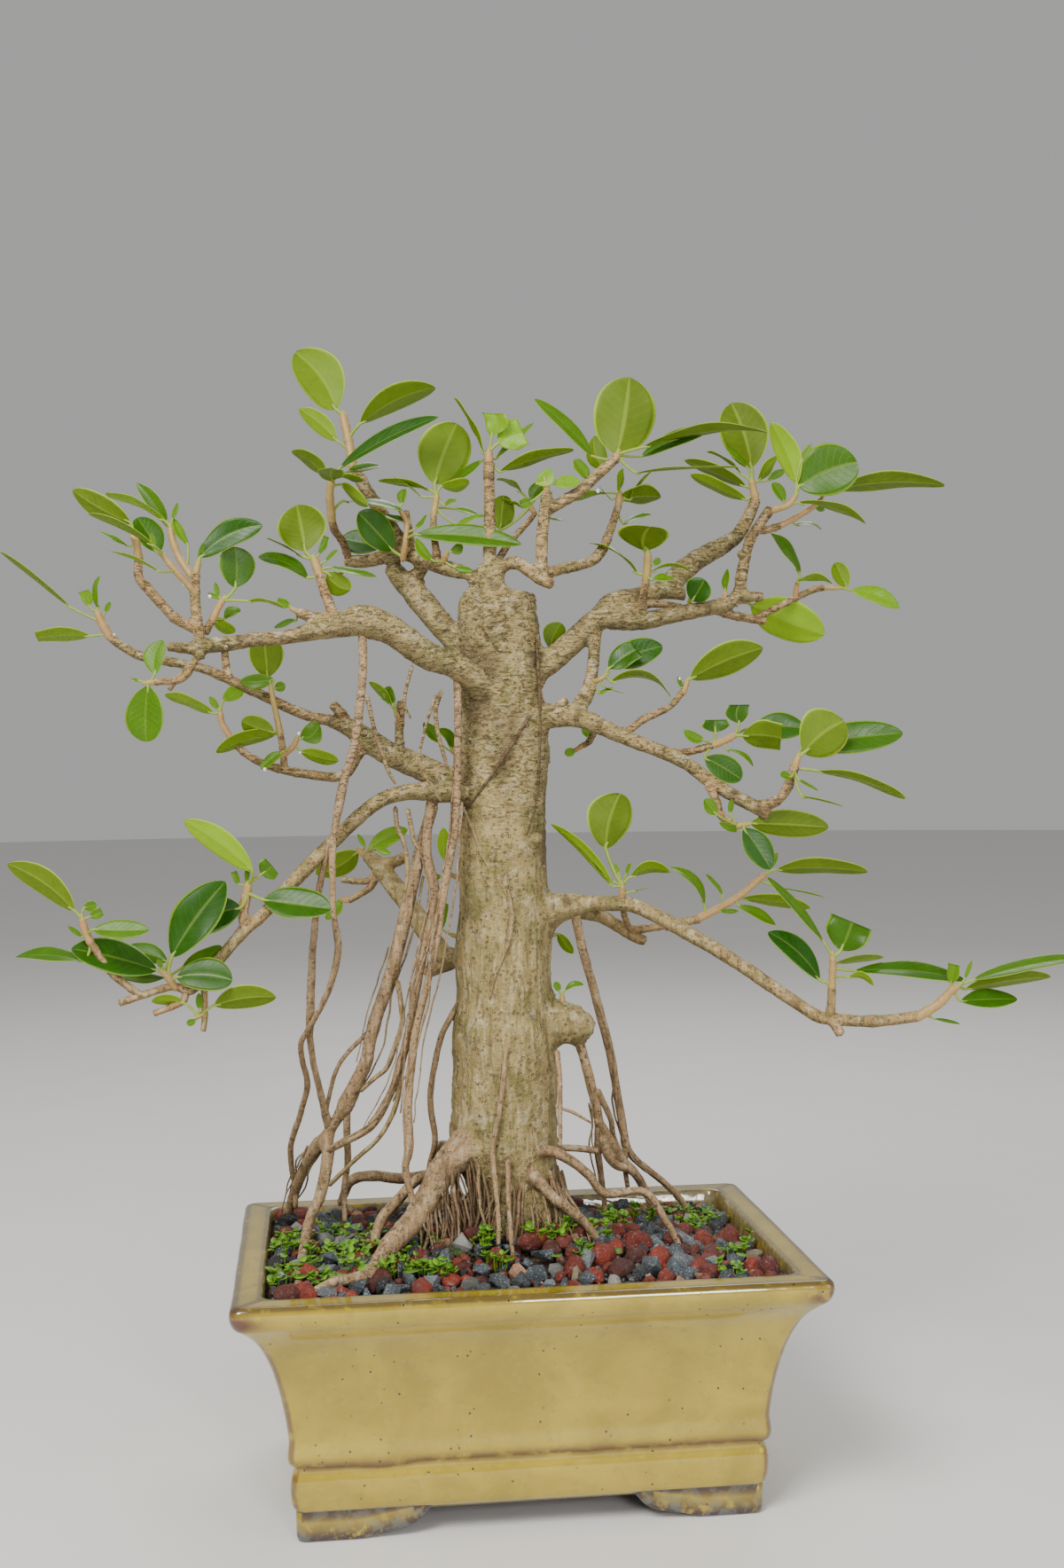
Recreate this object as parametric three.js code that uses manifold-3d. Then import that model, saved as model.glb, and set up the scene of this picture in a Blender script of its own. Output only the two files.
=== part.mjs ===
// A chinese banyan (Ficus microcarpa) grown as a bonsai, in its glazed rectangular pot.
// Millimetres, +Z up. The origin is the middle of the pot on the surface that it stands on.
// +X runs along the pot's long side, and -Y is its front.
import * as THREE from "three";
import { mergeVertices } from "three/addons/utils/BufferGeometryUtils.js";
import Module from "manifold-3d";

const wasm = await Module();
wasm.setup();

// The pot: a twelve inch rectangle with a rolled lip, a hollow curved wall and bracket feet.
const POT_LENGTH = 300;
const POT_WIDTH = 211.9;
const POT_HEIGHT = 129;
const FLOOR_UNDERSIDE = 13.5;
const FLOOR_TOP = 20.5;
const DRAIN_RADIUS = 9;
const DRAIN_OFFSET = 62;
// Each outline point is [height, how far it stands in from the rim's outer edge].
const OUTER_WALL = [
  [15.5, 29], [20, 26.8], [27, 26.2], [32, 26.5], [37, 27.6], [41.5, 25.3], [47, 25], [52, 25.7],
  [66, 23.9],
  [84, 20], [93, 17.3], [101, 14], [107.5, 10.3], [112.5, 6], [117, 1.5], [120.5, -0.8], [125, -1.8],
  [POT_HEIGHT, 0],
];
const INNER_WALL = [[FLOOR_TOP, 34.5], [52, 33], [75, 29.5], [93, 25], [110, 16.5], [POT_HEIGHT, 14]];
const OUTER_CORNER = 4;
const INNER_CORNER = 6;
const CORNER_STEPS = 1;
// How far the hollow of the underside stands in from the wall's foot.
const BASE_MARGIN = 2.5;
const HOLE_SIDES = 12;

// The bracket feet: a long wing along the front or back and a shorter one along the end.
const FOOT_INSET = 29;
const FOOT_THICKNESS = 13;
const FOOT_LONG_WING = 69;
const FOOT_SHORT_WING = 47;
const FOOT_CHAMFER = 1.5;
// A wing's lower edge, from where it leaves the ground: [share of its length, height].
const WING_EDGE = [[0.48, 0], [0.62, 2.2], [0.8, 4.4], [0.92, 8.5]];
// How far a foot reaches up into the pot's base.
const FOOT_BITE = 1;

// The drainage screens: square plastic mesh laid over the two holes inside.
const SCREEN_SIDE = 30;
const SCREEN_THICKNESS = 1.2;
const SCREEN_CELLS = 2;
const SCREEN_BAR = 3;

// Touching pieces keep this gap.
const GAP = 0.35;

// A limb's sides: [least radius at its widest, sides].
const LIMB_SIDES = [[20, 11], [6, 6], [3.9, 5], [1.9, 4], [0, 3]];
// A point of a limb that strays less than this from the line of the others is left out.
const STRAY = 0.9;
// Two directions whose cross product is shorter than this count as parallel.
const NEARLY_ALONG = 0.22;

// The leaves. A section is a flat upper face and a ridge below, and FACE_SHARE of its depth is above.
const BLADE_THICKNESS = 1.4;
const SMALL_THICKNESS = 1;
const FACE_SHARE = 0.3;
const PETIOLE_RADIUS = 0.95;
const NECK_DEPTH = 1.6;
// A blade that starts nearer to its stem than this has no petiole.
const CLOSE_BLADE = 2.5;
// A blade turns back from its petiole when the cosine between them is below this.
const TURNED_BACK = -0.2;
// Blades narrower than this, or shorter than twice this, get fewer facets.
const SMALL_BLADE = 6.5;
const LARGE_BLADE = 19;
// Narrower bits than this are too fine for the solids.
const SMALLEST_BLADE = 4.5;
// Blades this many times longer than wide are pointed, and the others are round.
const ROUND_BLADE = 1.6;
// Where a blade is widest along it, and the powers that shape its base and its tip.
const LONG_OUTLINE = { widest: 0.5, base: 0.75, tip: 0.62 };
const ROUND_OUTLINE = { widest: 0.56, base: 0.7, tip: 0.5 };
const TRIMMED_OUTLINE = { widest: 0.6, base: 0.7 };

// The soil's height, its fall towards the back right, and the mound round the trunk.
const SOIL_HEIGHT = 125.5;
const SOIL_SLOPE = 6;
const SLOPE_REACH = [-0.1, 0.7];
const MOUND_HEIGHT = 15;
const MOUND_SPREAD = 40;
const TRUNK_FOOT = [8, 4];
// Rounds after which the search for a point on the ground has settled.
const GROUND_ROUNDS = 6;
const GRAVEL_PITCH = 14;
const GRAVEL_RELIEF = 2.4;
const GRAVEL_JITTER = 0.55;
const GRAVEL_SEED = 11;
const STONE_SEED = 29;
// A stone's rings, from below: [share of its half size, share of its size above the ground].
const STONE_RINGS = [[0.9, -0.3], [1.05, 0.22], [0.55, 0.5]];
const WEED_DEPTH = 2.5;

// The bigger stones and the seedling weeds that stand out of the gravel: [u, w, size].
const STONES = [
  [16, 117, 17], [75, 109, 15], [-28, 124, 15], [-103, 115, 15], [-131, 126, 16], [48, 117, 16],
  [68, 124, 15],
  [32, 118, 10], [8, 125, 12], [22, 131, 12], [58, 108, 14], [-113, 122, 12], [-52, 117, 12],
  [133, 110, 13],
  [105, 125, 13], [-132, 114, 13], [-73, 101, 12], [125, 121, 12], [33, 107, 12], [137, 118, 13],
  [-18, 109, 13],
  [90, 118, 13], [96, 106, 12], [110, 141, 12],
];
const WEEDS = [
  [-130, 106, 9], [-120, 113, 10], [-98, 130, 10], [-85, 121, 11], [-40, 106, 9], [-15, 126, 10],
  [10, 139, 11],
  [62, 145, 12], [100, 133, 10], [120, 118, 10],
];

// The plant's shape was measured on an upright plane through the trunk, as it looks from in front:
// u to the right, w up and depth away from the viewer, who stands at VIEWER. The pot is turned by TURN.
const VIEWER = { right: 12.7, distance: 979.7, height: 392.2 };
const TURN = THREE.MathUtils.degToRad(7.07);

// The scale at a depth, and the place in the pot's own frame of a point seen at u, w.
const depthScale = (depth) => (depth + VIEWER.distance) / VIEWER.distance;
function seen(u, w, depth) {
  const scale = depthScale(depth);
  const x = VIEWER.right + (u - VIEWER.right) * scale;
  const z = VIEWER.height + (w - VIEWER.height) * scale;
  return new THREE.Vector3(
    Math.cos(TURN) * x + Math.sin(TURN) * depth,
    -Math.sin(TURN) * x + Math.cos(TURN) * depth,
    z,
  );
}
const EYE = seen(VIEWER.right, VIEWER.height, -VIEWER.distance);

// The trunk and branches. Each limb is a list of [u, w, depth, radius as seen], from its root to its end.
const BRANCHES = {
  trunk: [[-4, 487, 5, 19.5], [-5, 472, 5, 22.7], [-4, 450, 5, 23], [-3.5, 400, 5, 24.5], [-3, 350, 5, 25],
    [-4, 300, 5, 26], [-4.5, 260, 5, 26.5], [-4, 240, 5, 28], [-4, 220, 5, 28.7], [-4.5, 200, 5, 29.5],
    [-5, 185, 5, 30.5], [-1, 168, 5, 27], [3.5, 152, 5, 24.5], [5.5, 138, 5, 23.5], [6, 120, 5, 22],
    [6, 95, 5, 14]],
  upper_left_branch: [[-12, 432, -12, 7.7], [-28, 446, -22, 7.3], [-45.5, 453.1, -28, 7.8],
    [-62, 465, -33, 8.2], [-78, 472, -36, 9.1], [-90, 470, -38, 7.3], [-100, 468.5, -40, 6.4],
    [-120, 463.5, -44, 4.1], [-140, 462, -48, 4.1], [-155, 460, -52, 4.4], [-166, 459, -55, 4.4],
    [-176, 457.8, -57, 3.4], [-187, 459, -60, 2.5]],
  upper_left_stub: [[-95, 473, -38, 3.6], [-107, 474, -38, 3.1], [-115, 477, -38, 2.8]],
  twig_to_left_round: [[-94, 468, -40, 2.8], [-97, 478, -38, 2.8], [-100, 487, -36, 2.7],
    [-103, 497, -35, 2.6]],
  upright_at_left: [[-170, 452, -56, 2.8], [-170, 462, -57, 2.9], [-172, 483, -58, 2.8],
    [-172, 499, -57, 2.6]],
  twig_up_left: [[-168, 467, -55, 2.8], [-182.2, 473.7, -60, 2.8], [-190.2, 481.8, -62, 2.6],
    [-197.7, 490.4, -64, 2.8], [-203, 497, -65, 2.5], [-203, 508, -65, 2.3]],
  inner_twig: [[-167, 466, -54, 2.2], [-163, 473, -52, 2]],
  hanging_twig: [[-156, 456, -50, 2], [-155.4, 446.9, -50, 2], [-153, 441, -50, 1.8]],
  middle_left_branch: [[-18, 380, -2, 7.6], [-35, 384, 2, 7.6], [-50, 391, 8, 7.1], [-65, 398, 13, 6.7],
    [-78, 406, 17, 6.7], [-88, 413, 20, 5], [-99.9, 417.3, 22, 3.4], [-114.5, 421.2, 23, 2.9],
    [-145, 436, 25, 2.8], [-170, 447, 27, 2.5], [-200, 453, 29, 2.4], [-212, 459, 30, 2.4],
    [-220, 465, 30, 2.2]],
  middle_left_stub: [[-90, 418, 18, 3], [-97, 426, 18, 2.7]],
  middle_left_low_twig: [[-82, 400, 14, 3], [-92, 386.5, 14, 2.7], [-111.9, 387.6, 14, 2.5],
    [-124, 390, 14, 2.5], [-134, 393, 15, 2.3], [-145.1, 398.9, 16, 2], [-153, 407, 17, 2]],
  upright_on_low_twig: [[-124, 391, 14, 2], [-125, 402, 15, 1.8], [-126, 411, 16, 1.8]],
  cut_stem: [[-60, 398, 12, 2.4], [-60.2, 412, 12, 2.4], [-59, 427, 12, 2.3]],
  low_twig_at_left: [[-172, 452, -56, 2], [-180, 441, -57, 2], [-195, 439.5, -59, 1.9]],
  lower_left_branch: [[-20, 377, -5, 7.1], [-36, 377, -12, 6.2], [-45, 377.5, -15, 5.3],
    [-59.9, 376.3, -20, 4.4], [-75.1, 370.2, -26, 4.2], [-99, 348.9, -36, 4.2], [-118.9, 329, -44, 4],
    [-139.6, 307.6, -52, 3.4], [-147, 302, -54, 3.6], [-162, 285, -59, 3.1], [-174, 271, -62, 2.7],
    [-180, 268, -63, 2.5]],
  lower_left_hanging: [[-170, 270, -61, 1.9], [-170, 255, -61, 1.7], [-171, 246, -61, 1.5]],
  lower_left_end: [[-180, 268, -63, 2.2], [-187, 271, -64, 2.1], [-205, 266, -72, 2.1],
    [-217, 262, -76, 2]],
  lower_left_fork: [[-205, 266, -72, 2.1], [-212, 271, -75, 2.1], [-222, 280, -78, 2.1],
    [-233, 296, -82, 2.1]],
  lower_left_cut_twig: [[-180, 268, -63, 2], [-183, 262, -63, 1.9], [-198, 256, -65, 1.7]],
  lower_left_up_twig: [[-147, 303, -54, 2.9], [-148, 312, -51, 3], [-146, 321, -49, 2.8]],
  branch_behind: [[-22, 282, 12, 5.1], [-34, 286, 22, 5.1], [-40.4, 290.7, 28, 5.4], [-58, 317, 46, 5.6],
    [-68, 330, 55, 5.1], [-74, 338, 60, 4.6], [-79, 342.5, 63, 3.6]],
  behind_fork_high: [[-74, 334, 58, 2.1], [-79, 328, 60, 1.8], [-93, 329, 64, 1.8]],
  behind_fork_low: [[-74, 330, 57, 2.1], [-78, 324, 60, 1.9], [-89, 317.5, 64, 1.8]],
  behind_stub: [[-70, 338, 57, 3.1], [-62.3, 339, 54, 3.1], [-58, 341, 52, 3]],
  behind_low_stub: [[-24, 285, 14, 3.6], [-37.7, 280.2, 26, 3.6], [-47, 277, 32, 3.6]],
  left_leader: [[-16, 444, 6, 8], [-26, 458, 10, 7.6], [-32, 464, 14, 7.1], [-49.5, 485.4, 20, 7.2],
    [-58, 495, 22, 6.2], [-64, 502, 24, 4.4]],
  leader_to_arm: [[-52, 492, 20, 4.6], [-47, 500, 16, 4.1], [-44, 504, 8, 3.7]],
  crown_neck: [[0, 440, -19, 4], [-4, 455, -18, 6], [-8, 470, -16, 7.5], [-8, 494, -8, 7],
    [-9, 505, -5, 4.5], [-9, 520, -4, 3.5], [-9, 558, -5, 2.9]],
  left_arm: [[-10, 494, -6, 4.6], [-25, 498, 0, 4.4], [-38, 502, 6, 4.4], [-50, 507, 12, 4.4],
    [-60, 508.5, 18, 4.1], [-76.1, 504.9, 30, 3.7], [-88, 504.5, 36, 4]],
  top_left_old_wood: [[-54, 509, 15, 3.7], [-61, 520, 17, 3.7], [-75.9, 542.4, 20, 3.7],
    [-81, 552, 21, 3.3], [-84, 557, 22, 2.6]],
  twig_to_left_crown: [[-87, 506, 34, 2.2], [-90, 515, 26, 2.1], [-94.3, 521.3, 16, 2.2],
    [-96, 527, 8, 2.2]],
  twig_to_crown_left: [[-38, 504, 6, 2.3], [-40, 521, 4, 1.8], [-40, 529, 4, 1.8]],
  arm_cut_stub: [[-51, 510, 12, 1.8], [-53, 520, 10, 1.7], [-55, 532, 8, 1.7]],
  right_arm: [[-5, 500, -8, 4.2], [5.2, 502.9, -12, 3.8], [12.8, 498.3, -17, 3.6], [20, 493, -22, 3.5],
    [25, 491, -25, 3.2]],
  right_arm_end: [[16, 495, -19, 3.2], [30, 499, -10, 3], [45.7, 502.8, 0, 3.1], [51.8, 508.1, 5, 3.1],
    [55.7, 515.1, 10, 2.5], [62, 533, 19, 2]],
  upright_stub: [[20, 492, -21, 3.4], [19.6, 505, -18, 3.3], [20.1, 520, -16, 3.4], [23, 542, -15, 3.2]],
  upright_side_branch: [[21, 530, -15, 3.3], [32.2, 536.7, -13, 3], [41, 542, -11, 3.1],
    [50, 550, -9, 3.1], [61, 559.5, -8, 2.5]],
  twig_at_back: [[-7, 500, 0, 2.4], [2, 514, 9, 1.8], [14, 527, 12, 1.5], [16, 531, 12, 1.4]],
  upper_right_branch: [[8, 438, 2, 8.2], [22, 447, 5, 7.2], [33, 456, 8, 6.7], [43, 465, 10, 6.7],
    [52.2, 472.5, 12, 7.4], [62, 471, 14, 6.2], [75, 470, 18, 5.3], [89.8, 472.8, 22, 4.6],
    [118, 478, 31, 4.3], [128, 482, 34, 4.3], [141, 482.5, 37, 2.4]],
  upper_right_back: [[50, 476, 14, 5.1], [60, 481, 20, 5.6], [75, 484, 27, 5.1], [88, 488, 36, 6.1],
    [97, 497, 43, 6.1], [107.8, 504.8, 52, 5.6], [118.4, 510.3, 60, 5.1], [127.6, 516.4, 66, 4],
    [133, 525, 70, 3.6], [138, 536, 73, 3.1]],
  right_stump: [[86, 485, 34, 4.1], [98, 484.5, 36, 3.9]],
  right_short_stub: [[68, 476, 20, 2.8], [80, 479.5, 24, 2.4], [96, 477.5, 28, 1.8]],
  right_upright: [[128, 482, 34, 4.3], [129.3, 492.1, 33, 3.6], [133.9, 512, 31, 2.9],
    [139, 521, 30, 3.1], [146, 531, 30, 2.7]],
  right_upright_twig: [[138, 519, 32, 2.3], [145.1, 519.6, 34, 2.1], [151, 521.3, 36, 1.9]],
  right_low_twig: [[115, 476, 30, 2.9], [125.1, 472.4, 36, 2.5], [142, 469, 44, 2.2]],
  right_low_end: [[137, 470.5, 43, 2], [150, 477, 48, 1.8], [168, 485.5, 56, 1.8], [175, 487, 59, 1.7]],
  twig_to_heart: [[75, 472, 16, 2.4], [75.5, 483, 10, 2.2], [77, 492.5, 6, 2.2]],
  middle_right_branch: [[12, 419, 2, 7.5], [32, 417, -8, 6.6], [42, 416, -12, 5.6],
    [54.7, 410.3, -18, 4.7], [69.4, 403.6, -26, 4.1], [95, 393, -39, 3.9], [114.2, 378.7, -51, 3.8],
    [135, 367, -62, 3.8], [143, 361, -66, 2.8]],
  middle_right_end: [[137, 367, -64, 3.5], [144, 368.1, -68, 3.2], [149.4, 371.1, -71, 2.7],
    [153.7, 376.6, -73, 2.7], [158, 388.5, -76, 2.6]],
  right_link: [[33, 417, -7, 5.5], [42, 427, -5, 4.6], [46, 438, -1, 3.7], [49, 462, 9, 3.1],
    [51, 470, 12, 2.8]],
  twig_to_inner: [[58, 409, -19, 2.3], [67.5, 410.4, -14, 2.1], [74.6, 415.6, -9, 2.2],
    [88.8, 422.2, 0, 1.8], [96.5, 430.5, 5, 1.8]],
  twig_to_tuft: [[86, 398, -34, 2.3], [97, 397, -27, 2.1], [112, 400.5, -22, 2]],
  twig_down_right: [[110, 381, -50, 2.6], [114, 371, -56, 2.4], [117, 362, -60, 2.4],
    [125.5, 356, -62, 1.9]],
  twig_to_bit: [[48, 411, -12, 1.9], [44.8, 403.9, 4, 1.7], [41, 401.5, 10, 1.5]],
  lower_right_branch: [[10, 304, 4, 12.1], [28, 312, -2, 8.4], [45, 314, -8, 4.5], [58, 314, -13, 4.3],
    [70.4, 312, -18, 4.1], [95, 299, -30, 4.2], [121.7, 282.6, -41, 3.9], [147.7, 264.6, -49, 3.7],
    [160, 256.1, -53, 3.6], [172, 249.5, -57, 3.5], [200, 247.1, -64, 3.2], [225, 249.5, -69, 3]],
  lower_right_back: [[34, 310, 0, 4.2], [50.3, 306.8, 7, 3.8], [68, 296, 12, 3.4], [74, 293, 14, 3]],
  lower_right_fork: [[64, 299, 11, 2.7], [78.1, 300.3, 16, 2.1], [100, 304, 23, 2.3],
    [104, 305, 24, 2.3]],
  lower_right_link: [[62, 313, -14, 1.8], [64, 304, 0, 1.7], [68, 297.5, 11, 1.7]],
  lower_right_stub: [[177, 249, -59, 3], [182, 240, -61, 2.7]],
  lower_right_upright: [[176, 248, -58, 2.6], [177, 258, -60, 2.4], [177.3, 267, -61, 2.3]],
  knob: [[10, 252, 4, 13], [30, 248, 3, 12], [38, 246, 3, 9.5], [44, 243.5, 3, 5]],
};

// The roots that hang from the branches, grow down the trunk and spread over the ground.
const ROOTS = {
  left_aerial: [[-80, 466, -37, 2.4], [-80.3, 440, -39, 2.3], [-85, 405, -41, 2.4], [-90, 388, -42, 2.2],
    [-93.2, 374.8, -42, 2.7], [-96, 360, -43, 2], [-98, 345, -43, 2], [-98, 312, -43, 1.7],
    [-95.8, 290, -41, 2], [-100.4, 270.1, -36, 1.8], [-108.1, 254.1, -28, 1.6], [-113.1, 245.5, -22, 1.7],
    [-117, 238, -17, 1.6], [-116, 228, -10, 1.6], [-113.7, 216, -2, 1.7], [-116.9, 202.3, 5, 1.7],
    [-123, 183, 16, 1.6], [-123.3, 172, 24, 1.6], [-121, 157, 34, 1.5], [-121, 148, 36, 1.4]],
  left_aerial_twin: [[-99, 350, -41, 2], [-105.6, 324.9, -35, 1.8], [-109.5, 292.1, -30, 2],
    [-111.7, 251.9, -20, 2.3], [-111.8, 239.9, -16, 1.8], [-109, 221.8, -10, 1.8], [-105, 204.8, -2, 2.1],
    [-102, 192, 4, 2.7]],
  left_foot: [[-98, 196, 3, 4.6], [-103, 188, 5, 4.2], [-110, 180, 12, 3.8], [-115.9, 169.9, 22, 3.1],
    [-120.7, 158.3, 34, 3.1], [-124, 148, 44, 2.7], [-128, 137, 52, 2.5]],
  left_front_strand: [[-102, 192, 4, 4.4], [-103, 175, 4, 3.5], [-107, 155, 3, 3.2],
    [-111.4, 145.5, 0, 3], [-114.6, 136.2, -3, 2.9], [-118, 120, -35, 2.4], [-120.2, 112.1, -58, 2.3],
    [-120, 102, -78, 2.1]],
  prop_root: [[-42, 370, -10, 3.2], [-48, 350, -6, 3.4], [-52, 335, -8, 3.6], [-59, 305, -10, 4],
    [-65.7, 279.6, -10, 4], [-77.4, 245.4, -8, 3.6], [-81, 228, -7, 3.8], [-88.4, 212.6, -4, 4.3],
    [-93.6, 202.4, 0, 4.9], [-99, 194, 3, 4.3]],
  crossing_root: [[-43, 374, -12, 2.5], [-46.1, 345, -13, 2.7], [-42, 324.9, -14, 2.6],
    [-42.6, 312.1, -15, 2.5], [-48.5, 288.1, -17, 2.4], [-53.2, 265.2, -17, 2.5], [-58, 240, -17, 2.5],
    [-63.4, 222.4, -16, 2.3], [-67.3, 210.7, -14, 2.1], [-78.4, 192.4, -9, 2.3], [-95, 183, -3, 2.1],
    [-103, 179, 3, 2.1]],
  front_root: [[-28, 444, -20, 2.2], [-28, 400, -22, 2], [-30, 358, -22, 2], [-36, 325, -22, 2],
    [-42, 290, -23, 2], [-50, 258, -24, 2], [-54, 240.1, -24, 2.2], [-58.3, 205.1, -24, 2.6],
    [-58, 180, -24, 2.7], [-60, 168, -24, 2], [-56.3, 150.2, -24, 2], [-53, 138, -25, 2.2]],
  trunk_side_root: [[-24, 268, 2, 1.6], [-35, 250, 0, 1.7], [-40.4, 237.1, 2, 1.7], [-45.7, 208, 5, 1.7],
    [-43.3, 184, 8, 1.7], [-47, 168, 10, 1.4], [-48, 145, 10, 1.4]],
  back_root: [[-14, 172, 16, 3.4], [-30, 168, 25, 3.1], [-60, 163, 46, 3.1], [-78, 164.6, 55, 3.1],
    [-90, 162, 60, 2.8], [-96, 150, 65, 2.1]],
  flat_topped_stub: [[-40, 162, 22, 5.5], [-40, 182, 18, 5.5]],
  leg_root: [[-46, 166, -8, 2.9], [-56, 160, -2, 2.9], [-65.5, 149.5, 0, 3.2], [-72.9, 141.4, -2, 3.2],
    [-77, 130, -12, 2.7], [-77, 118, -22, 2.2]],
  right_aerial: [[35, 312, -4, 2.6], [39.4, 290.1, 2, 2.5], [45.9, 265.2, 10, 2.5], [54.1, 232, 19, 2.4],
    [57.9, 208, 25, 2.3], [61.3, 186.9, 30, 2.4], [63, 178, 33, 2.3], [70.4, 169.3, 42, 2],
    [82, 160, 55, 1.9], [93.2, 148.2, 66, 1.8], [97, 138, 72, 1.7]],
  knob_root: [[36, 242, 3, 2.7], [41.9, 220, 6, 2.7], [47.3, 195, 13, 2.7], [47.5, 185, 16, 2.7],
    [47, 175, 20, 2], [50, 150, 30, 1.5], [50, 136, 32, 1.5]],
  knob_outer: [[47, 194, 12, 2.6], [54, 182, 18, 2.6], [58, 174, 23, 2.6], [66, 166, 30, 2.4],
    [72, 156, 36, 2.2], [76, 146, 40, 2]],
  right_surface: [[6, 180, -12, 4.3], [15, 178, -16, 3.6], [24, 176, -17, 3.1], [33, 170.9, -16, 2.8],
    [42, 163, -13, 2.6], [51, 153, -10, 2.4], [72, 154, -6, 2.2], [84, 138, -6, 2], [92, 122, -6, 1.7]],
  front_right_surface: [[4, 172, -16, 4.3], [20, 153, -23, 3.2], [30, 145, -22, 2.8], [40, 136, -20, 2.6],
    [45.9, 127, -18, 2.2], [48, 116, -17, 1.9]],
  big_surface: [[-12, 196, -6, 10], [-20, 188, -10, 9.5], [-27, 180, -13, 9.5], [-38, 169, -16, 8.5],
    [-46, 155, -19, 7.5], [-53, 144, -23, 7], [-60, 135, -28, 6.5], [-68, 127, -38, 6],
    [-75, 117, -52, 5],
    [-80, 110, -62, 4.4], [-90, 107, -72, 3.6], [-100, 106, -80, 3], [-110, 101, -86, 2.5]],
};

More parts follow.
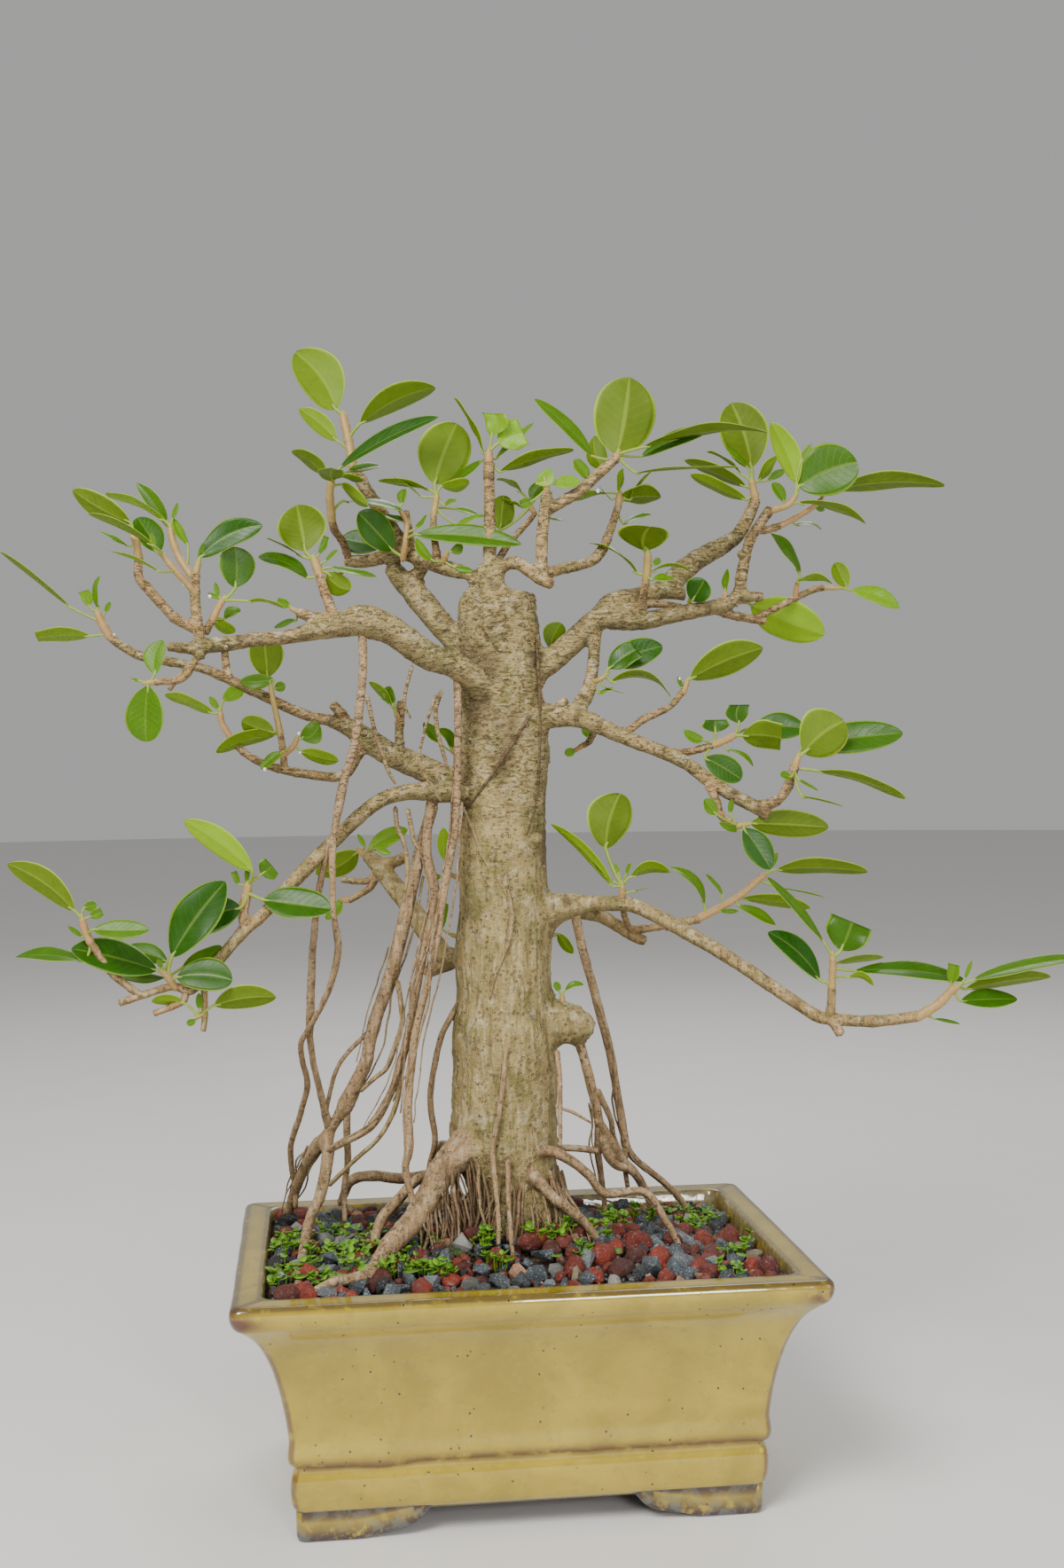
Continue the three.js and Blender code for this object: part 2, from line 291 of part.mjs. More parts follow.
// The leafy shoots: a stem like a limb, and leaves as the function leaf reads them.
const SHOOTS = {
  top_left: {
    stem: [[-84, 556, 22, 2.6], [-86, 570, 25, 2.5], [-89, 585, 28, 2.2]],
    leaves: [[2, [-93, 588.5], [-115, 620, 8], 26.5, 165, 3, 0, 3],
      [1.1, [-79.7, 580.3, -3], [-38, 599.8, -8], 21.9, 130, 4.3],
      [0.7, [-92.8, 571.3], [-113.3, 589.1, 4], 10.9, 170, 1, 0, 1.2]]},
  left_crown: {
    stem: [[-96, 527, 8, 2.3], [-97, 541, 0, 2.2], [-96, 550, -3, 2]],
    leaves: [[2, [-98.7, 551.3], [-117.5, 565.9, -6], 13.9, 125, 2.1],
      [2, [-95.3, 549, -3], [-95.6, 556.3, -26], 14.5, 175, 0, 0, 0.8],
      [2, [-91.1, 556.3], [-36.5, 583.5, -8], 15.8, 60, 3.2],
      [2, [-86.2, 554, 4], [-69.2, 557.2, 12], 12, 66, 0.5],
      [0.2, [-89.9, 537.9, -3], [-56.7, 532.1, -8], 14, 76, 2.1],
      [1.5, [-90.6, 547.1, -4], [-76.1, 535.3, -14], 11.4, 125, -0.8],
      [2, [-90.2, 551.4, -2], [-78.9, 549.8, -8], 10, 114, -0.9]]},
  left_round: {
    stem: [[-103, 497, -35, 2.6], [-106, 506, -34, 2.4]],
    leaves: [[1, [-110.8, 510.6], [-115.3, 536], 28, 165, 2, 0, -0.3],
      [1, [-103.6, 508.5], [-99, 518.5], 4.8, 30, 0, 0.8, -0.5],
      [1, [-112.2, 507.5], [-131.9, 517.9], 14, 92, 0.5],
      [0, [-109.7, 496], [-137, 507.7], 14.2, 55, 3.4], [0.3, [-97.9, 501.4], [-71.8, 495.9], 12, 71],
      [0.3, [-99.1, 498.4], [-86.4, 489], 13.2, 160, 0, 0, -2.3]]},
  left_arm: {
    stem: [[-57, 505.5, 9, 1.8], [-56, 512, 5, 1.6], [-55, 520, 4, 1.5], [-55, 526, 5, 1.4],
      [-59, 534, 4, 1.2]],
    leaves: [[0.2, [-62.6, 510.4], [-81.4, 531.4, -12], 19, 20, 0, 0, 0.4],
      [0.2, [-68.4, 512.7, 20], [-91.2, 517.4, 28], 15.8, 25, 0, 0, 0.1],
      [1.5, [-49.9, 519.1, -6], [8.4, 512.8, -16], 13.9, 35, 0, 0, 2.4],
      [4, [-57.3, 535.9], [-55.4, 544.2], 6, 30, 0, 0, 1.1],
      [2, [-50.1, 522.3], [-43.7, 529.6], 5.2, 60, -0.7],
      [3, [-55.7, 525.9], [-66.3, 530, 6], 8.6, 60, -0.2]]},
  crown_left: {
    stem: [[-40, 529, 4, 1.9], [-38, 540, 4, 1.7]],
    leaves: [[1, [-39.2, 546.7], [-26.5, 579.9], 29.4, 175, 3, 0, 0.9],
      [1, [-41.5, 543.3], [-70.1, 548.6], 12, 109, 1.2],
      [1, [-35.4, 545.6], [-19.8, 547.7], 12, 127, -2.1], [1, [-46.2, 539.8], [-61.5, 550.7], 6, 88, 0.4],
      [1, [-33.8, 534.8], [-27.3, 537.6], 5.5, 60, 0.5, 0.7],
      [0.4, [-28.1, 532.9, 10], [-14, 528.7, 14], 8, 65, 0.4]]},
  arm_left_small: {
    stem: [[-36, 501, 4, 1.8], [-33, 508, -3, 1.6]],
    leaves: [[1, [-30.7, 509.3], [-24.3, 513.3], 5.9, 0, 0, 0, -1],
      [0.5, [-40.6, 504.6, -4], [-49.8, 516.9, -6], 7.3, 40, 0, 0, -2.3],
      [0.5, [-28.7, 500.7, -4], [-18.5, 498.6, -6], 4.1, 0, 0, 0, -0.1]]},
  crown_centre: {
    stem: [[-9, 557.5, -5, 2.4], [-9, 564, -5, 2.2]],
    leaves: [[1, [-11.7, 563.3], [-27.7, 594], 14, 99, 1.3],
      [1, [-7.2, 572.8], [-5.6, 585], 13.6, 20, 0, 1, -2.4],
      [1, [-3.9, 568.6], [10.2, 574.5], 18.9, 20, 0, 0.9, 1.2],
      [0.6, [-3.2, 553.2], [37.9, 564.9, -5], 14, 119, 1.2],
      [0.6, [-5.1, 560.2, 8], [15.9, 579.7, 14], 7.3, 60, 0.3],
      [0.6, [-12.7, 559.3, 8], [-28.8, 548.7, 14], 9.1, 60, -1]]},
  crown_low: {
    stem: [[15.5, 530.5, 12, 1.5], [12, 537, 12, 1.4]],
    leaves: [[1, [14.6, 535.5], [24, 546.8], 9.4, 40, 0, 0, 3.5],
      [0, [18.4, 529.5], [32, 525.8], 10, 90, -1], [1, [9.2, 541.2], [-5.1, 548.5], 12, 104, 2.2],
      [0.5, [8.9, 533.6], [-1.6, 537.7, -3], 8, 104, 0.1]]},
  crown_stub: {
    stem: [[23, 541.5, -15, 1.8], [22, 547, -16, 1.6]],
    leaves: [[1, [16.8, 546.2], [25.4, 553.7], 9.3, 20, 0, 0, -2.3],
      [1, [26.6, 546.2], [41.4, 547], 8.5, 30, 0, 0, 0.2], [0.4, [15, 537], [8, 535], 6, 0, 0, 0.8]]},
  crown_right: {
    stem: [[60.5, 559, -8, 2.3], [62, 562, -8, 2]],
    leaves: [[1, [61.7, 561.6], [69.1, 604.3, 2], 35.2, 172, 3, 0, -1.4],
      [0, [48.1, 561.1], [16.6, 592.7, -8], 11.7, 50, 2.3],
      [0, [54.9, 553.4, 14], [49.2, 572.1, 18], 12.6, 160, 0, 0, -2.4],
      [1, [71.9, 551.7], [128.4, 553.9, -10], 16, 92, 0.7],
      [1, [76.5, 565.7], [145.1, 573.2, -12], 18, 107, 4.5],
      [1, [75.3, 560.7, 6], [113.9, 575.8, 8], 13.6, 50, 1.6]]},
  right_arm: {
    stem: [[62, 532.5, 19, 2], [63, 540, 20, 1.8]],
    leaves: [[1, [62.4, 536.9], [85.7, 538.1], 16, 130, 1.5],
      [1, [62.7, 540.8], [65.1, 554.2], 8, 119, 0.2],
      [0.3, [64.5, 523.6, -3], [80.3, 528.5, -5], 10, 75, 0.6],
      [1, [58.5, 537.1], [51.9, 544.7], 6, 90, -0.5], [1, [56.3, 540.9], [26.6, 535.9], 12, 110, 0.1],
      [1, [68.5, 536.7], [80.8, 552.3], 8, 100, 0.8]]},
  right_heart: {
    stem: [[77, 492, 6, 2.3], [78, 502, 3, 2.3], [78, 507, 1, 2]],
    leaves: [[2, [76.4, 508.6], [79.4, 521.8, -18], 28.4, 172, 0, 0, 2.4],
      [0.3, [80.1, 497.2], [102.2, 496.6], 10, 100, 3.2],
      [0.3, [79.9, 492.7, -3], [92.6, 492.4, -5], 7.8, 60, 0.9],
      [0.3, [72.1, 496.3], [45.7, 513.2, -4], 12, 88, 3.4], [1, [81, 501], [85, 504], 4, 0]]},
  upper_right: {
    stem: [[138, 535.5, 73, 2.4], [136, 546, 72, 2]],
    leaves: [[1, [136, 553.4], [125, 589.3], 26.6, 172, 0, 0, 1.8],
      [1, [139.6, 546.4], [150.3, 560], 9, 130, 0.1],
      [0.4, [132.6, 535.9], [102.3, 550.3], 11.2, 130, -0.1],
      [0.6, [132.6, 543.2, 5], [98.9, 558.1, 8], 14, 123, 0.8],
      [1, [130.3, 550.2, 3], [111.3, 562.7, 6], 10, 100, 1.8],
      [1, [133.4, 554.1], [121.8, 564.8], 6.3, 60, 0.5],
      [1, [144.5, 546.4], [154.6, 552.2], 4.9, 20, 0, 0, 0.3]]},
  right_top: {
    stem: [[145.3, 529.5, 30, 1.9], [150, 531, 28, 1.8], [156, 533, 27, 1.8], [160, 538, 27, 1.5]],
    leaves: [[3, [161, 544.4], [146.7, 578.4], 14.1, 160, 3, 0, 0.8],
      [3, [161.7, 543], [194.2, 556, -5], 30, 15, 0, 0, 2.2],
      [1, [153.8, 534.6], [147.3, 545.2], 8, 40, 0, 0, 0.4],
      [2, [161.4, 534], [198.6, 522], 14, 109, 3.3], [3, [163, 558], [169, 566], 4, 0]]},
  right_long: {
    stem: [[150.5, 521.3, 36, 1.8], [160, 526, 38, 1.7], [170, 532, 40, 1.5], [174, 536, 42, 1.3]],
    leaves: [[3, [178.2, 540.1], [242.3, 542.8], 15.4, 130, 4.4],
      [0.8, [159.9, 521.9, 6], [174.2, 519.2, 8], 8, 75, 1.6], [2, [171, 531], [176, 530], 3, 0]]},
  right_mid: {
    stem: [[159, 481.5, 52, 1.6], [160.5, 490, 48, 1.4]],
    leaves: [[1, [161.8, 495], [146, 517.6], 13, 62, 1.9],
      [1, [160.2, 490.2, -4], [179.8, 489.3, -8], 9, 116, 3.2]]},
  right_mid_end: {
    stem: [[174.5, 487, 59, 1.5], [183, 487, 57, 1.3]],
    leaves: [[1, [187.8, 487.2], [181.5, 500.8], 10, 170],
      [1, [190.1, 485.5], [216.8, 475.6], 10.4, 30, 2, 0, 1]]},
  right_hidden: {
    stem: [[128, 480, 40, 1.6], [133, 480, 47, 1.5]],
    leaves: [[1, [134.6, 478.1, 6], [175, 461, 12], 25, 160, 0, 0, -0.5]]},
  right_bud: {
    stem: [[120, 478, 31, 1.4], [120.5, 485, 30, 1.2]],
    leaves: [[1, [120.8, 485.3], [122.2, 498.2], 7.8, 60, 0.2]]},
  right_sprout: {
    stem: [[100, 475, 27, 1.4], [101, 481, 26, 1.2]],
    leaves: [[1, [102.2, 480.6, -6], [109.4, 492.3, -10], 16, 20, 0, 0, -0.2]]},
  trunk_sprout: {
    stem: [[18, 449, 10, 1.5], [22, 455, 17, 1.3]],
    leaves: [[1, [23.5, 455.3, 2], [30.1, 469.1, 6], 13, 165, 0, 0, 1.3]]},
  link_sprout: {
    stem: [[45.5, 436, -1, 1.6], [51, 438, -6, 1.4], [54, 440, -6, 1.3]],
    leaves: [[2, [55.7, 443.8], [71.5, 454.4], 15.2, 30, 0, 0.8, 0.8],
      [2, [57.5, 445.6, 6], [85.6, 455.8, 8], 17.2, 20, 0, 0, 1.4],
      [2, [57.2, 436.8], [89.7, 427.8, -14], 14, 107, 7.8], [1, [53, 434], [64, 430], 4, 88]]},
  right_inner: {
    stem: [[96.5, 429.5, 5, 1.9], [99, 436, 5, 1.7]],
    leaves: [[1, [100.9, 437.8], [141.1, 454.2], 20.6, 150, 0, 0, 2.3],
      [0.5, [96, 433, -2], [94, 439, -3], 2.5, 0]]},
  right_tuft: {
    stem: [[111.5, 400.4, -22, 2], [119, 403, -20, 2], [125, 406, -18, 1.7]],
    leaves: [[2, [127.5, 412.7], [127.5, 423.1], 13, 10, 0, 0.9, -1.5],
      [0.3, [114.3, 407.9], [114.2, 414.9], 16.4, 20, 0, 0.8, -0.2],
      [0.3, [108.1, 403.7, -4], [96.8, 409, -6], 6.8, 30, 0, 0, -1.3],
      [2, [129, 406, -2], [150.7, 404.5, -4], 18.9, 150, 0, 0.9, 1.3],
      [2, [135.6, 410.7, 10], [164.3, 409.5, 12], 15.7, 15, 0, 0, 1.1],
      [1, [120.7, 398.1, -2], [135.1, 389, -4], 5.1, 60, 2.7],
      [0.3, [108.6, 394, -5], [128.4, 381.8, -10], 14.7, 15, 0, 0, 0.5]]},
  right_round: {
    stem: [[157.7, 387.5, -76, 2], [160, 394, -76, 2]],
    leaves: [[1, [163, 396.1], [185.5, 413.4], 29, 165, 0, 0, 2.1],
      [1, [165.1, 399.9, 8], [217.9, 406.3, 10], 18.7, 15, 0, 0, 1.1],
      [0, [170.1, 386.1], [219, 370], 14, 112, 3], [0, [160, 381.3, -4], [170.7, 375.1, -6], 5, 67, -0.2],
      [0.2, [156, 383, -5], [150, 384, -7], 6, 40],
      [0.2, [161.8, 372.1, -6], [184.6, 366.2, -8], 11, 92, 0.5]]},
  right_down: {
    stem: [[125, 356, -62, 1.8], [131, 357, -63, 1.6]],
    leaves: [[1, [133.1, 357.5], [176.4, 354.8], 16.6, 160, 0, 0, 0.6],
      [1, [129.4, 354.8, -2], [144.1, 332, -4], 16.2, 20, 0, 0, 0.7],
      [0.3, [114.5, 362.7, -8], [107.7, 370.7, -10], 8.6, 30, 0, 0, -0.1],
      [0.3, [122, 363], [123, 371], 3.5, 0], [0.3, [126, 353], [116, 358, -8], 4, 0]]},
  right_fork: {
    stem: [[103.5, 304.9, 24, 2.3], [116, 311, 28, 2.1], [127, 317.5, 32, 2], [137, 326, 35, 1.9],
      [141, 329, 36, 1.6]],
    leaves: [[4, [147, 331.6], [197.7, 329.9], 14.1, 130, 2.1], [4, [143, 332], [148, 341], 4, 0],
      [3, [149.1, 321.8], [173.8, 316.1], 8, 92, 0.1],
      [2, [128.4, 315.8, 4], [165.9, 310, 6], 12.4, 125, 1.6],
      [1.8, [126.2, 312, -3], [146.7, 301, -5], 11.2, 60, 0.9],
      [1, [117.5, 318.1], [108.1, 329.6], 4.9, 60, 0.8], [1, [116, 309, -3], [126, 309, -4], 3, 0, -2],
      [0.3, [107.4, 313.1], [88.7, 333.6], 10.6, 60, 4.8]]},
  right_trimmed: {
    stem: [[177.3, 266, -61, 2.2], [178, 277, -62, 2.1], [178, 283, -63, 1.9]],
    leaves: [[2, [182.4, 286.5], [189, 302.3], 25.1, 15, 0, 1, -0.4],
      [1.7, [179.3, 279.5, 4], [206.1, 282.3, 8], 12, 110],
      [1, [189.9, 275], [251.3, 269], 14.1, 50, 3.8], [2, [173.1, 291.3], [142.3, 327.4], 10.2, 60, 1.7],
      [0.2, [170.7, 270.3], [142.3, 297], 17.3, 40, 0, 0, 4.4],
      [0.5, [186.4, 271.8, -8], [200.5, 267.1, -10], 7, 125, 3.6]]},
  right_branch_top: {
    stem: [[62, 316, -14, 1.9], [62, 324, -17, 1.7]],
    leaves: [[1, [53.1, 344.5], [61.4, 374.8], 26.3, 160, 0, 0, 2.3],
      [1, [56.6, 323.6], [23, 358.5, -12], 9.1, 130, 3.3], [1, [57.4, 326.1], [43.4, 338.8], 5, 90, -1.8],
      [1, [60, 331], [58, 336], 2.5, 0], [1, [66.5, 328.6], [88.5, 331.2], 12.1, 125, 4.4],
      [0.4, [68.6, 320.6, -4], [77, 321.5, -6], 5, 88, 0.6]]},
  far_right: {
    stem: [[224, 248.8, -69, 2.9], [236, 256, -70, 2.7], [243, 263, -71, 2.4], [247, 266, -73, 1.9]],
    leaves: [[3, [255.6, 269.2], [317.5, 281, -4], 13, 55, 2.3],
      [3, [251.2, 264.3, 3], [298.6, 270.5, 6], 14.5, 125, 1.8],
      [2.5, [248.7, 257.7], [279.9, 258.2], 13.9, 40, 0, 0, 0.6],
      [2, [243.1, 266.9], [245.4, 278], 8.1, 30, 0, 0.9, -0.5], [3, [251, 270], [255, 280], 2.5, 0],
      [0.3, [234, 248], [248, 245], 4, 60]]},
  far_left_top: {
    stem: [[-203, 507, -65, 2.4], [-204, 516, -66, 2], [-206, 520, -66, 1.8]],
    leaves: [[2, [-207, 527.2], [-238.9, 545.7], 15.1, 150, 0, 0, -1.2],
      [1, [-208.6, 514.3], [-223.7, 522.5], 4.6, 60, 0.2]]},
  left_fan: {
    stem: [[-171.5, 488, -59, 1.8], [-183, 501, -66, 1.8], [-190, 510, -67, 1.6]],
    leaves: [[2, [-194.6, 514.5, -8], [-230.3, 532.5, -13], 13, 108, 1.3],
      [2, [-191.8, 510.5, 12], [-203.4, 530, 16], 16.4, 25, 0, 0, 0.8],
      [2, [-194, 512], [-196, 522], 3, 0], [1, [-191.9, 500.4, -9], [-218.4, 511.9, -14], 7, 105, 1.1]]},
  left_top: {
    stem: [[-172, 495, -57.5, 2], [-180, 507, -52, 2], [-184, 517, -51, 2], [-185, 524, -50, 1.8]],
    leaves: [[3, [-187.9, 528], [-220.2, 542.7], 14, 108, 2, 0.6],
      [3, [-187.9, 526.4, 4], [-203.4, 549.4, 8], 13.1, 50, 1.4], [3, [-184, 529], [-181, 538], 3, 0],
      [0.6, [-175.7, 514.6, 4], [-183.2, 529.5, 6], 6.9, 40, 0, 0, -1.3]]},
  left_right: {
    stem: [[-172, 498, -57, 2], [-170, 505, -57, 1.8]],
    leaves: [[1, [-168.9, 508.1], [-134.4, 525.4], 16.6, 25, 0, 0, 4],
      [1, [-170, 506], [-167, 516], 3, 0]]},
  left_inner: {
    stem: [[-163.2, 472.5, -52, 2], [-160, 479, -52, 2], [-157, 484, -52, 1.8]],
    leaves: [[2, [-149.8, 491], [-149.8, 513.5], 21.2, 20, 0, 0, 0.9],
      [2, [-143.1, 483.4], [-122.5, 479], 10, 102, 1.7], [2, [-159, 486], [-161, 494], 3, 0],
      [2, [-158, 485], [-165, 488], 3, 0],
      [0.5, [-156.2, 473.8, 6], [-147.1, 478.7, 8], 6.7, 30, 0, 0, 2],
      [0.3, [-161.6, 473, 8], [-150.1, 466.4, 14], 8.2, 150, 0, 0, -1.1]]},
  left_tip: {
    stem: [[-219.5, 464.5, 30, 2.5], [-224, 473, 30, 2.4], [-226, 478, 30, 2]],
    leaves: [[1, [-241, 481.1], [-279.3, 512.3], 14, 102, 0.2],
      [0.2, [-230.2, 465.2], [-260, 464.7], 13, 130, 1.1, 0.7],
      [2, [-225.7, 480.5], [-224.8, 498.2], 6.3, 60, 2.2],
      [2, [-230.7, 481.4], [-233.6, 490], 6.6, 0, 0, 0.9, 0.7], [1, [-222, 478], [-219, 484], 3, 0]]},
  left_twig: {
    stem: [[-194.5, 439.5, -59, 1.8], [-200, 439, -60, 1.5]],
    leaves: [[0.6, [-195, 443.8], [-190.9, 462.4, 4], 12.5, 25, 0, 0, 2.3],
      [1, [-198.8, 437.3], [-200.1, 406.5], 22.3, 20, 0, 0, 1.1],
      [1, [-203.3, 440.3], [-208, 441.4], 5, 63, -0.8]]},
  left_low_twig: {
    stem: [[-152.5, 406.5, 17, 1.9], [-158, 416, 18, 1.7], [-159, 422, 18, 1.5]],
    leaves: [[2, [-162.9, 421.7], [-189.5, 432.4], 11.2, 125, 0.8], [2, [-160, 424], [-165, 431], 4, 0],
      [2, [-157.3, 428.6], [-147.8, 437.2, 8], 9.6, 25, 0, 0, -1.3]]},
  left_low_mid: {
    stem: [[-126, 409.5, 16, 2], [-128, 420, 16, 1.6], [-130, 430, 17, 1.5], [-131, 437, 17, 1.4]],
    leaves: [[3, [-132.6, 441.3], [-134.8, 465.6, -6], 19.5, 170, 0, 0, 0.2],
      [3, [-129.1, 440.1], [-147.7, 439.2, -4], 8.6, 0, 0, 0, -0.6], [3, [-129, 435], [-123, 437], 6, 0],
      [0.2, [-127, 410.3], [-161.8, 400.4, -8], 13, 132, 2],
      [0.3, [-129.5, 410.8, -3], [-147.3, 417.4, -8], 12.7, 160, 0, 0, -0.7]]},
  left_low_fork: {
    stem: [[-124.5, 398, 14.5, 1.7], [-119, 403, 10, 1.6], [-117, 407, 9, 1.5]],
    leaves: [[2, [-114.7, 407.2], [-104.5, 415.3], 13.1, 25, 0, 0, -2.8],
      [1.5, [-114.9, 400.1], [-94.1, 394.6], 10.5, 140, 0, 0, -0.8],
      [0.6, [-124.9, 400, -4], [-137.1, 390.7, -5], 7.4, 40, 0, 0, 0.8]]},
  left_low_end: {
    stem: [[-232.5, 295.3, -82, 2.2], [-236, 304, -83, 2.1], [-237, 309, -84, 1.9]],
    leaves: [[2, [-241.2, 313.5], [-277.8, 339.7], 16, 150, 2, 0, 2.7],
      [2, [-233, 310], [-226, 313], 6, 0, 0, 0.8], [2, [-236, 315], [-229, 317], 6, 0],
      [0.5, [-237, 299], [-245, 305], 3, 0],
      [0.5, [-231.2, 303, -4], [-200.1, 302.4, -6], 12.6, 30, 0, 0, -0.5],
      [0, [-236.4, 285.7], [-274.2, 288.3], 13.2, 55, 2.2]]},
  left_low_leaves: {
    stem: [[-186, 270, -64, 2.2], [-190, 276, -68, 2], [-193, 279, -69, 1.7]],
    leaves: [[2, [-196, 279.9], [-243.3, 292.4, -15], 21.7, 30, 0, 0, 1.2],
      [2, [-190.2, 284.5, 6], [-214.9, 292, 8], 13.3, 35, 0, 0, 1.8],
      [1, [-191.2, 275.7, 10], [-219.5, 278.3, 14], 9, 50, -2.3],
      [1, [-187.8, 287.4], [-157.5, 328.5, 5], 26.4, 25, 0, 0, 2],
      [0.6, [-185.3, 276.1, -2], [-154.5, 274, -4], 19.7, 20, 0, 0, 2.3],
      [1, [-182.3, 281.1, 8], [-160, 292.7, 14], 11.8, 25, 0, 0, -1.7],
      [2, [-193, 281], [-196, 286], 3, 0]]},
  left_bottom: {
    stem: [[-170, 256, -61, 1.5], [-174, 254, -64, 1.4]],
    leaves: [[0.3, [-164.7, 260.2, -4], [-130.5, 264.5, -8], 15.3, 150, 0, 0, 2.3],
      [1, [-181.2, 261.6], [-199.3, 262.9, -4], 9.5, 130, 1.5], [1, [-173, 258], [-173, 267], 4, 0],
      [1, [-175, 252], [-180, 250], 4, 0]]},
  left_low_up: {
    stem: [[-146.2, 319.5, -49, 2.6], [-145, 327, -49, 2.2]],
    leaves: [[1, [-142.4, 334.3, -6], [-180, 362.8, -8], 15, 160, 0, 0, 2.1],
      [1, [-146, 328], [-145, 337], 3, 0], [1, [-150, 327], [-153, 334], 4, 0, 0, 0.9],
      [1, [-137.7, 332.3], [-131.6, 337.2], 12.9, 0, 0, 0.9, -0.3],
      [0.4, [-136.8, 318.4, -6], [-99.3, 312.8, -12], 20.7, 30, 0, 0, 0.1],
      [0.4, [-149.2, 314.3, -6], [-181, 305.8, -14], 22.3, 20, 0, 0, 0.7]]},
  behind_left: {
    stem: [[-78.5, 341.5, 63, 2.3], [-83, 345, 66, 2]],
    leaves: [[1, [-84, 344.2], [-107.1, 331.9, 8], 16.4, 150, 0, 0, -1.8],
      [0.4, [-78.1, 345.6], [-56.4, 356.4], 12.8, 40, 0, 0, 0.9], [1, [-80, 347], [-84, 354], 3, 0],
      [0.4, [-74, 346, -4], [-66, 343, -6], 4, 0]]},
  behind_low: {
    stem: [[-88.5, 317.7, 64, 1.9], [-93, 318, 67, 1.6]],
    leaves: [[1, [-92.7, 318.7], [-102.5, 307.2], 7.4, 30, 0, 0, -1.6]]},
  trunk_left_bud: {
    stem: [[-26, 328, 16, 1.6], [-35, 332, 20, 1.4]],
    leaves: [[1, [-36.2, 339.2], [-36.6, 357.1], 8, 160, 0, 0, -0.1],
      [1, [-38, 330], [-46, 330], 4, 0]]},
  trunk_low_bud: {
    stem: [[-27, 296, 14, 1.5], [-33, 298, 18, 1.3]],
    leaves: [[1, [-37.8, 301.1], [-34.9, 315.1], 7.4, 40, 0, 0, 1.6]]},
  cut_stem_shoot: {
    stem: [[-60, 416, 12, 1.5], [-62, 421, 6, 1.3]],
    leaves: [[1, [-64.2, 424.5], [-76.7, 438], 10, 119, 1.1],
      [1, [-62.7, 426.3], [-66.5, 435.5], 7.8, 0, 0, 0, -1.9]]},
  trunk_upper_bud: {
    stem: [[-25, 395, 14, 1.5], [-31, 399, 19, 1.3]],
    leaves: [[1, [-31.1, 400.6, 3], [-37.9, 411.9, 6], 8.7, 40, 0, 0, 2.7],
      [1, [-37.9, 403.8, 8], [-46.7, 415.4, 12], 8, 30]]},
  trunk_right_bud: {
    stem: [[19, 297, 10, 1.5], [24, 297, 14, 1.3]],
    leaves: [[1, [26, 297.8], [34.3, 286.6], 7, 150, 0, 0, -0.6]]},
  knob_buds: {
    stem: [[28, 256, 2, 1.7], [28, 263, 2, 1.5]],
    leaves: [[1, [26.4, 265.6], [24.2, 271], 4.1, 0, 0, 0, 0.2],
      [1, [29.7, 266.3], [40, 269.3], 4, 30, 2, 0, 1.1]]},
  right_bit: {
    stem: [[41.5, 402, 9, 1.5], [37, 399, 12, 1.3]],
    leaves: [[1, [37, 399], [31, 397], 5, 0], [0.4, [44, 406, 4], [42, 413, 6], 5, 0]]},
  left_stub_bits: {
    stem: [[-114, 476.6, -38, 1.4], [-119, 479, -38, 1.3]],
    leaves: [[1, [-119.5, 480.4], [-126.8, 483.1], 5.6, 0, 0, 0.8, 0.2],
      [0.5, [-116.4, 472.4, 4], [-128.6, 469, 14], 7.3, 60]]},
};

// Solids

const MERGE_DISTANCE = 1e-4;

// A geometry from points and from the triangles between them.
function closedGeometry(points, triangles) {
  const geometry = new THREE.BufferGeometry();
  geometry.setAttribute("position", new THREE.Float32BufferAttribute(points.flatMap((p) => p.toArray()), 3));
  geometry.setIndex(triangles.flat());
  return geometry;
}

// A closed loft through rings of equally many points. A last ring of one point is a tip.
function loft(rings) {
  const points = rings.flat();
  const count = rings[0].length;
  const triangles = [];
  for (let i = 1; i < count - 1; i += 1) triangles.push([0, i + 1, i]);
  for (let ring = 0; ring < rings.length - 1; ring += 1) {
    const low = ring * count;
    const high = low + count;
    const isTip = rings[ring + 1].length === 1;
    for (let i = 0; i < count; i += 1) {
      const next = (i + 1) % count;
      if (isTip) {
        triangles.push([low + i, low + next, high]);
      } else {
        triangles.push([low + i, low + next, high + next], [low + i, high + next, high + i]);
      }
    }
  }
  const last = (rings.length - 1) * count;
  if (rings.at(-1).length > 1) {
    for (let i = 1; i < count - 1; i += 1) triangles.push([last, last + i, last + i + 1]);
  }
  return closedGeometry(points, triangles);
}

// A solid of a closed geometry, turned so that its faces point out.
function solid(geometry) {
  const bare = geometry.clone();
  bare.deleteAttribute("normal");
  bare.deleteAttribute("uv");
  const { attributes: { position }, index } = mergeVertices(bare, MERGE_DISTANCE);
  const corner = (i) => new THREE.Vector3().fromBufferAttribute(position, index.getX(i));
  let volume = 0;
  for (let i = 0; i < index.count; i += 3) {
    volume += corner(i).dot(corner(i + 1).cross(corner(i + 2)));
  }
  const order = Array.from(index.array);
  if (volume < 0) order.reverse();
  return new wasm.Manifold(new wasm.Mesh({
    numProp: 3,
    vertProperties: new Float32Array(position.array),
    triVerts: new Uint32Array(order),
  }));
}

const join = (solids) => solids.reduce((sum, piece) => sum.add(piece));

// The one body that matters: loose scraps left by a cut are dropped.
function mainBody(body) {
  const pieces = body.decompose();
  return pieces.reduce((best, piece) => (piece.volume() > best.volume() ? piece : best));
}

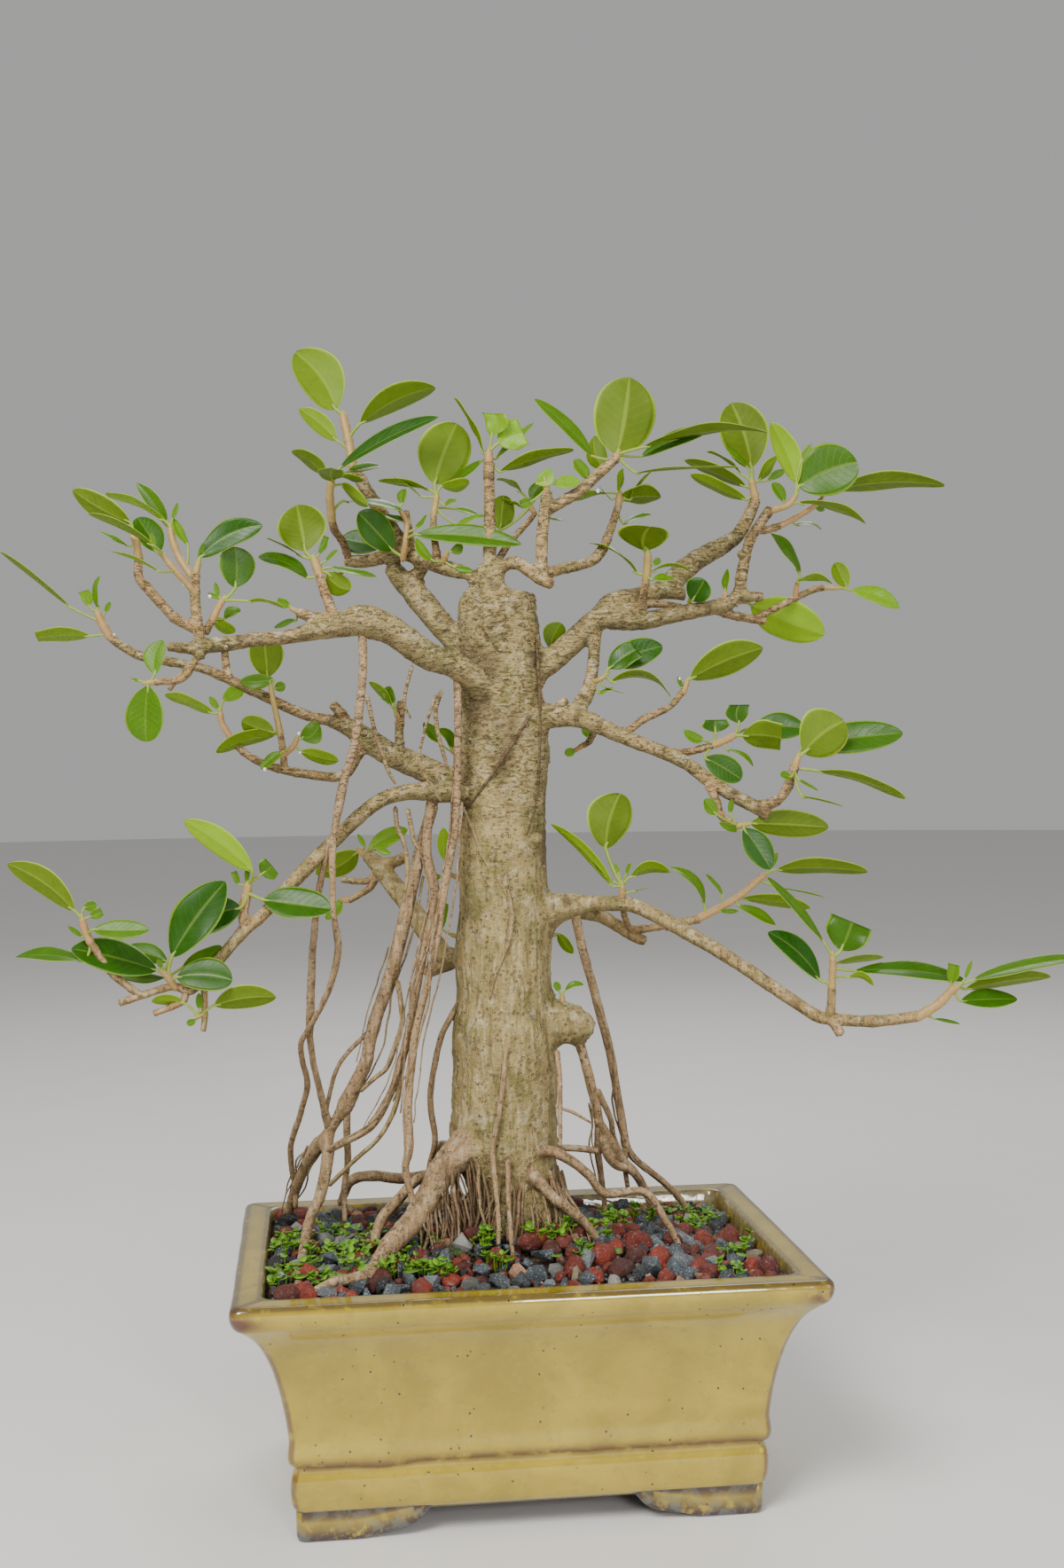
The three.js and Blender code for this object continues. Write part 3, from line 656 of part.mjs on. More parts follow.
// A named node with a material of its own.
function mesh(name, body, { color, roughness, metalness = 0 }) {
  const { vertProperties, triVerts } = body.getMesh();
  const geometry = new THREE.BufferGeometry();
  geometry.setAttribute("position", new THREE.BufferAttribute(new Float32Array(vertProperties), 3));
  geometry.setIndex(new THREE.BufferAttribute(new Uint32Array(triVerts), 1));
  geometry.computeVertexNormals();
  const material = new THREE.MeshStandardMaterial({ color, roughness, metalness, flatShading: true });
  const piece = new THREE.Mesh(geometry, material);
  piece.name = name;
  return piece;
}

// Pot

// A rectangle's outline with its corners cut or rounded.
function roundedRing(halfLength, halfWidth, radius, z) {
  const ring = [];
  const corners = [[1, 1, 0], [-1, 1, 90], [-1, -1, 180], [1, -1, 270]];
  for (const [sideX, sideY, start] of corners) {
    for (let step = 0; step <= CORNER_STEPS; step += 1) {
      const angle = THREE.MathUtils.degToRad(start + (90 * step) / CORNER_STEPS);
      ring.push(new THREE.Vector3(
        sideX * (halfLength - radius) + radius * Math.cos(angle),
        sideY * (halfWidth - radius) + radius * Math.sin(angle),
        z,
      ));
    }
  }
  return ring;
}

// A solid through such rectangles, from a profile of [height, inset from the rim's outer edge].
function rectangleLoft(profile, corner) {
  return solid(loft(profile.map(([z, inset]) => roundedRing(
    POT_LENGTH / 2 - inset,
    POT_WIDTH / 2 - inset,
    corner,
    z,
  ))));
}

// The pot's inside, or what fills it with a clearance. It goes up past the rim, for a clean cut.
function cavity(clearance) {
  const above = 10;
  const walls = INNER_WALL.map(([z, inset], i) => [i === 0 ? z + clearance : z, inset + clearance]);
  const [topHeight, topInset] = walls.at(-1);
  return rectangleLoft([...walls, [topHeight + above, topInset]], INNER_CORNER - clearance);
}

// One wing of a foot, as its outline from the corner inwards, raised to a bracket at its end.
function footWing(length) {
  const top = OUTER_WALL[0][0] + FOOT_BITE;
  const shape = new THREE.Shape();
  shape.moveTo(FOOT_CHAMFER, 0);
  for (const [share, height] of WING_EDGE) shape.lineTo(length * share, height);
  shape.lineTo(length, top);
  shape.lineTo(0, top);
  shape.lineTo(0, FOOT_CHAMFER);
  const geometry = new THREE.ExtrudeGeometry(shape, { depth: FOOT_THICKNESS, bevelEnabled: false });
  geometry.rotateX(Math.PI / 2);
  geometry.translate(0, FOOT_THICKNESS, 0);
  return geometry;
}

// The foot at one corner: the left front one, or its mirror image.
function foot(sideX, sideY) {
  const long = footWing(FOOT_LONG_WING);
  const short = footWing(FOOT_SHORT_WING);
  short.rotateZ(-Math.PI / 2);
  short.scale(1, -1, 1);
  return join([long, short].map((geometry) => {
    geometry.translate(-POT_LENGTH / 2 + FOOT_INSET, -POT_WIDTH / 2 + FOOT_INSET, 0);
    geometry.scale(-sideX, -sideY, 1);
    return solid(geometry);
  }));
}

// The pot: its wall with the four feet, less the inside and the drain holes.
function makePot() {
  const feet = [[-1, -1], [1, -1], [-1, 1], [1, 1]].map(([sideX, sideY]) => foot(sideX, sideY));
  const holes = [-1, 1].map((side) => {
    const hole = new THREE.CylinderGeometry(DRAIN_RADIUS, DRAIN_RADIUS, 4 * FLOOR_UNDERSIDE, HOLE_SIDES);
    hole.rotateX(Math.PI / 2);
    hole.translate(side * DRAIN_OFFSET, 0, FLOOR_UNDERSIDE);
    return solid(hole);
  });
  // The underside is hollowed a little, inside the foot ring.
  const [baseHeight, baseInset] = OUTER_WALL[0];
  const hollow = [FLOOR_UNDERSIDE, baseInset + BASE_MARGIN];
  const profile = [hollow, [baseHeight, baseInset], ...OUTER_WALL.slice(1)];
  const outside = rectangleLoft(profile, OUTER_CORNER);
  return join([outside, ...feet]).subtract(cavity(0)).subtract(join(holes));
}

// A square of crossed plastic bars.
function makeScreen(side) {
  const height = FLOOR_TOP + GAP + SCREEN_THICKNESS / 2;
  const bars = [];
  for (let i = 0; i <= SCREEN_CELLS; i += 1) {
    const offset = (i / SCREEN_CELLS - 0.5) * (SCREEN_SIDE - SCREEN_BAR);
    const across = new THREE.BoxGeometry(SCREEN_SIDE, SCREEN_BAR, SCREEN_THICKNESS);
    const along = new THREE.BoxGeometry(SCREEN_BAR, SCREEN_SIDE, SCREEN_THICKNESS);
    across.translate(side * DRAIN_OFFSET, offset, height);
    along.translate(side * DRAIN_OFFSET + offset, 0, height);
    bars.push(solid(across), solid(along));
  }
  return join(bars);
}

// Branches and roots

// A repeatable draw between 0 and 1.
function makeDraw(seed) {
  let state = seed;
  return () => {
    state = (state * 1664525 + 1013904223) % 4294967296;
    return state / 4294967296;
  };
}

// Leaves out the middle points that lie nearly on the straight line between their neighbours kept.
function withoutNeedless(points) {
  if (points.length < 3) return points;
  const [first, last] = [points[0], points.at(-1)];
  const gaps = points.map((point) => {
    const t = THREE.MathUtils.clamp((point[1] - first[1]) / (last[1] - first[1] || 1), 0, 1);
    const s = THREE.MathUtils.clamp((point[0] - first[0]) / (last[0] - first[0] || 1), 0, 1);
    const along = Math.abs(last[1] - first[1]) > Math.abs(last[0] - first[0]) ? t : s;
    return Math.hypot(...point.map((value, k) => value - THREE.MathUtils.lerp(first[k], last[k], along)));
  });
  const worst = gaps.indexOf(Math.max(...gaps));
  if (gaps[worst] < STRAY) return [first, last];
  return [...withoutNeedless(points.slice(0, worst + 1)), ...withoutNeedless(points.slice(worst)).slice(1)];
}

// A tapering limb through points of [u, w, depth, radius as seen]. Extra makes it fatter and longer.
function limb(points, extra = 0) {
  const path = withoutNeedless(points).map(([u, w, depth, radius]) => ({
    at: seen(u, w, depth),
    radius: radius * depthScale(depth) + extra,
  }));
  const steps = path.slice(1).map(({ at }, i) => at.clone().sub(path[i].at).normalize());
  path[0].at.addScaledVector(steps[0], -extra);
  path.at(-1).at.addScaledVector(steps.at(-1), extra);
  const widest = Math.max(...path.map(({ radius }) => radius)) - extra;
  const sides = LIMB_SIDES.find(([radius]) => widest >= radius)[1];
  const side = new THREE.Vector3(0, 1, 0).cross(steps[0]);
  if (side.length() < NEARLY_ALONG) side.set(1, 0, 0);
  const rings = path.map(({ at, radius }, i) => {
    const along = steps[Math.max(i - 1, 0)].clone().add(steps[Math.min(i, steps.length - 1)]).normalize();
    side.addScaledVector(along, -side.dot(along)).normalize();
    const up = along.clone().cross(side);
    return Array.from({ length: sides }, (_, k) => {
      const angle = (2 * Math.PI * k) / sides;
      return at.clone()
        .addScaledVector(side, radius * Math.cos(angle))
        .addScaledVector(up, radius * Math.sin(angle));
    });
  });
  return solid(loft(rings));
}

// Leaves

// A point part way along a stem, counted in its points.
function alongStem(stem, at) {
  const low = Math.min(Math.floor(at), stem.length - 2);
  const mix = (k) => THREE.MathUtils.lerp(stem[low][k], stem[low + 1][k], at - low);
  return { u: mix(0), w: mix(1), depth: mix(2) };
}

// The share of the half width along a whole blade, which has a tapered base and a rounder tip.
function wholeOutline(t, slenderness) {
  const { widest, base, tip } = slenderness > ROUND_BLADE ? LONG_OUTLINE : ROUND_OUTLINE;
  const reach = t < widest ? (widest - t) / widest : (t - widest) / (1 - widest);
  return (1 - reach ** 2) ** (t < widest ? base : tip);
}

// The same along a blade that was trimmed straight across, down to the share cut at its end.
function trimmedOutline(t, cut) {
  const { widest, base } = TRIMMED_OUTLINE;
  return t < widest
    ? Math.sin((Math.PI / 2) * (t / widest)) ** base
    : THREE.MathUtils.lerp(1, cut, (t - widest) / (1 - widest));
}

// Where a blade's rings stand along it, and how wide each is.
function bladeRings({ width, trimmed, isSmall, slenderness }) {
  if (trimmed > 0) {
    const places = isSmall ? [0.5, 1] : [0.4, 1];
    return places.map((t) => [t, trimmedOutline(t, trimmed)]);
  }
  if (isSmall) return [[0.45, 1]];
  const places = width < LARGE_BLADE ? [0.3, 0.72] : [0.2, 0.52, 0.86];
  return places.map((t) => [t, wholeOutline(t, slenderness)]);
}

// One leaf: [place on the stem, blade base, tip, width, tilt, arch, trimmed end, bow].
// Base and tip are [u, w, depth from the stem]. Tilt turns the upper face from the viewer (0) through
// straight up (90) to the underside (180). Arch lifts the middle, and bow moves it sideways. A trimmed
// end is a share of the width.
function leaf(stem, [place, base, tip, width, tilt, arch = 0, trimmed = 0, bow = 0]) {
  const root = alongStem(stem, place);
  const scale = depthScale(root.depth);
  const origin = seen(root.u, root.w, root.depth);
  const start = seen(base[0], base[1], root.depth + (base[2] ?? 0));
  const end = seen(tip[0], tip[1], root.depth + (tip[2] ?? 0));
  const blade = end.clone().sub(start);
  const length = blade.length();
  const axis = blade.clone().normalize();
  const toViewer = EYE.clone().sub(start).normalize();
  toViewer.addScaledVector(axis, -toViewer.dot(axis)).normalize();
  const upward = axis.clone().cross(toViewer);
  if (upward.z < 0) upward.negate();
  const turn = THREE.MathUtils.degToRad(tilt);
  const face = toViewer.multiplyScalar(Math.cos(turn)).addScaledVector(upward, Math.sin(turn));
  const sideways = axis.clone().cross(face);
  if (sideways.z < 0) sideways.negate();
  const isSmall = width < SMALL_BLADE || length < 2 * SMALL_BLADE;
  const thickness = (isSmall ? SMALL_THICKNESS : BLADE_THICKNESS) * scale;

  // Three corners: the two edges of the flat upper face, and the ridge of the underside.
  const section = (centre, along, half, depth) => {
    const across = face.clone().cross(along);
    if (across.length() < NEARLY_ALONG) across.copy(face).cross(axis);
    across.normalize();
    const out = along.clone().cross(across).normalize();
    return [
      centre.clone().addScaledVector(across, -half).addScaledVector(out, depth * FACE_SHARE),
      centre.clone().addScaledVector(across, half).addScaledVector(out, depth * FACE_SHARE),
      centre.clone().addScaledVector(out, depth * (FACE_SHARE - 1)),
    ];
  };
  const middle = (t) => start.clone()
    .addScaledVector(blade, t)
    .addScaledVector(face, arch * Math.sin(Math.PI * t))
    .addScaledVector(sideways, bow * Math.sin(Math.PI * t));

  // A blade that sits close to its stem, or turns back, has no ring of its own where it starts.
  const petiole = start.clone().sub(origin);
  const isClose = petiole.length() < CLOSE_BLADE || isSmall;
  petiole.normalize();
  const joinsStem = isClose || petiole.dot(axis) < TURNED_BACK;
  const neck = PETIOLE_RADIUS * scale;
  const neckSection = (at, along) => section(at, along, neck, neck * NECK_DEPTH);
  const rings = [];
  if (joinsStem) {
    const firstPart = start.clone().addScaledVector(blade, 0.3);
    rings.push(neckSection(origin, firstPart.sub(origin).normalize()));
  } else {
    rings.push(neckSection(origin, petiole), neckSection(start, petiole.clone().add(axis).normalize()));
  }
  for (const [t, share] of bladeRings({ width, trimmed, isSmall, slenderness: length / width })) {
    rings.push(section(middle(t), axis, (width / 2) * scale * share, thickness));
  }
  if (trimmed === 0) rings.push([end]);
  return solid(loft(rings));
}

// A stem with its leaves fused to it.
function makeShoot({ stem, leaves }) {
  const blades = leaves.filter(([, , , width]) => width >= SMALLEST_BLADE);
  return join([limb(stem), ...blades.map((row) => leaf(stem, row))]);
}

// Soil

// The ground's height: a little lower at the back right, with a mound round the trunk.
function groundHeight(x, y) {
  const lower = THREE.MathUtils.smoothstep(x / POT_LENGTH + y / POT_WIDTH, ...SLOPE_REACH);
  const mound = Math.exp(-((x - TRUNK_FOOT[0]) ** 2 + (y - TRUNK_FOOT[1]) ** 2) / (2 * MOUND_SPREAD ** 2));
  return SOIL_HEIGHT - SOIL_SLOPE * lower + MOUND_HEIGHT * mound;
}

// The place on the ground that is seen at u, w.
function groundAt(u, w) {
  let height = SOIL_HEIGHT;
  let place = null;
  for (let round = 0; round < GROUND_ROUNDS; round += 1) {
    const depth = VIEWER.distance * ((VIEWER.height - height) / (VIEWER.height - w) - 1);
    place = seen(u, w, depth);
    height = groundHeight(place.x, place.y);
  }
  return place;
}

// Fine gravel as relief: a jittered grid whose points stand higher or lower by a seeded draw.
function gravelBlock() {
  const draw = makeDraw(GRAVEL_SEED);
  const columns = Math.round(POT_LENGTH / GRAVEL_PITCH);
  const rows = Math.round(POT_WIDTH / GRAVEL_PITCH);
  const points = [];
  for (let row = 0; row <= rows; row += 1) {
    for (let column = 0; column <= columns; column += 1) {
      const jitter = () => (draw() - 0.5) * GRAVEL_PITCH * GRAVEL_JITTER;
      const x = -POT_LENGTH / 2 + column * GRAVEL_PITCH + (row % 2) * GRAVEL_PITCH * 0.5 + jitter();
      const y = -POT_WIDTH / 2 + row * GRAVEL_PITCH + jitter();
      const isHigh = (column + 2 * row) % 3 !== 0;
      const lift = GRAVEL_RELIEF * (isHigh ? 1 + draw() : -0.6 - draw() * 0.7);
      points.push(new THREE.Vector3(x, y, groundHeight(x, y) + lift));
    }
  }
  const wide = columns + 1;
  const top = points.length;
  const triangles = [];
  for (let row = 0; row < rows; row += 1) {
    for (let column = 0; column < columns; column += 1) {
      const a = row * wide + column;
      const [b, c, d] = [a + 1, a + wide + 1, a + wide];
      if (row % 2 === 0) triangles.push([a, b, d], [b, c, d]);
      else triangles.push([a, b, c], [a, c, d]);
    }
  }
  const border = [];
  for (let column = 0; column < columns; column += 1) border.push(column);
  for (let row = 0; row < rows; row += 1) border.push(row * wide + columns);
  for (let column = columns; column > 0; column -= 1) border.push(rows * wide + column);
  for (let row = rows; row > 0; row -= 1) border.push(row * wide);
  border.forEach((i) => points.push(points[i].clone().setZ(0)));
  const middle = points.push(new THREE.Vector3()) - 1;
  border.forEach((upper, i) => {
    const next = (i + 1) % border.length;
    triangles.push([upper, top + i, top + next], [upper, top + next, border[next]]);
    triangles.push([middle, top + next, top + i]);
  });
  return solid(closedGeometry(points, triangles));
}

// A bigger stone: a blunt, four-sided lump, sunk by half.
function stone([u, w, size], draw) {
  const place = groundAt(u, w);
  const spin = draw() * Math.PI;
  const rings = STONE_RINGS.map(([share, height]) => Array.from({ length: 4 }, (_, k) => {
    const angle = spin + ((k + draw() * 0.4) * Math.PI) / 2;
    const reach = (size / 2) * share * (0.85 + draw() * 0.3);
    const corner = new THREE.Vector3(reach * Math.cos(angle), reach * Math.sin(angle), size * height);
    return corner.add(place);
  }));
  return solid(loft(rings));
}

// A seedling weed: two broad blades that stand up from one foot.
function weed([u, w, size], draw) {
  const place = groundAt(u, w);
  const spin = draw() * Math.PI * 2;
  return [0, 1].map((k) => {
    const angle = spin + k * (1.6 + draw() * 1.4);
    const out = new THREE.Vector3(Math.cos(angle), Math.sin(angle), 0);
    const across = new THREE.Vector3(-Math.sin(angle), Math.cos(angle), 0);
    const section = (reach, height, half, thickness) => [[-half, 0], [half, 0], [0, -thickness]]
      .map(([sideways, drop]) => place.clone()
        .addScaledVector(out, reach)
        .addScaledVector(across, sideways)
        .add(new THREE.Vector3(0, 0, height + drop)));
    const foot = section(0, -WEED_DEPTH, 1.2, 1.6);
    const middle = section(size * 0.5, size * 0.7, size * 0.36, 1.2);
    const tip = place.clone().addScaledVector(out, size * 0.95);
    tip.z += size * 0.75;
    return solid(loft([foot, middle, [tip]]));
  });
}

// The soil: the ground with its stones and weeds, less the wood and the room for the screens.
function makeSoil(fatWood, screens) {
  const draw = makeDraw(STONE_SEED);
  const stones = STONES.map((row) => stone(row, draw));
  const weeds = WEEDS.flatMap((row) => weed(row, draw));
  const recesses = screens.map((side) => {
    const room = SCREEN_SIDE + 2 * GAP;
    const recess = new THREE.BoxGeometry(room, room, 2 * (SCREEN_THICKNESS + 2 * GAP));
    recess.translate(side * DRAIN_OFFSET, 0, FLOOR_TOP);
    return solid(recess);
  });
  const ground = join([gravelBlock(), ...stones, ...weeds]).intersect(cavity(GAP));
  return mainBody(ground.subtract(join([fatWood, ...recesses])));
}

// Assembly

const LOOKS = {
  pot: { color: 0xa8923c, roughness: 0.18 },
  screen: { color: 0x202422, roughness: 0.6 },
  soil: { color: 0x5d6166, roughness: 0.9 },
  wood: { color: 0xa88a66, roughness: 0.8 },
  leaf: { color: 0x4f7f2a, roughness: 0.35 },
  youngLeaf: { color: 0x9dbb3c, roughness: 0.4 },
};
const YOUNG_SHOOTS = ["top_left", "crown_left", "left_top", "right_top", "left_twig", "left_tip"];

const woodParts = Object.values({ ...BRANCHES, ...ROOTS });
const wood = mainBody(join(woodParts.map((points) => limb(points))));
const fatWood = join(woodParts.map((points) => limb(points, GAP)));

const tree = new THREE.Group();
tree.add(mesh("pot", makePot(), LOOKS.pot));
tree.add(mesh("drainage_screen_left", makeScreen(-1), LOOKS.screen));
tree.add(mesh("drainage_screen_right", makeScreen(1), LOOKS.screen));
tree.add(mesh("soil", makeSoil(fatWood, [-1, 1]), LOOKS.soil));
tree.add(mesh("wood", wood, LOOKS.wood));
for (const [name, shoot] of Object.entries(SHOOTS)) {
  const look = YOUNG_SHOOTS.includes(name) ? LOOKS.youngLeaf : LOOKS.leaf;
  tree.add(mesh(`shoot_${name}`, mainBody(makeShoot(shoot).subtract(fatWood)), look));
}

export default tree;
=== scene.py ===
"""The looks of a chinese banyan bonsai in its glazed pot: bark, roots, leaves, gravel, weeds and glaze."""
import itertools
import math
import random

import bmesh
import bpy
import numpy as np
from mathutils import Matrix, Vector, bvhtree, kdtree, noise


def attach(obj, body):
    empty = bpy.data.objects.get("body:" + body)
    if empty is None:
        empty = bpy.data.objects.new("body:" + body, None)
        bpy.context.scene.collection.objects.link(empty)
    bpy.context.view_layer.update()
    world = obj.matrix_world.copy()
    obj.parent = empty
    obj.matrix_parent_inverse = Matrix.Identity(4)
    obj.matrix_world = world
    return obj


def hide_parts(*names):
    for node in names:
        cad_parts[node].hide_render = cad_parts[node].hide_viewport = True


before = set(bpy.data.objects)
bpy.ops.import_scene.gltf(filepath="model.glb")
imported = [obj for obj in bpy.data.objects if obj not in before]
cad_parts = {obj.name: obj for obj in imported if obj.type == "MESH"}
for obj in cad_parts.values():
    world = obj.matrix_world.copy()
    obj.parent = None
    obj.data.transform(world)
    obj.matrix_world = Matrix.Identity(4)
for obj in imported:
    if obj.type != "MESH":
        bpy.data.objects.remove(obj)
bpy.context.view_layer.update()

MM = 0.001

# The pot, in millimetres, as in the frame: outline points are [height, inset from the rim's outer edge].
POT_LENGTH = 300
POT_WIDTH = 211.9
POT_HEIGHT = 129
FLOOR_UNDERSIDE = 13.5
FLOOR_TOP = 20.5
DRAIN_RADIUS = 9
DRAIN_OFFSET = 62
OUTER_WALL = [
    [15.5, 29.2], [17, 27.8], [20, 26.8], [24, 26.3], [28, 26.2], [32, 26.5], [35.5, 27.4], [38, 27.7],
    [39.6, 26.8], [41.2, 25.4], [44, 24.9], [47, 25.1], [52, 25.6], [59, 24.9], [66, 23.9], [75, 22.2],
    [84, 20], [93, 17.3], [101, 14], [107.5, 10.3], [112, 6.4], [115, 3.2], [116.6, 1.2], [118.2, -0.1],
    [120.5, -1.1], [123, -1.7], [125.5, -1.7], [127.6, -1], [128.8, 0.3],
]
INNER_WALL = [
    [128.9, 13.4], [127.6, 14.4], [120, 15.3], [110, 16.7], [93, 25], [75, 29.5], [52, 33],
    [FLOOR_TOP, 34.5],
]
RIM_INSETS = (0.9, 1.6, 2.4, 3.4, 7, 10.6, 11.8, 12.6)
UNDERSIDE_INSET = 31.7
# The spacing of the rings up the outer wall.
WALL_SPACING = 1.2
# Heights on the outer wall where the glaze sags, thins or is marked by a line, and the line inside the rim.
SAG_HEIGHT = 39
STEP_EDGE = 40.2
LIP_UNDERSIDE = 121
LIP_LINE = 128.2
INNER_LINE_INSET = 12.4
OUTER_CORNER = 5.5
INNER_CORNER = 8
# Steps round each corner, and along a long and a short side.
CORNER_STEPS = 6
EDGE_STEPS = (64, 44)
CUTTER_LENGTH = 50
FOOT_INSET = 29
FOOT_THICKNESS = 13
FOOT_LONG_WING = 69
FOOT_SHORT_WING = 47
FOOT_TOP = 15.8
FOOT_RADIUS = 5.0
# A foot's section, from outside to inside: share of its thickness and rise above the lower edge.
FOOT_SECTION = [(0, 16), (0, 10), (0, 6), (0.01, 3), (0.05, 0.9), (0.16, 0), (0.88, 0), (1, 1.5), (1, 16)]
# A wing's lower edge: share of its length and height.
WING_EDGE = [(0, 0), (0.3, 0), (0.48, 0.1), (0.62, 2.2), (0.8, 4.4), (0.9, 7.6), (0.96, 11.5), (1, 15.4)]
WING_SPACING = 1.6

# The soil.
SOIL_HEIGHT = 125.5
SOIL_SLOPE = 6
MOUND_HEIGHT = 15
MOUND_SPREAD = 40
TRUNK_FOOT = (8, 4)
TRUNK_CLEARANCE = 24
# A stone's distance from the pot's wall, and from another stone, as shares of their sizes.
STONE_MARGIN = 0.42
STONE_ROOM = 0.36
# The pot's wall takes up this much at the soil; the bed of earth reaches just into it, and tapers downwards.
WALL_AT_SOIL = 16
BED_MARGIN = 15.2
BED_SPACING = 2.2
BED_TAPER = (0.82, 0.78)
# Seedling leaves.
DISC_SIDES = 8

# Where the plant was measured from: u to the right, w up and depth away, on a plane through the trunk.
VIEWER_RIGHT = 12.7
VIEWER_DISTANCE = 979.7
VIEWER_HEIGHT = 392.2
TURN = math.radians(7.07)
PITCH = 0.0118
ROLL = -0.0118
LENS = 40.7

# Limbs thinner than this stay swept tubes, up to a little thicker so that the two overlap.
THIN_LIMB = 2.6
THIN_OVERLAP = 0.45
# The thick ones have this many sides and are run together with voxels of this size.
LIMB_SIDES = 20
VOXEL = 1.45
# Points whose distances are worked out at once.
BLOCK = 4000
# Creases between limbs of this radius and more are rounded, over this reach.
CREASE_RADIUS = 4.2
CREASE_REACH = (0.8, 7.0)
CREASE_ROUNDS = 40
# Over these heights the trunk's ridges turn into cracks.
RIDGES_END = (270, 400)
# Limbs of this radius and more carry buds.
BUDDED_RADIUS = 4
# The share of a limb's rows with a bud.
TRUNK_BUDS = 0.35
BRANCH_BUDS = 0.1
# Hair roots round the trunk's foot start at this height and above; others hang beside the biggest root.
SKIRT_HAIRS = 46
SKIRT_LOW = 146
CURTAIN_HAIRS = 44
HAIRY_ROOTS = ("prop_root", "crossing_root", "front_root", "left_foot", "knob_root", "right_aerial")
# The spacing of the rings along a green stem.
STEM_SPACING = 1.3
# Where the vertices of a blade stand across it, from margin to margin.
BLADE_COLUMNS = (-1, -0.78, -0.5, -0.22, -0.055, 0.055, 0.22, 0.5, 0.78, 1)
LEAF_GLOW = {"Subsurface_Radius": (0.0006, 0.0012, 0.0003), "Subsurface_Scale": 1.0}
# The depths where a latex drop's cut end is looked for, and how far it may be from the place seen.
LATEX_DEPTHS = range(-60, 61, 3)
LATEX_REACH = 6

SEEDS = {"gravel": 7, "weeds": 21, "moss": 33, "hair_roots": 17, "buds": 5, "latex": 3}


# Tables, measured in the photo: points of a limb are [u, w, depth, radius].

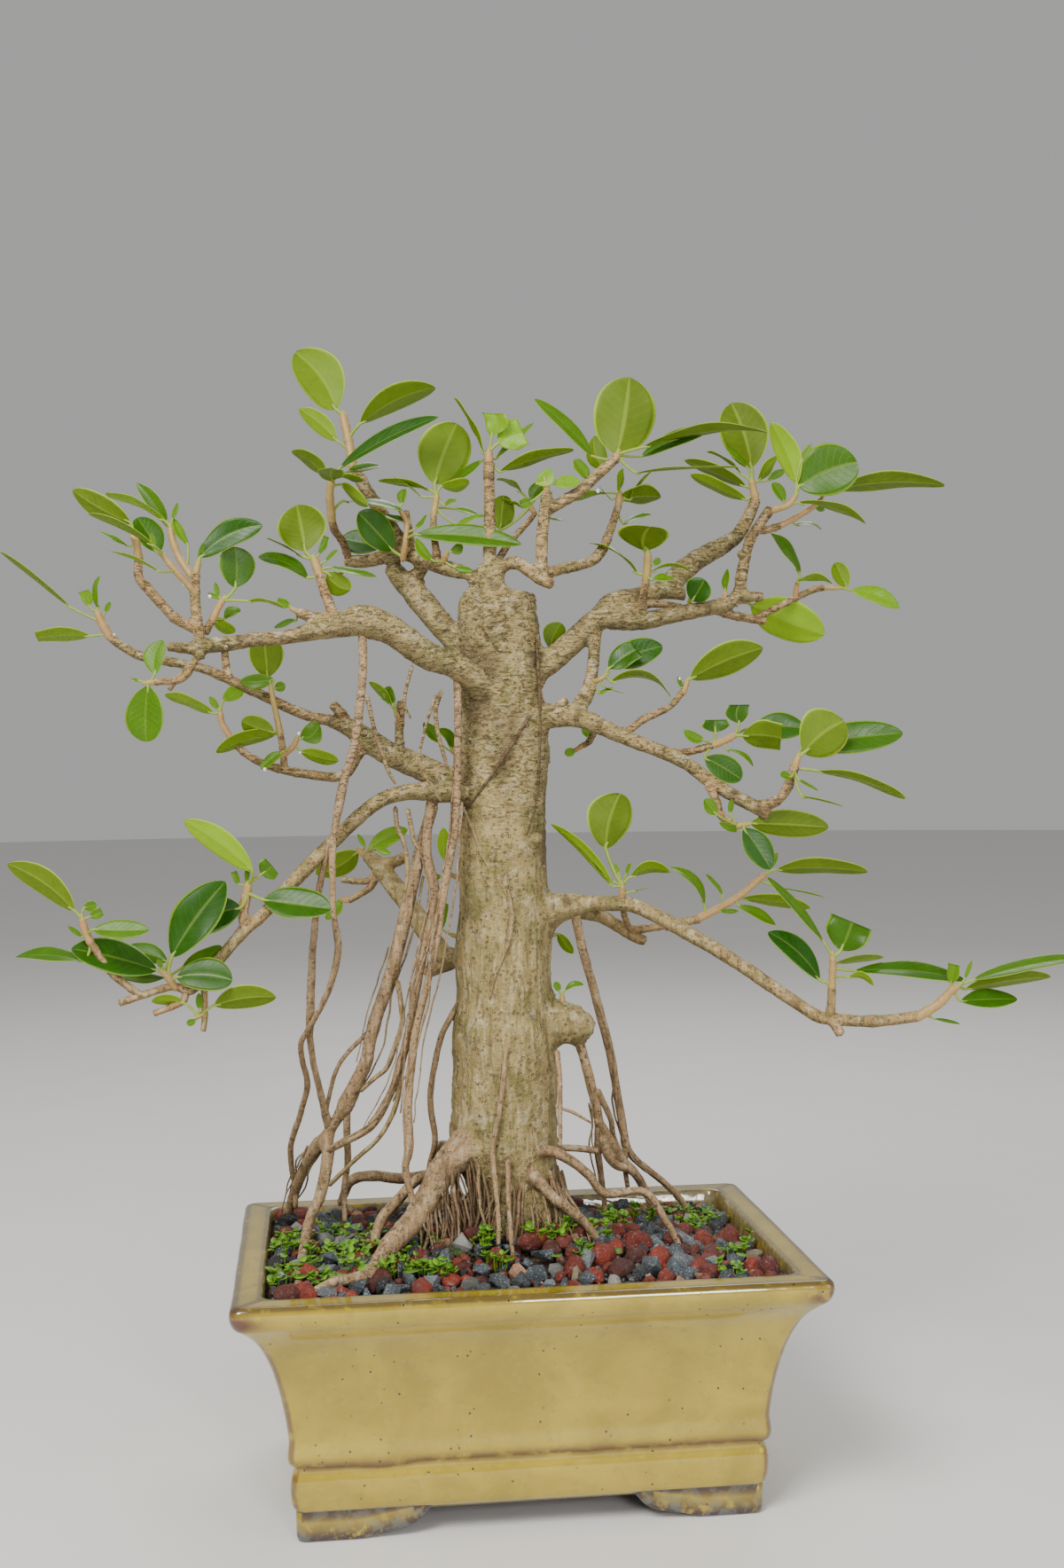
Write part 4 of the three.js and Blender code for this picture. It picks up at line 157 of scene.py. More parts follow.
BRANCHES = {
  "trunk": [[-4, 487, 5, 19.5], [-5, 472, 5, 22.7], [-4, 450, 5, 23], [-3.5, 400, 5, 24.5],
    [-3, 350, 5, 25], [-4, 300, 5, 26], [-4.5, 260, 5, 26.5], [-4, 240, 5, 28], [-4, 220, 5, 28.7],
    [-4.5, 200, 5, 29.5], [-5, 185, 5, 30.5], [-1, 168, 5, 27], [3.5, 152, 5, 24.5], [5.5, 138, 5, 23.5],
    [6, 120, 5, 22], [6, 95, 5, 14]],
  "upper_left_branch": [[-12, 432, -12, 7.7], [-28, 446, -22, 7.3], [-45.5, 453.1, -28, 7.8],
    [-62, 465, -33, 8.2], [-78, 472, -36, 9.1], [-90, 470, -38, 7.3], [-100, 468.5, -40, 6.4],
    [-120, 463.5, -44, 4.1], [-140, 462, -48, 4.1], [-155, 460, -52, 4.4], [-166, 459, -55, 4.4],
    [-176, 457.8, -57, 3.4], [-187, 459, -60, 2.5]],
  "upper_left_stub": [[-95, 473, -38, 3.6], [-107, 474, -38, 3.1], [-115, 477, -38, 2.8]],
  "twig_to_left_round": [[-94, 468, -40, 2.8], [-97, 478, -38, 2.8], [-100, 487, -36, 2.7],
    [-103, 497, -35, 2.6]],
  "upright_at_left": [[-170, 452, -56, 2.8], [-170, 462, -57, 2.9], [-172, 483, -58, 2.8],
    [-172, 499, -57, 2.6]],
  "twig_up_left": [[-168, 467, -55, 2.8], [-182.2, 473.7, -60, 2.8], [-190.2, 481.8, -62, 2.6],
    [-197.7, 490.4, -64, 2.8], [-203, 497, -65, 2.5], [-203, 508, -65, 2.3]],
  "inner_twig": [[-167, 466, -54, 2.2], [-163, 473, -52, 2]],
  "free_twig": [[-170, 453, -56, 1.5], [-180, 444, -54, 1.3], [-187, 435, -52, 1.3]],
  "hanging_twig": [[-156, 456, -50, 2], [-155.4, 446.9, -50, 2], [-153, 441, -50, 1.8]],
  "middle_left_branch": [[-18, 380, -2, 7.6], [-35, 384, 2, 7.6], [-50, 391, 8, 7.1], [-65, 398, 13, 6.7],
    [-78, 406, 17, 6.7], [-88, 413, 20, 5], [-99.9, 417.3, 22, 3.4], [-114.5, 421.2, 23, 2.9],
    [-145, 436, 25, 2.8], [-170, 447, 27, 2.5], [-200, 453, 29, 2.4], [-212, 459, 30, 2.4],
    [-220, 465, 30, 2.2]],
  "middle_left_stub": [[-90, 418, 18, 3], [-97, 426, 18, 2.7]],
  "middle_left_low_twig": [[-82, 400, 14, 3], [-92, 386.5, 14, 2.7], [-111.9, 387.6, 14, 2.5],
    [-124, 390, 14, 2.5], [-134, 393, 15, 2.3], [-145.1, 398.9, 16, 2], [-153, 407, 17, 2]],
  "upright_on_low_twig": [[-124, 391, 14, 2], [-125, 402, 15, 1.8], [-126, 411, 16, 1.8]],
  "cut_stem": [[-60, 398, 12, 2.4], [-60.2, 412, 12, 2.4], [-59, 427, 12, 2.3]],
  "low_twig_at_left": [[-172, 452, -56, 2], [-180, 441, -57, 2], [-195, 439.5, -59, 1.9]],
  "lower_left_branch": [[-20, 377, -5, 7.1], [-36, 377, -12, 6.2], [-45, 377.5, -15, 5.3],
    [-59.9, 376.3, -20, 4.4], [-75.1, 370.2, -26, 4.2], [-99, 348.9, -36, 4.2], [-118.9, 329, -44, 4],
    [-139.6, 307.6, -52, 3.4], [-147, 302, -54, 3.6], [-162, 285, -59, 3.1], [-174, 271, -62, 2.7],
    [-180, 268, -63, 2.5]],
  "lower_left_hanging": [[-170, 270, -61, 1.9], [-170, 255, -61, 1.7], [-171, 246, -61, 1.5]],
  "lower_left_end": [[-180, 268, -63, 2.2], [-187, 271, -64, 2.1], [-205, 266, -72, 2.1],
    [-217, 262, -76, 2]],
  "lower_left_fork": [[-205, 266, -72, 2.1], [-212, 271, -75, 2.1], [-222, 280, -78, 2.1],
    [-233, 296, -82, 2.1]],
  "lower_left_cut_twig": [[-180, 268, -63, 2], [-183, 262, -63, 1.9], [-198, 256, -65, 1.7]],
  "lower_left_up_twig": [[-147, 303, -54, 2.9], [-148, 312, -51, 3], [-146, 321, -49, 2.8]],
  "branch_behind": [[-22, 282, 12, 5.1], [-34, 286, 22, 5.1], [-40.4, 290.7, 28, 5.4], [-58, 317, 46, 5.6],
    [-68, 330, 55, 5.1], [-74, 338, 60, 4.6], [-79, 342.5, 63, 3.6]],
  "behind_fork_high": [[-74, 334, 58, 2.1], [-79, 328, 60, 1.8], [-93, 329, 64, 1.8]],
  "behind_fork_low": [[-74, 330, 57, 2.1], [-78, 324, 60, 1.9], [-89, 317.5, 64, 1.8]],
  "behind_stub": [[-70, 338, 57, 3.1], [-62.3, 339, 54, 3.1], [-58, 341, 52, 3]],
  "behind_low_stub": [[-24, 285, 14, 3.6], [-37.7, 280.2, 26, 3.6], [-47, 277, 32, 3.6]],
  "left_leader": [[-16, 444, 6, 8], [-26, 458, 10, 7.6], [-32, 464, 14, 7.1], [-49.5, 485.4, 20, 7.2],
    [-58, 495, 22, 6.2], [-64, 502, 24, 4.4]],
  "leader_to_arm": [[-52, 492, 20, 4.6], [-47, 500, 16, 4.1], [-44, 504, 8, 3.7]],
  "crown_neck": [[-2, 446, -10, 5], [-4, 458, -12.5, 6.5], [-7, 473, -13.5, 8], [-8, 494, -8, 7.2],
    [-9, 505, -5, 4.5], [-9, 520, -4, 3.5], [-9, 558, -5, 2.9]],
  "left_arm": [[-10, 494, -6, 4.6], [-25, 498, 0, 4.4], [-38, 502, 6, 4.4], [-50, 507, 12, 4.4],
    [-60, 508.5, 18, 4.1], [-76.1, 504.9, 30, 3.7], [-88, 504.5, 36, 4]],
  "left_arm_stub": [[-86, 503, 36, 1.7], [-95, 496, 38, 1.5]],
  "top_left_old_wood": [[-54, 509, 15, 3.7], [-61, 520, 17, 3.7], [-75.9, 542.4, 20, 3.7],
    [-81, 552, 21, 3.3], [-84, 557, 22, 2.6]],
  "twig_to_left_crown": [[-87, 506, 34, 2.2], [-90, 515, 26, 2.1], [-94.3, 521.3, 16, 2.2],
    [-96, 527, 8, 2.2]],
  "twig_to_crown_left": [[-38, 504, 6, 2.3], [-40, 521, 4, 1.8], [-40, 529, 4, 1.8]],
  "arm_cut_stub": [[-51, 510, 12, 1.8], [-53, 520, 10, 1.7], [-55, 532, 8, 1.7]],
  "right_arm": [[-5, 500, -8, 4.2], [5.2, 502.9, -12, 3.8], [12.8, 498.3, -17, 3.6], [20, 493, -22, 3.5],
    [25, 491, -25, 3.2]],
  "right_arm_end": [[16, 495, -19, 3.2], [30, 499, -10, 3], [45.7, 502.8, 0, 3.1], [51.8, 508.1, 5, 3.1],
    [55.7, 515.1, 10, 2.5], [62, 533, 19, 2]],
  "upright_stub": [[20, 492, -21, 3.4], [19.6, 505, -18, 3.3], [20.1, 520, -16, 3.4], [23, 542, -15, 3.2]],
  "upright_side_branch": [[21, 530, -15, 3.3], [32.2, 536.7, -13, 3], [41, 542, -11, 3.1],
    [50, 550, -9, 3.1], [61, 559.5, -8, 2.5]],
  "twig_at_back": [[-7, 500, 0, 2.4], [2, 514, 9, 1.8], [14, 527, 12, 1.5], [16, 531, 12, 1.4]],
  "upper_right_branch": [[8, 438, 2, 8.2], [22, 447, 5, 7.2], [33, 456, 8, 6.7], [43, 465, 10, 6.7],
    [52.2, 472.5, 12, 7.4], [62, 471, 14, 6.2], [75, 470, 18, 5.3], [89.8, 472.8, 22, 4.6],
    [118, 478, 31, 4.3], [128, 482, 34, 4.3], [141, 482.5, 37, 2.4]],
  "upper_right_back": [[50, 476, 14, 5.1], [60, 481, 20, 5.6], [75, 484, 27, 5.1], [88, 488, 36, 6.1],
    [97, 497, 43, 6.1], [107.8, 504.8, 52, 5.6], [118.4, 510.3, 60, 5.1], [127.6, 516.4, 66, 4],
    [133, 525, 70, 3.6], [138, 536, 73, 3.1]],
  "right_stump": [[86, 485, 34, 4.1], [98, 484.5, 36, 3.9]],
  "right_short_stub": [[68, 476, 20, 2.8], [80, 479.5, 24, 2.4], [96, 477.5, 28, 1.8]],
  "right_upright": [[128, 482, 34, 4.3], [129.3, 492.1, 33, 3.6], [133.9, 512, 31, 2.9],
    [139, 521, 30, 3.1], [146, 531, 30, 2.7]],
  "right_upright_twig": [[138, 519, 32, 2.3], [145.1, 519.6, 34, 2.1], [151, 521.3, 36, 1.9]],
  "right_low_twig": [[115, 476, 30, 2.9], [125.1, 472.4, 36, 2.5], [142, 469, 44, 2.2]],
  "right_low_end": [[137, 470.5, 43, 2], [150, 477, 48, 1.8], [168, 485.5, 56, 1.8], [175, 487, 59, 1.7]],
  "twig_to_heart": [[75, 472, 16, 2.4], [75.5, 483, 10, 2.2], [77, 492.5, 6, 2.2]],
  "middle_right_branch": [[12, 419, 2, 7.5], [32, 417, -8, 6.6], [42, 416, -12, 5.6],
    [54.7, 410.3, -18, 4.7], [69.4, 403.6, -26, 4.1], [95, 393, -39, 3.9], [114.2, 378.7, -51, 3.8],
    [135, 367, -62, 3.8], [143, 361, -66, 2.8]],
  "middle_right_end": [[137, 367, -64, 3.5], [144, 368.1, -68, 3.2], [149.4, 371.1, -71, 2.7],
    [153.7, 376.6, -73, 2.7], [158, 388.5, -76, 2.6]],
  "right_link": [[33, 417, -7, 5.5], [42, 427, -5, 4.6], [46, 438, -1, 3.7], [49, 462, 9, 3.1],
    [51, 470, 12, 2.8]],
  "right_link_stub": [[24, 419, -6, 2.8], [32, 427, -6, 2.4]],
  "twig_to_inner": [[58, 409, -19, 2.3], [67.5, 410.4, -14, 2.1], [74.6, 415.6, -9, 2.2],
    [88.8, 422.2, 0, 1.8], [96.5, 430.5, 5, 1.8]],
  "twig_to_tuft": [[86, 398, -34, 2.3], [97, 397, -27, 2.1], [112, 400.5, -22, 2]],
  "twig_down_right": [[110, 381, -50, 2.6], [114, 371, -56, 2.4], [117, 362, -60, 2.4],
    [125.5, 356, -62, 1.9]],
  "twig_to_bit": [[48, 411, -12, 1.9], [44.8, 403.9, 4, 1.7], [41, 401.5, 10, 1.5]],
  "lower_right_branch": [[10, 304, 4, 12.1], [28, 312, -2, 8.4], [45, 314, -8, 4.5], [58, 314, -13, 4.3],
    [70.4, 312, -18, 4.1], [95, 299, -30, 4.2], [121.7, 282.6, -41, 3.9], [147.7, 264.6, -49, 3.7],
    [160, 256.1, -53, 3.6], [172, 249.5, -57, 3.5], [200, 247.1, -64, 3.2], [225, 249.5, -69, 3]],
  "lower_right_back": [[34, 310, 0, 4.2], [50.3, 306.8, 7, 3.8], [68, 296, 12, 3.4], [74, 293, 14, 3]],
  "lower_right_fork": [[64, 299, 11, 2.7], [78.1, 300.3, 16, 2.1], [100, 304, 23, 2.3],
    [104, 305, 24, 2.3]],
  "lower_right_link": [[62, 313, -14, 1.8], [64, 304, 0, 1.7], [68, 297.5, 11, 1.7]],
  "lower_right_stub": [[177, 249, -59, 3], [182, 240, -61, 2.7]],
  "lower_right_upright": [[176, 248, -58, 2.6], [177, 258, -60, 2.4], [177.3, 267, -61, 2.3]],
  "knob": [[10, 252, 4, 13], [30, 248, 3, 12], [38, 246, 3, 9.5], [44, 243.5, 3, 5]],
}

ROOTS = {
  "left_aerial": [[-80, 466, -37, 2.4], [-80.3, 440, -39, 2.3], [-85, 405, -41, 2.4], [-90, 388, -42, 2.2],
    [-93.2, 374.8, -42, 2.7], [-96, 360, -43, 2], [-98, 345, -43, 2], [-98, 312, -43, 1.7],
    [-95.8, 290, -41, 2], [-100.4, 270.1, -36, 1.8], [-108.1, 254.1, -28, 1.6], [-113.1, 245.5, -22, 1.7],
    [-117, 238, -17, 1.6], [-116, 228, -10, 1.6], [-113.7, 216, -2, 1.7], [-116.9, 202.3, 5, 1.7],
    [-123, 183, 16, 1.6], [-123.3, 172, 24, 1.6], [-121, 157, 34, 1.5], [-121, 148, 36, 1.4]],
  "left_aerial_twin": [[-99, 350, -41, 2], [-105.6, 324.9, -35, 1.8], [-109.5, 292.1, -30, 2],
    [-111.7, 251.9, -20, 2.3], [-111.8, 239.9, -16, 1.8], [-109, 221.8, -10, 1.8], [-105, 204.8, -2, 2.1],
    [-102, 192, 4, 2.7]],
  "left_foot": [[-98, 196, 3, 4.6], [-103, 188, 5, 4.2], [-110, 180, 12, 3.8], [-115.9, 169.9, 22, 3.1],
    [-120.7, 158.3, 34, 3.1], [-124, 148, 44, 2.7], [-128, 137, 52, 2.5]],
  "left_front_strand": [[-102, 192, 4, 4.4], [-103, 175, 4, 3.5], [-107, 155, 3, 3.2],
    [-111.4, 145.5, 0, 3], [-114.6, 136.2, -3, 2.9], [-118, 120, -35, 2.4], [-120.2, 112.1, -58, 2.3],
    [-120, 102, -78, 2.1]],
  "prop_root": [[-42, 370, -10, 3.2], [-48, 350, -6, 3.4], [-52, 335, -8, 3.6], [-59, 305, -10, 4],
    [-65.7, 279.6, -10, 4], [-77.4, 245.4, -8, 3.6], [-81, 228, -7, 3.8], [-88.4, 212.6, -4, 4.3],
    [-93.6, 202.4, 0, 4.9], [-99, 194, 3, 4.3]],
  "prop_strand": [[-92, 202, 0, 2.2], [-92, 185, 4, 2], [-92, 172, 8, 1.9], [-94, 158, 12, 1.6],
    [-94, 140, 14, 1.4]],
  "crossing_root": [[-43, 374, -12, 2.5], [-46.1, 345, -13, 2.7], [-42, 324.9, -14, 2.6],
    [-42.6, 312.1, -15, 2.5], [-48.5, 288.1, -17, 2.4], [-53.2, 265.2, -17, 2.5], [-58, 240, -17, 2.5],
    [-63.4, 222.4, -16, 2.3], [-67.3, 210.7, -14, 2.1], [-78.4, 192.4, -9, 2.3], [-95, 183, -3, 2.1],
    [-103, 179, 3, 2.1]],
  "front_root": [[-28, 444, -20, 2.2], [-28, 400, -22, 2], [-30, 358, -22, 2], [-36, 325, -22, 2],
    [-42, 290, -23, 2], [-50, 258, -24, 2], [-54, 240.1, -24, 2.2], [-58.3, 205.1, -24, 2.6],
    [-58, 180, -24, 2.7], [-60, 168, -24, 2], [-56.3, 150.2, -24, 2], [-53, 138, -25, 2.2]],
  "trunk_side_root": [[-24, 268, 2, 1.6], [-35, 250, 0, 1.7], [-40.4, 237.1, 2, 1.7], [-45.7, 208, 5, 1.7],
    [-43.3, 184, 8, 1.7], [-47, 168, 10, 1.4], [-48, 145, 10, 1.4]],
  "loop_root": [[-80, 244, -8, 1.3], [-92, 232, -6, 1.2], [-98.1, 222, -3, 1.2], [-103, 204, 2, 1.3],
    [-104, 196, 3, 1.4]],
  "pale_root": [[-62, 226, -16, 1.5], [-64.4, 204.8, -13, 1.5], [-73.6, 186.7, -10, 1.3],
    [-88.2, 173.2, -5, 1.3], [-102, 160, 4, 1.4]],
  "back_root": [[-14, 172, 16, 3.4], [-30, 168, 25, 3.1], [-60, 163, 46, 3.1], [-78, 164.6, 55, 3.1],
    [-90, 162, 60, 2.8], [-96, 150, 65, 2.1]],
  "flat_topped_stub": [[-40, 162, 22, 5.5], [-40, 182, 18, 5.5]],
  "leg_root": [[-46, 166, -8, 2.9], [-56, 160, -2, 2.9], [-65.5, 149.5, 0, 3.2], [-72.9, 141.4, -2, 3.2],
    [-77, 130, -12, 2.7], [-77, 118, -22, 2.2]],
  "right_aerial": [[35, 312, -4, 2.6], [39.4, 290.1, 2, 2.5], [45.9, 265.2, 10, 2.5], [54.1, 232, 19, 2.4],
    [57.9, 208, 25, 2.3], [61.3, 186.9, 30, 2.4], [63, 178, 33, 2.3], [70.4, 169.3, 42, 2],
    [82, 160, 55, 1.9], [93.2, 148.2, 66, 1.8], [97, 138, 72, 1.7]],
  "knob_root": [[36, 242, 3, 2.7], [41.9, 220, 6, 2.7], [47.3, 195, 13, 2.7], [47.5, 185, 16, 2.7],
    [47, 175, 20, 2], [50, 150, 30, 1.5], [50, 136, 32, 1.5]],
  "knob_twin": [[47, 210, 8, 2], [54, 195, 16, 1.6], [55.6, 184.5, 22, 1.6], [62, 170, 30, 1.7]],
  "knob_outer": [[47, 194, 12, 2.6], [54, 182, 18, 2.6], [58, 174, 23, 2.6], [66, 166, 30, 2.4],
    [72, 156, 36, 2.2], [76, 146, 40, 2]],
  "back_stub": [[24, 179, 8, 2], [35, 178.5, 10, 2], [46, 177, 16, 1.8]],
  "right_surface": [[6, 180, -12, 4.3], [15, 178, -16, 3.6], [24, 176, -17, 3.1], [33, 170.9, -16, 2.8],
    [42, 163, -13, 2.6], [51, 153, -10, 2.4], [72, 154, -6, 2.2], [84, 138, -6, 2], [92, 122, -6, 1.7]],
  "front_right_surface": [[4, 172, -16, 4.3], [20, 153, -23, 3.2], [30, 145, -22, 2.8], [40, 136, -20, 2.6],
    [45.9, 127, -18, 2.2], [48, 116, -17, 1.9]],
  "front_trunk_root": [[-3, 236, -23.5, 1.3], [-6, 210, -26, 1.5], [-11, 180, -28, 1.5],
    [-11, 168, -30, 1.5], [-8.8, 142, -38, 1.3], [-9, 126, -42, 1.3]],
  "dark_root": [[-3, 172, -27, 1.5], [-3, 150, -33, 1.4], [-1.5, 125, -45, 1.2], [0, 112, -56, 1]],
  "big_surface": [[-12, 196, -6, 10], [-20, 188, -10, 9.5], [-27, 180, -13, 9.5], [-38, 169, -16, 8.5],
    [-46, 155, -19, 7.5], [-53, 144, -23, 7], [-60, 135, -28, 6.5], [-68, 127, -38, 6], [-75, 117, -52, 5],
    [-80, 110, -62, 4.4], [-90, 107, -72, 3.6], [-100, 106, -80, 3], [-110, 101, -86, 2.5]],
}

# Hair roots, too fine for the frame.
FINE_ROOTS = {
  "hair_1": [[-63, 368, -18, 1.3], [-62, 358, -18, 1.3], [-59, 350, -18, 1.2], [-57, 342, -18, 1.2],
    [-57, 330, -18, 1.1], [-58, 322, -18, 0.8]],
  "hair_2": [[-56, 367, -20, 1.3], [-53, 350, -20, 1.2], [-50, 345, -20, 0.7]],
  "hair_3": [[-53, 446, -28, 1], [-56, 435, -28, 1], [-57, 425, -28, 0.9], [-54, 418, -28, 0.6]],
  "hair_4": [[-37, 432, -28, 1.3], [-40, 422, -28, 1.3], [-39, 410, -28, 1.2], [-36, 398, -28, 1.1],
    [-34, 390, -27, 0.8]],
  "hair_5": [[-40, 430, -28, 0.8], [-47, 408, -29, 0.8], [-49, 392, -29, 0.7], [-38, 372, -28, 0.5]],
  "hair_6": [[-78, 430, -26, 1.3], [-73, 408, -27, 1.2], [-67, 390, -27, 1.1], [-63, 382, -26, 0.7]],
  "hair_7": [[12, 418, -15.3, 1], [0, 400, -20, 1], [-10, 385, -19.6, 0.9], [-20, 372, -14, 0.8],
    [-27, 363, -4, 0.6]],
  "hair_8": [[-27, 372, -8, 0.9], [-20, 355, -15, 0.9], [-15, 340, -18, 0.8], [-5, 325, -20.8, 0.8],
    [0, 312, -21.4, 0.8], [-1, 300, -21.8, 0.8], [-4, 286, -22, 0.7], [-11, 270, -21.5, 0.6]],
  "hair_9": [[16, 460, -6.5, 0.8], [17.5, 430, -8.5, 0.9], [17, 400, -9.5, 0.9], [15, 372, -11.5, 0.8],
    [9, 352, -16.5, 0.6]],
  "red_1": [[25, 232, -22, 1.5], [26, 215, -24, 1.5], [26, 196, -27, 1.3], [26, 180, -30, 1]],
  "red_2": [[24, 202, -25, 0.9], [34, 198, -26, 0.9], [44, 192, -27, 0.6]],
  "red_3": [[62, 180, 31, 1.6], [62, 166, 34, 1.5], [63, 157, 36, 1.3]],
  "red_4": [[49, 184, 15, 2.6], [52, 175, 18, 2.6], [57, 169, 22, 2.5], [63, 167, 26, 2.4],
    [69, 162, 31, 2.2], [73, 155, 36, 2.1]],
  "hair_10": [[-63, 272, -10, 1.5], [-61, 258, -11, 1.5], [-61, 248, -12, 1.5], [-66, 233, -11, 1.5],
    [-70, 224, -9, 1.4], [-76, 219, -8, 1.3], [-84, 212, -6, 1.2]],
  "hair_12": [[-1, 322, -21.5, 0.9], [1, 310, -21.8, 1], [0, 298, -22, 1], [-3, 288, -22.2, 0.9],
    [-9, 274, -22, 0.8], [-12, 262, -22, 0.6]],
  "hair_11": [[-62, 224, -15, 2], [-68, 210, -12, 2], [-75, 198, -10, 2], [-79, 193, -9, 1.8]],
}
# Knobs on the bark: u, w, depth and radius.
KNOBS = [
    (-90, 481, -17, 3), (-84, 425, -22, 2), (83, 391, -8, 2), (112, 513, 0, 2.6), (124, 510, 0, 2.6),
    (24, 350, -18, 4),
]
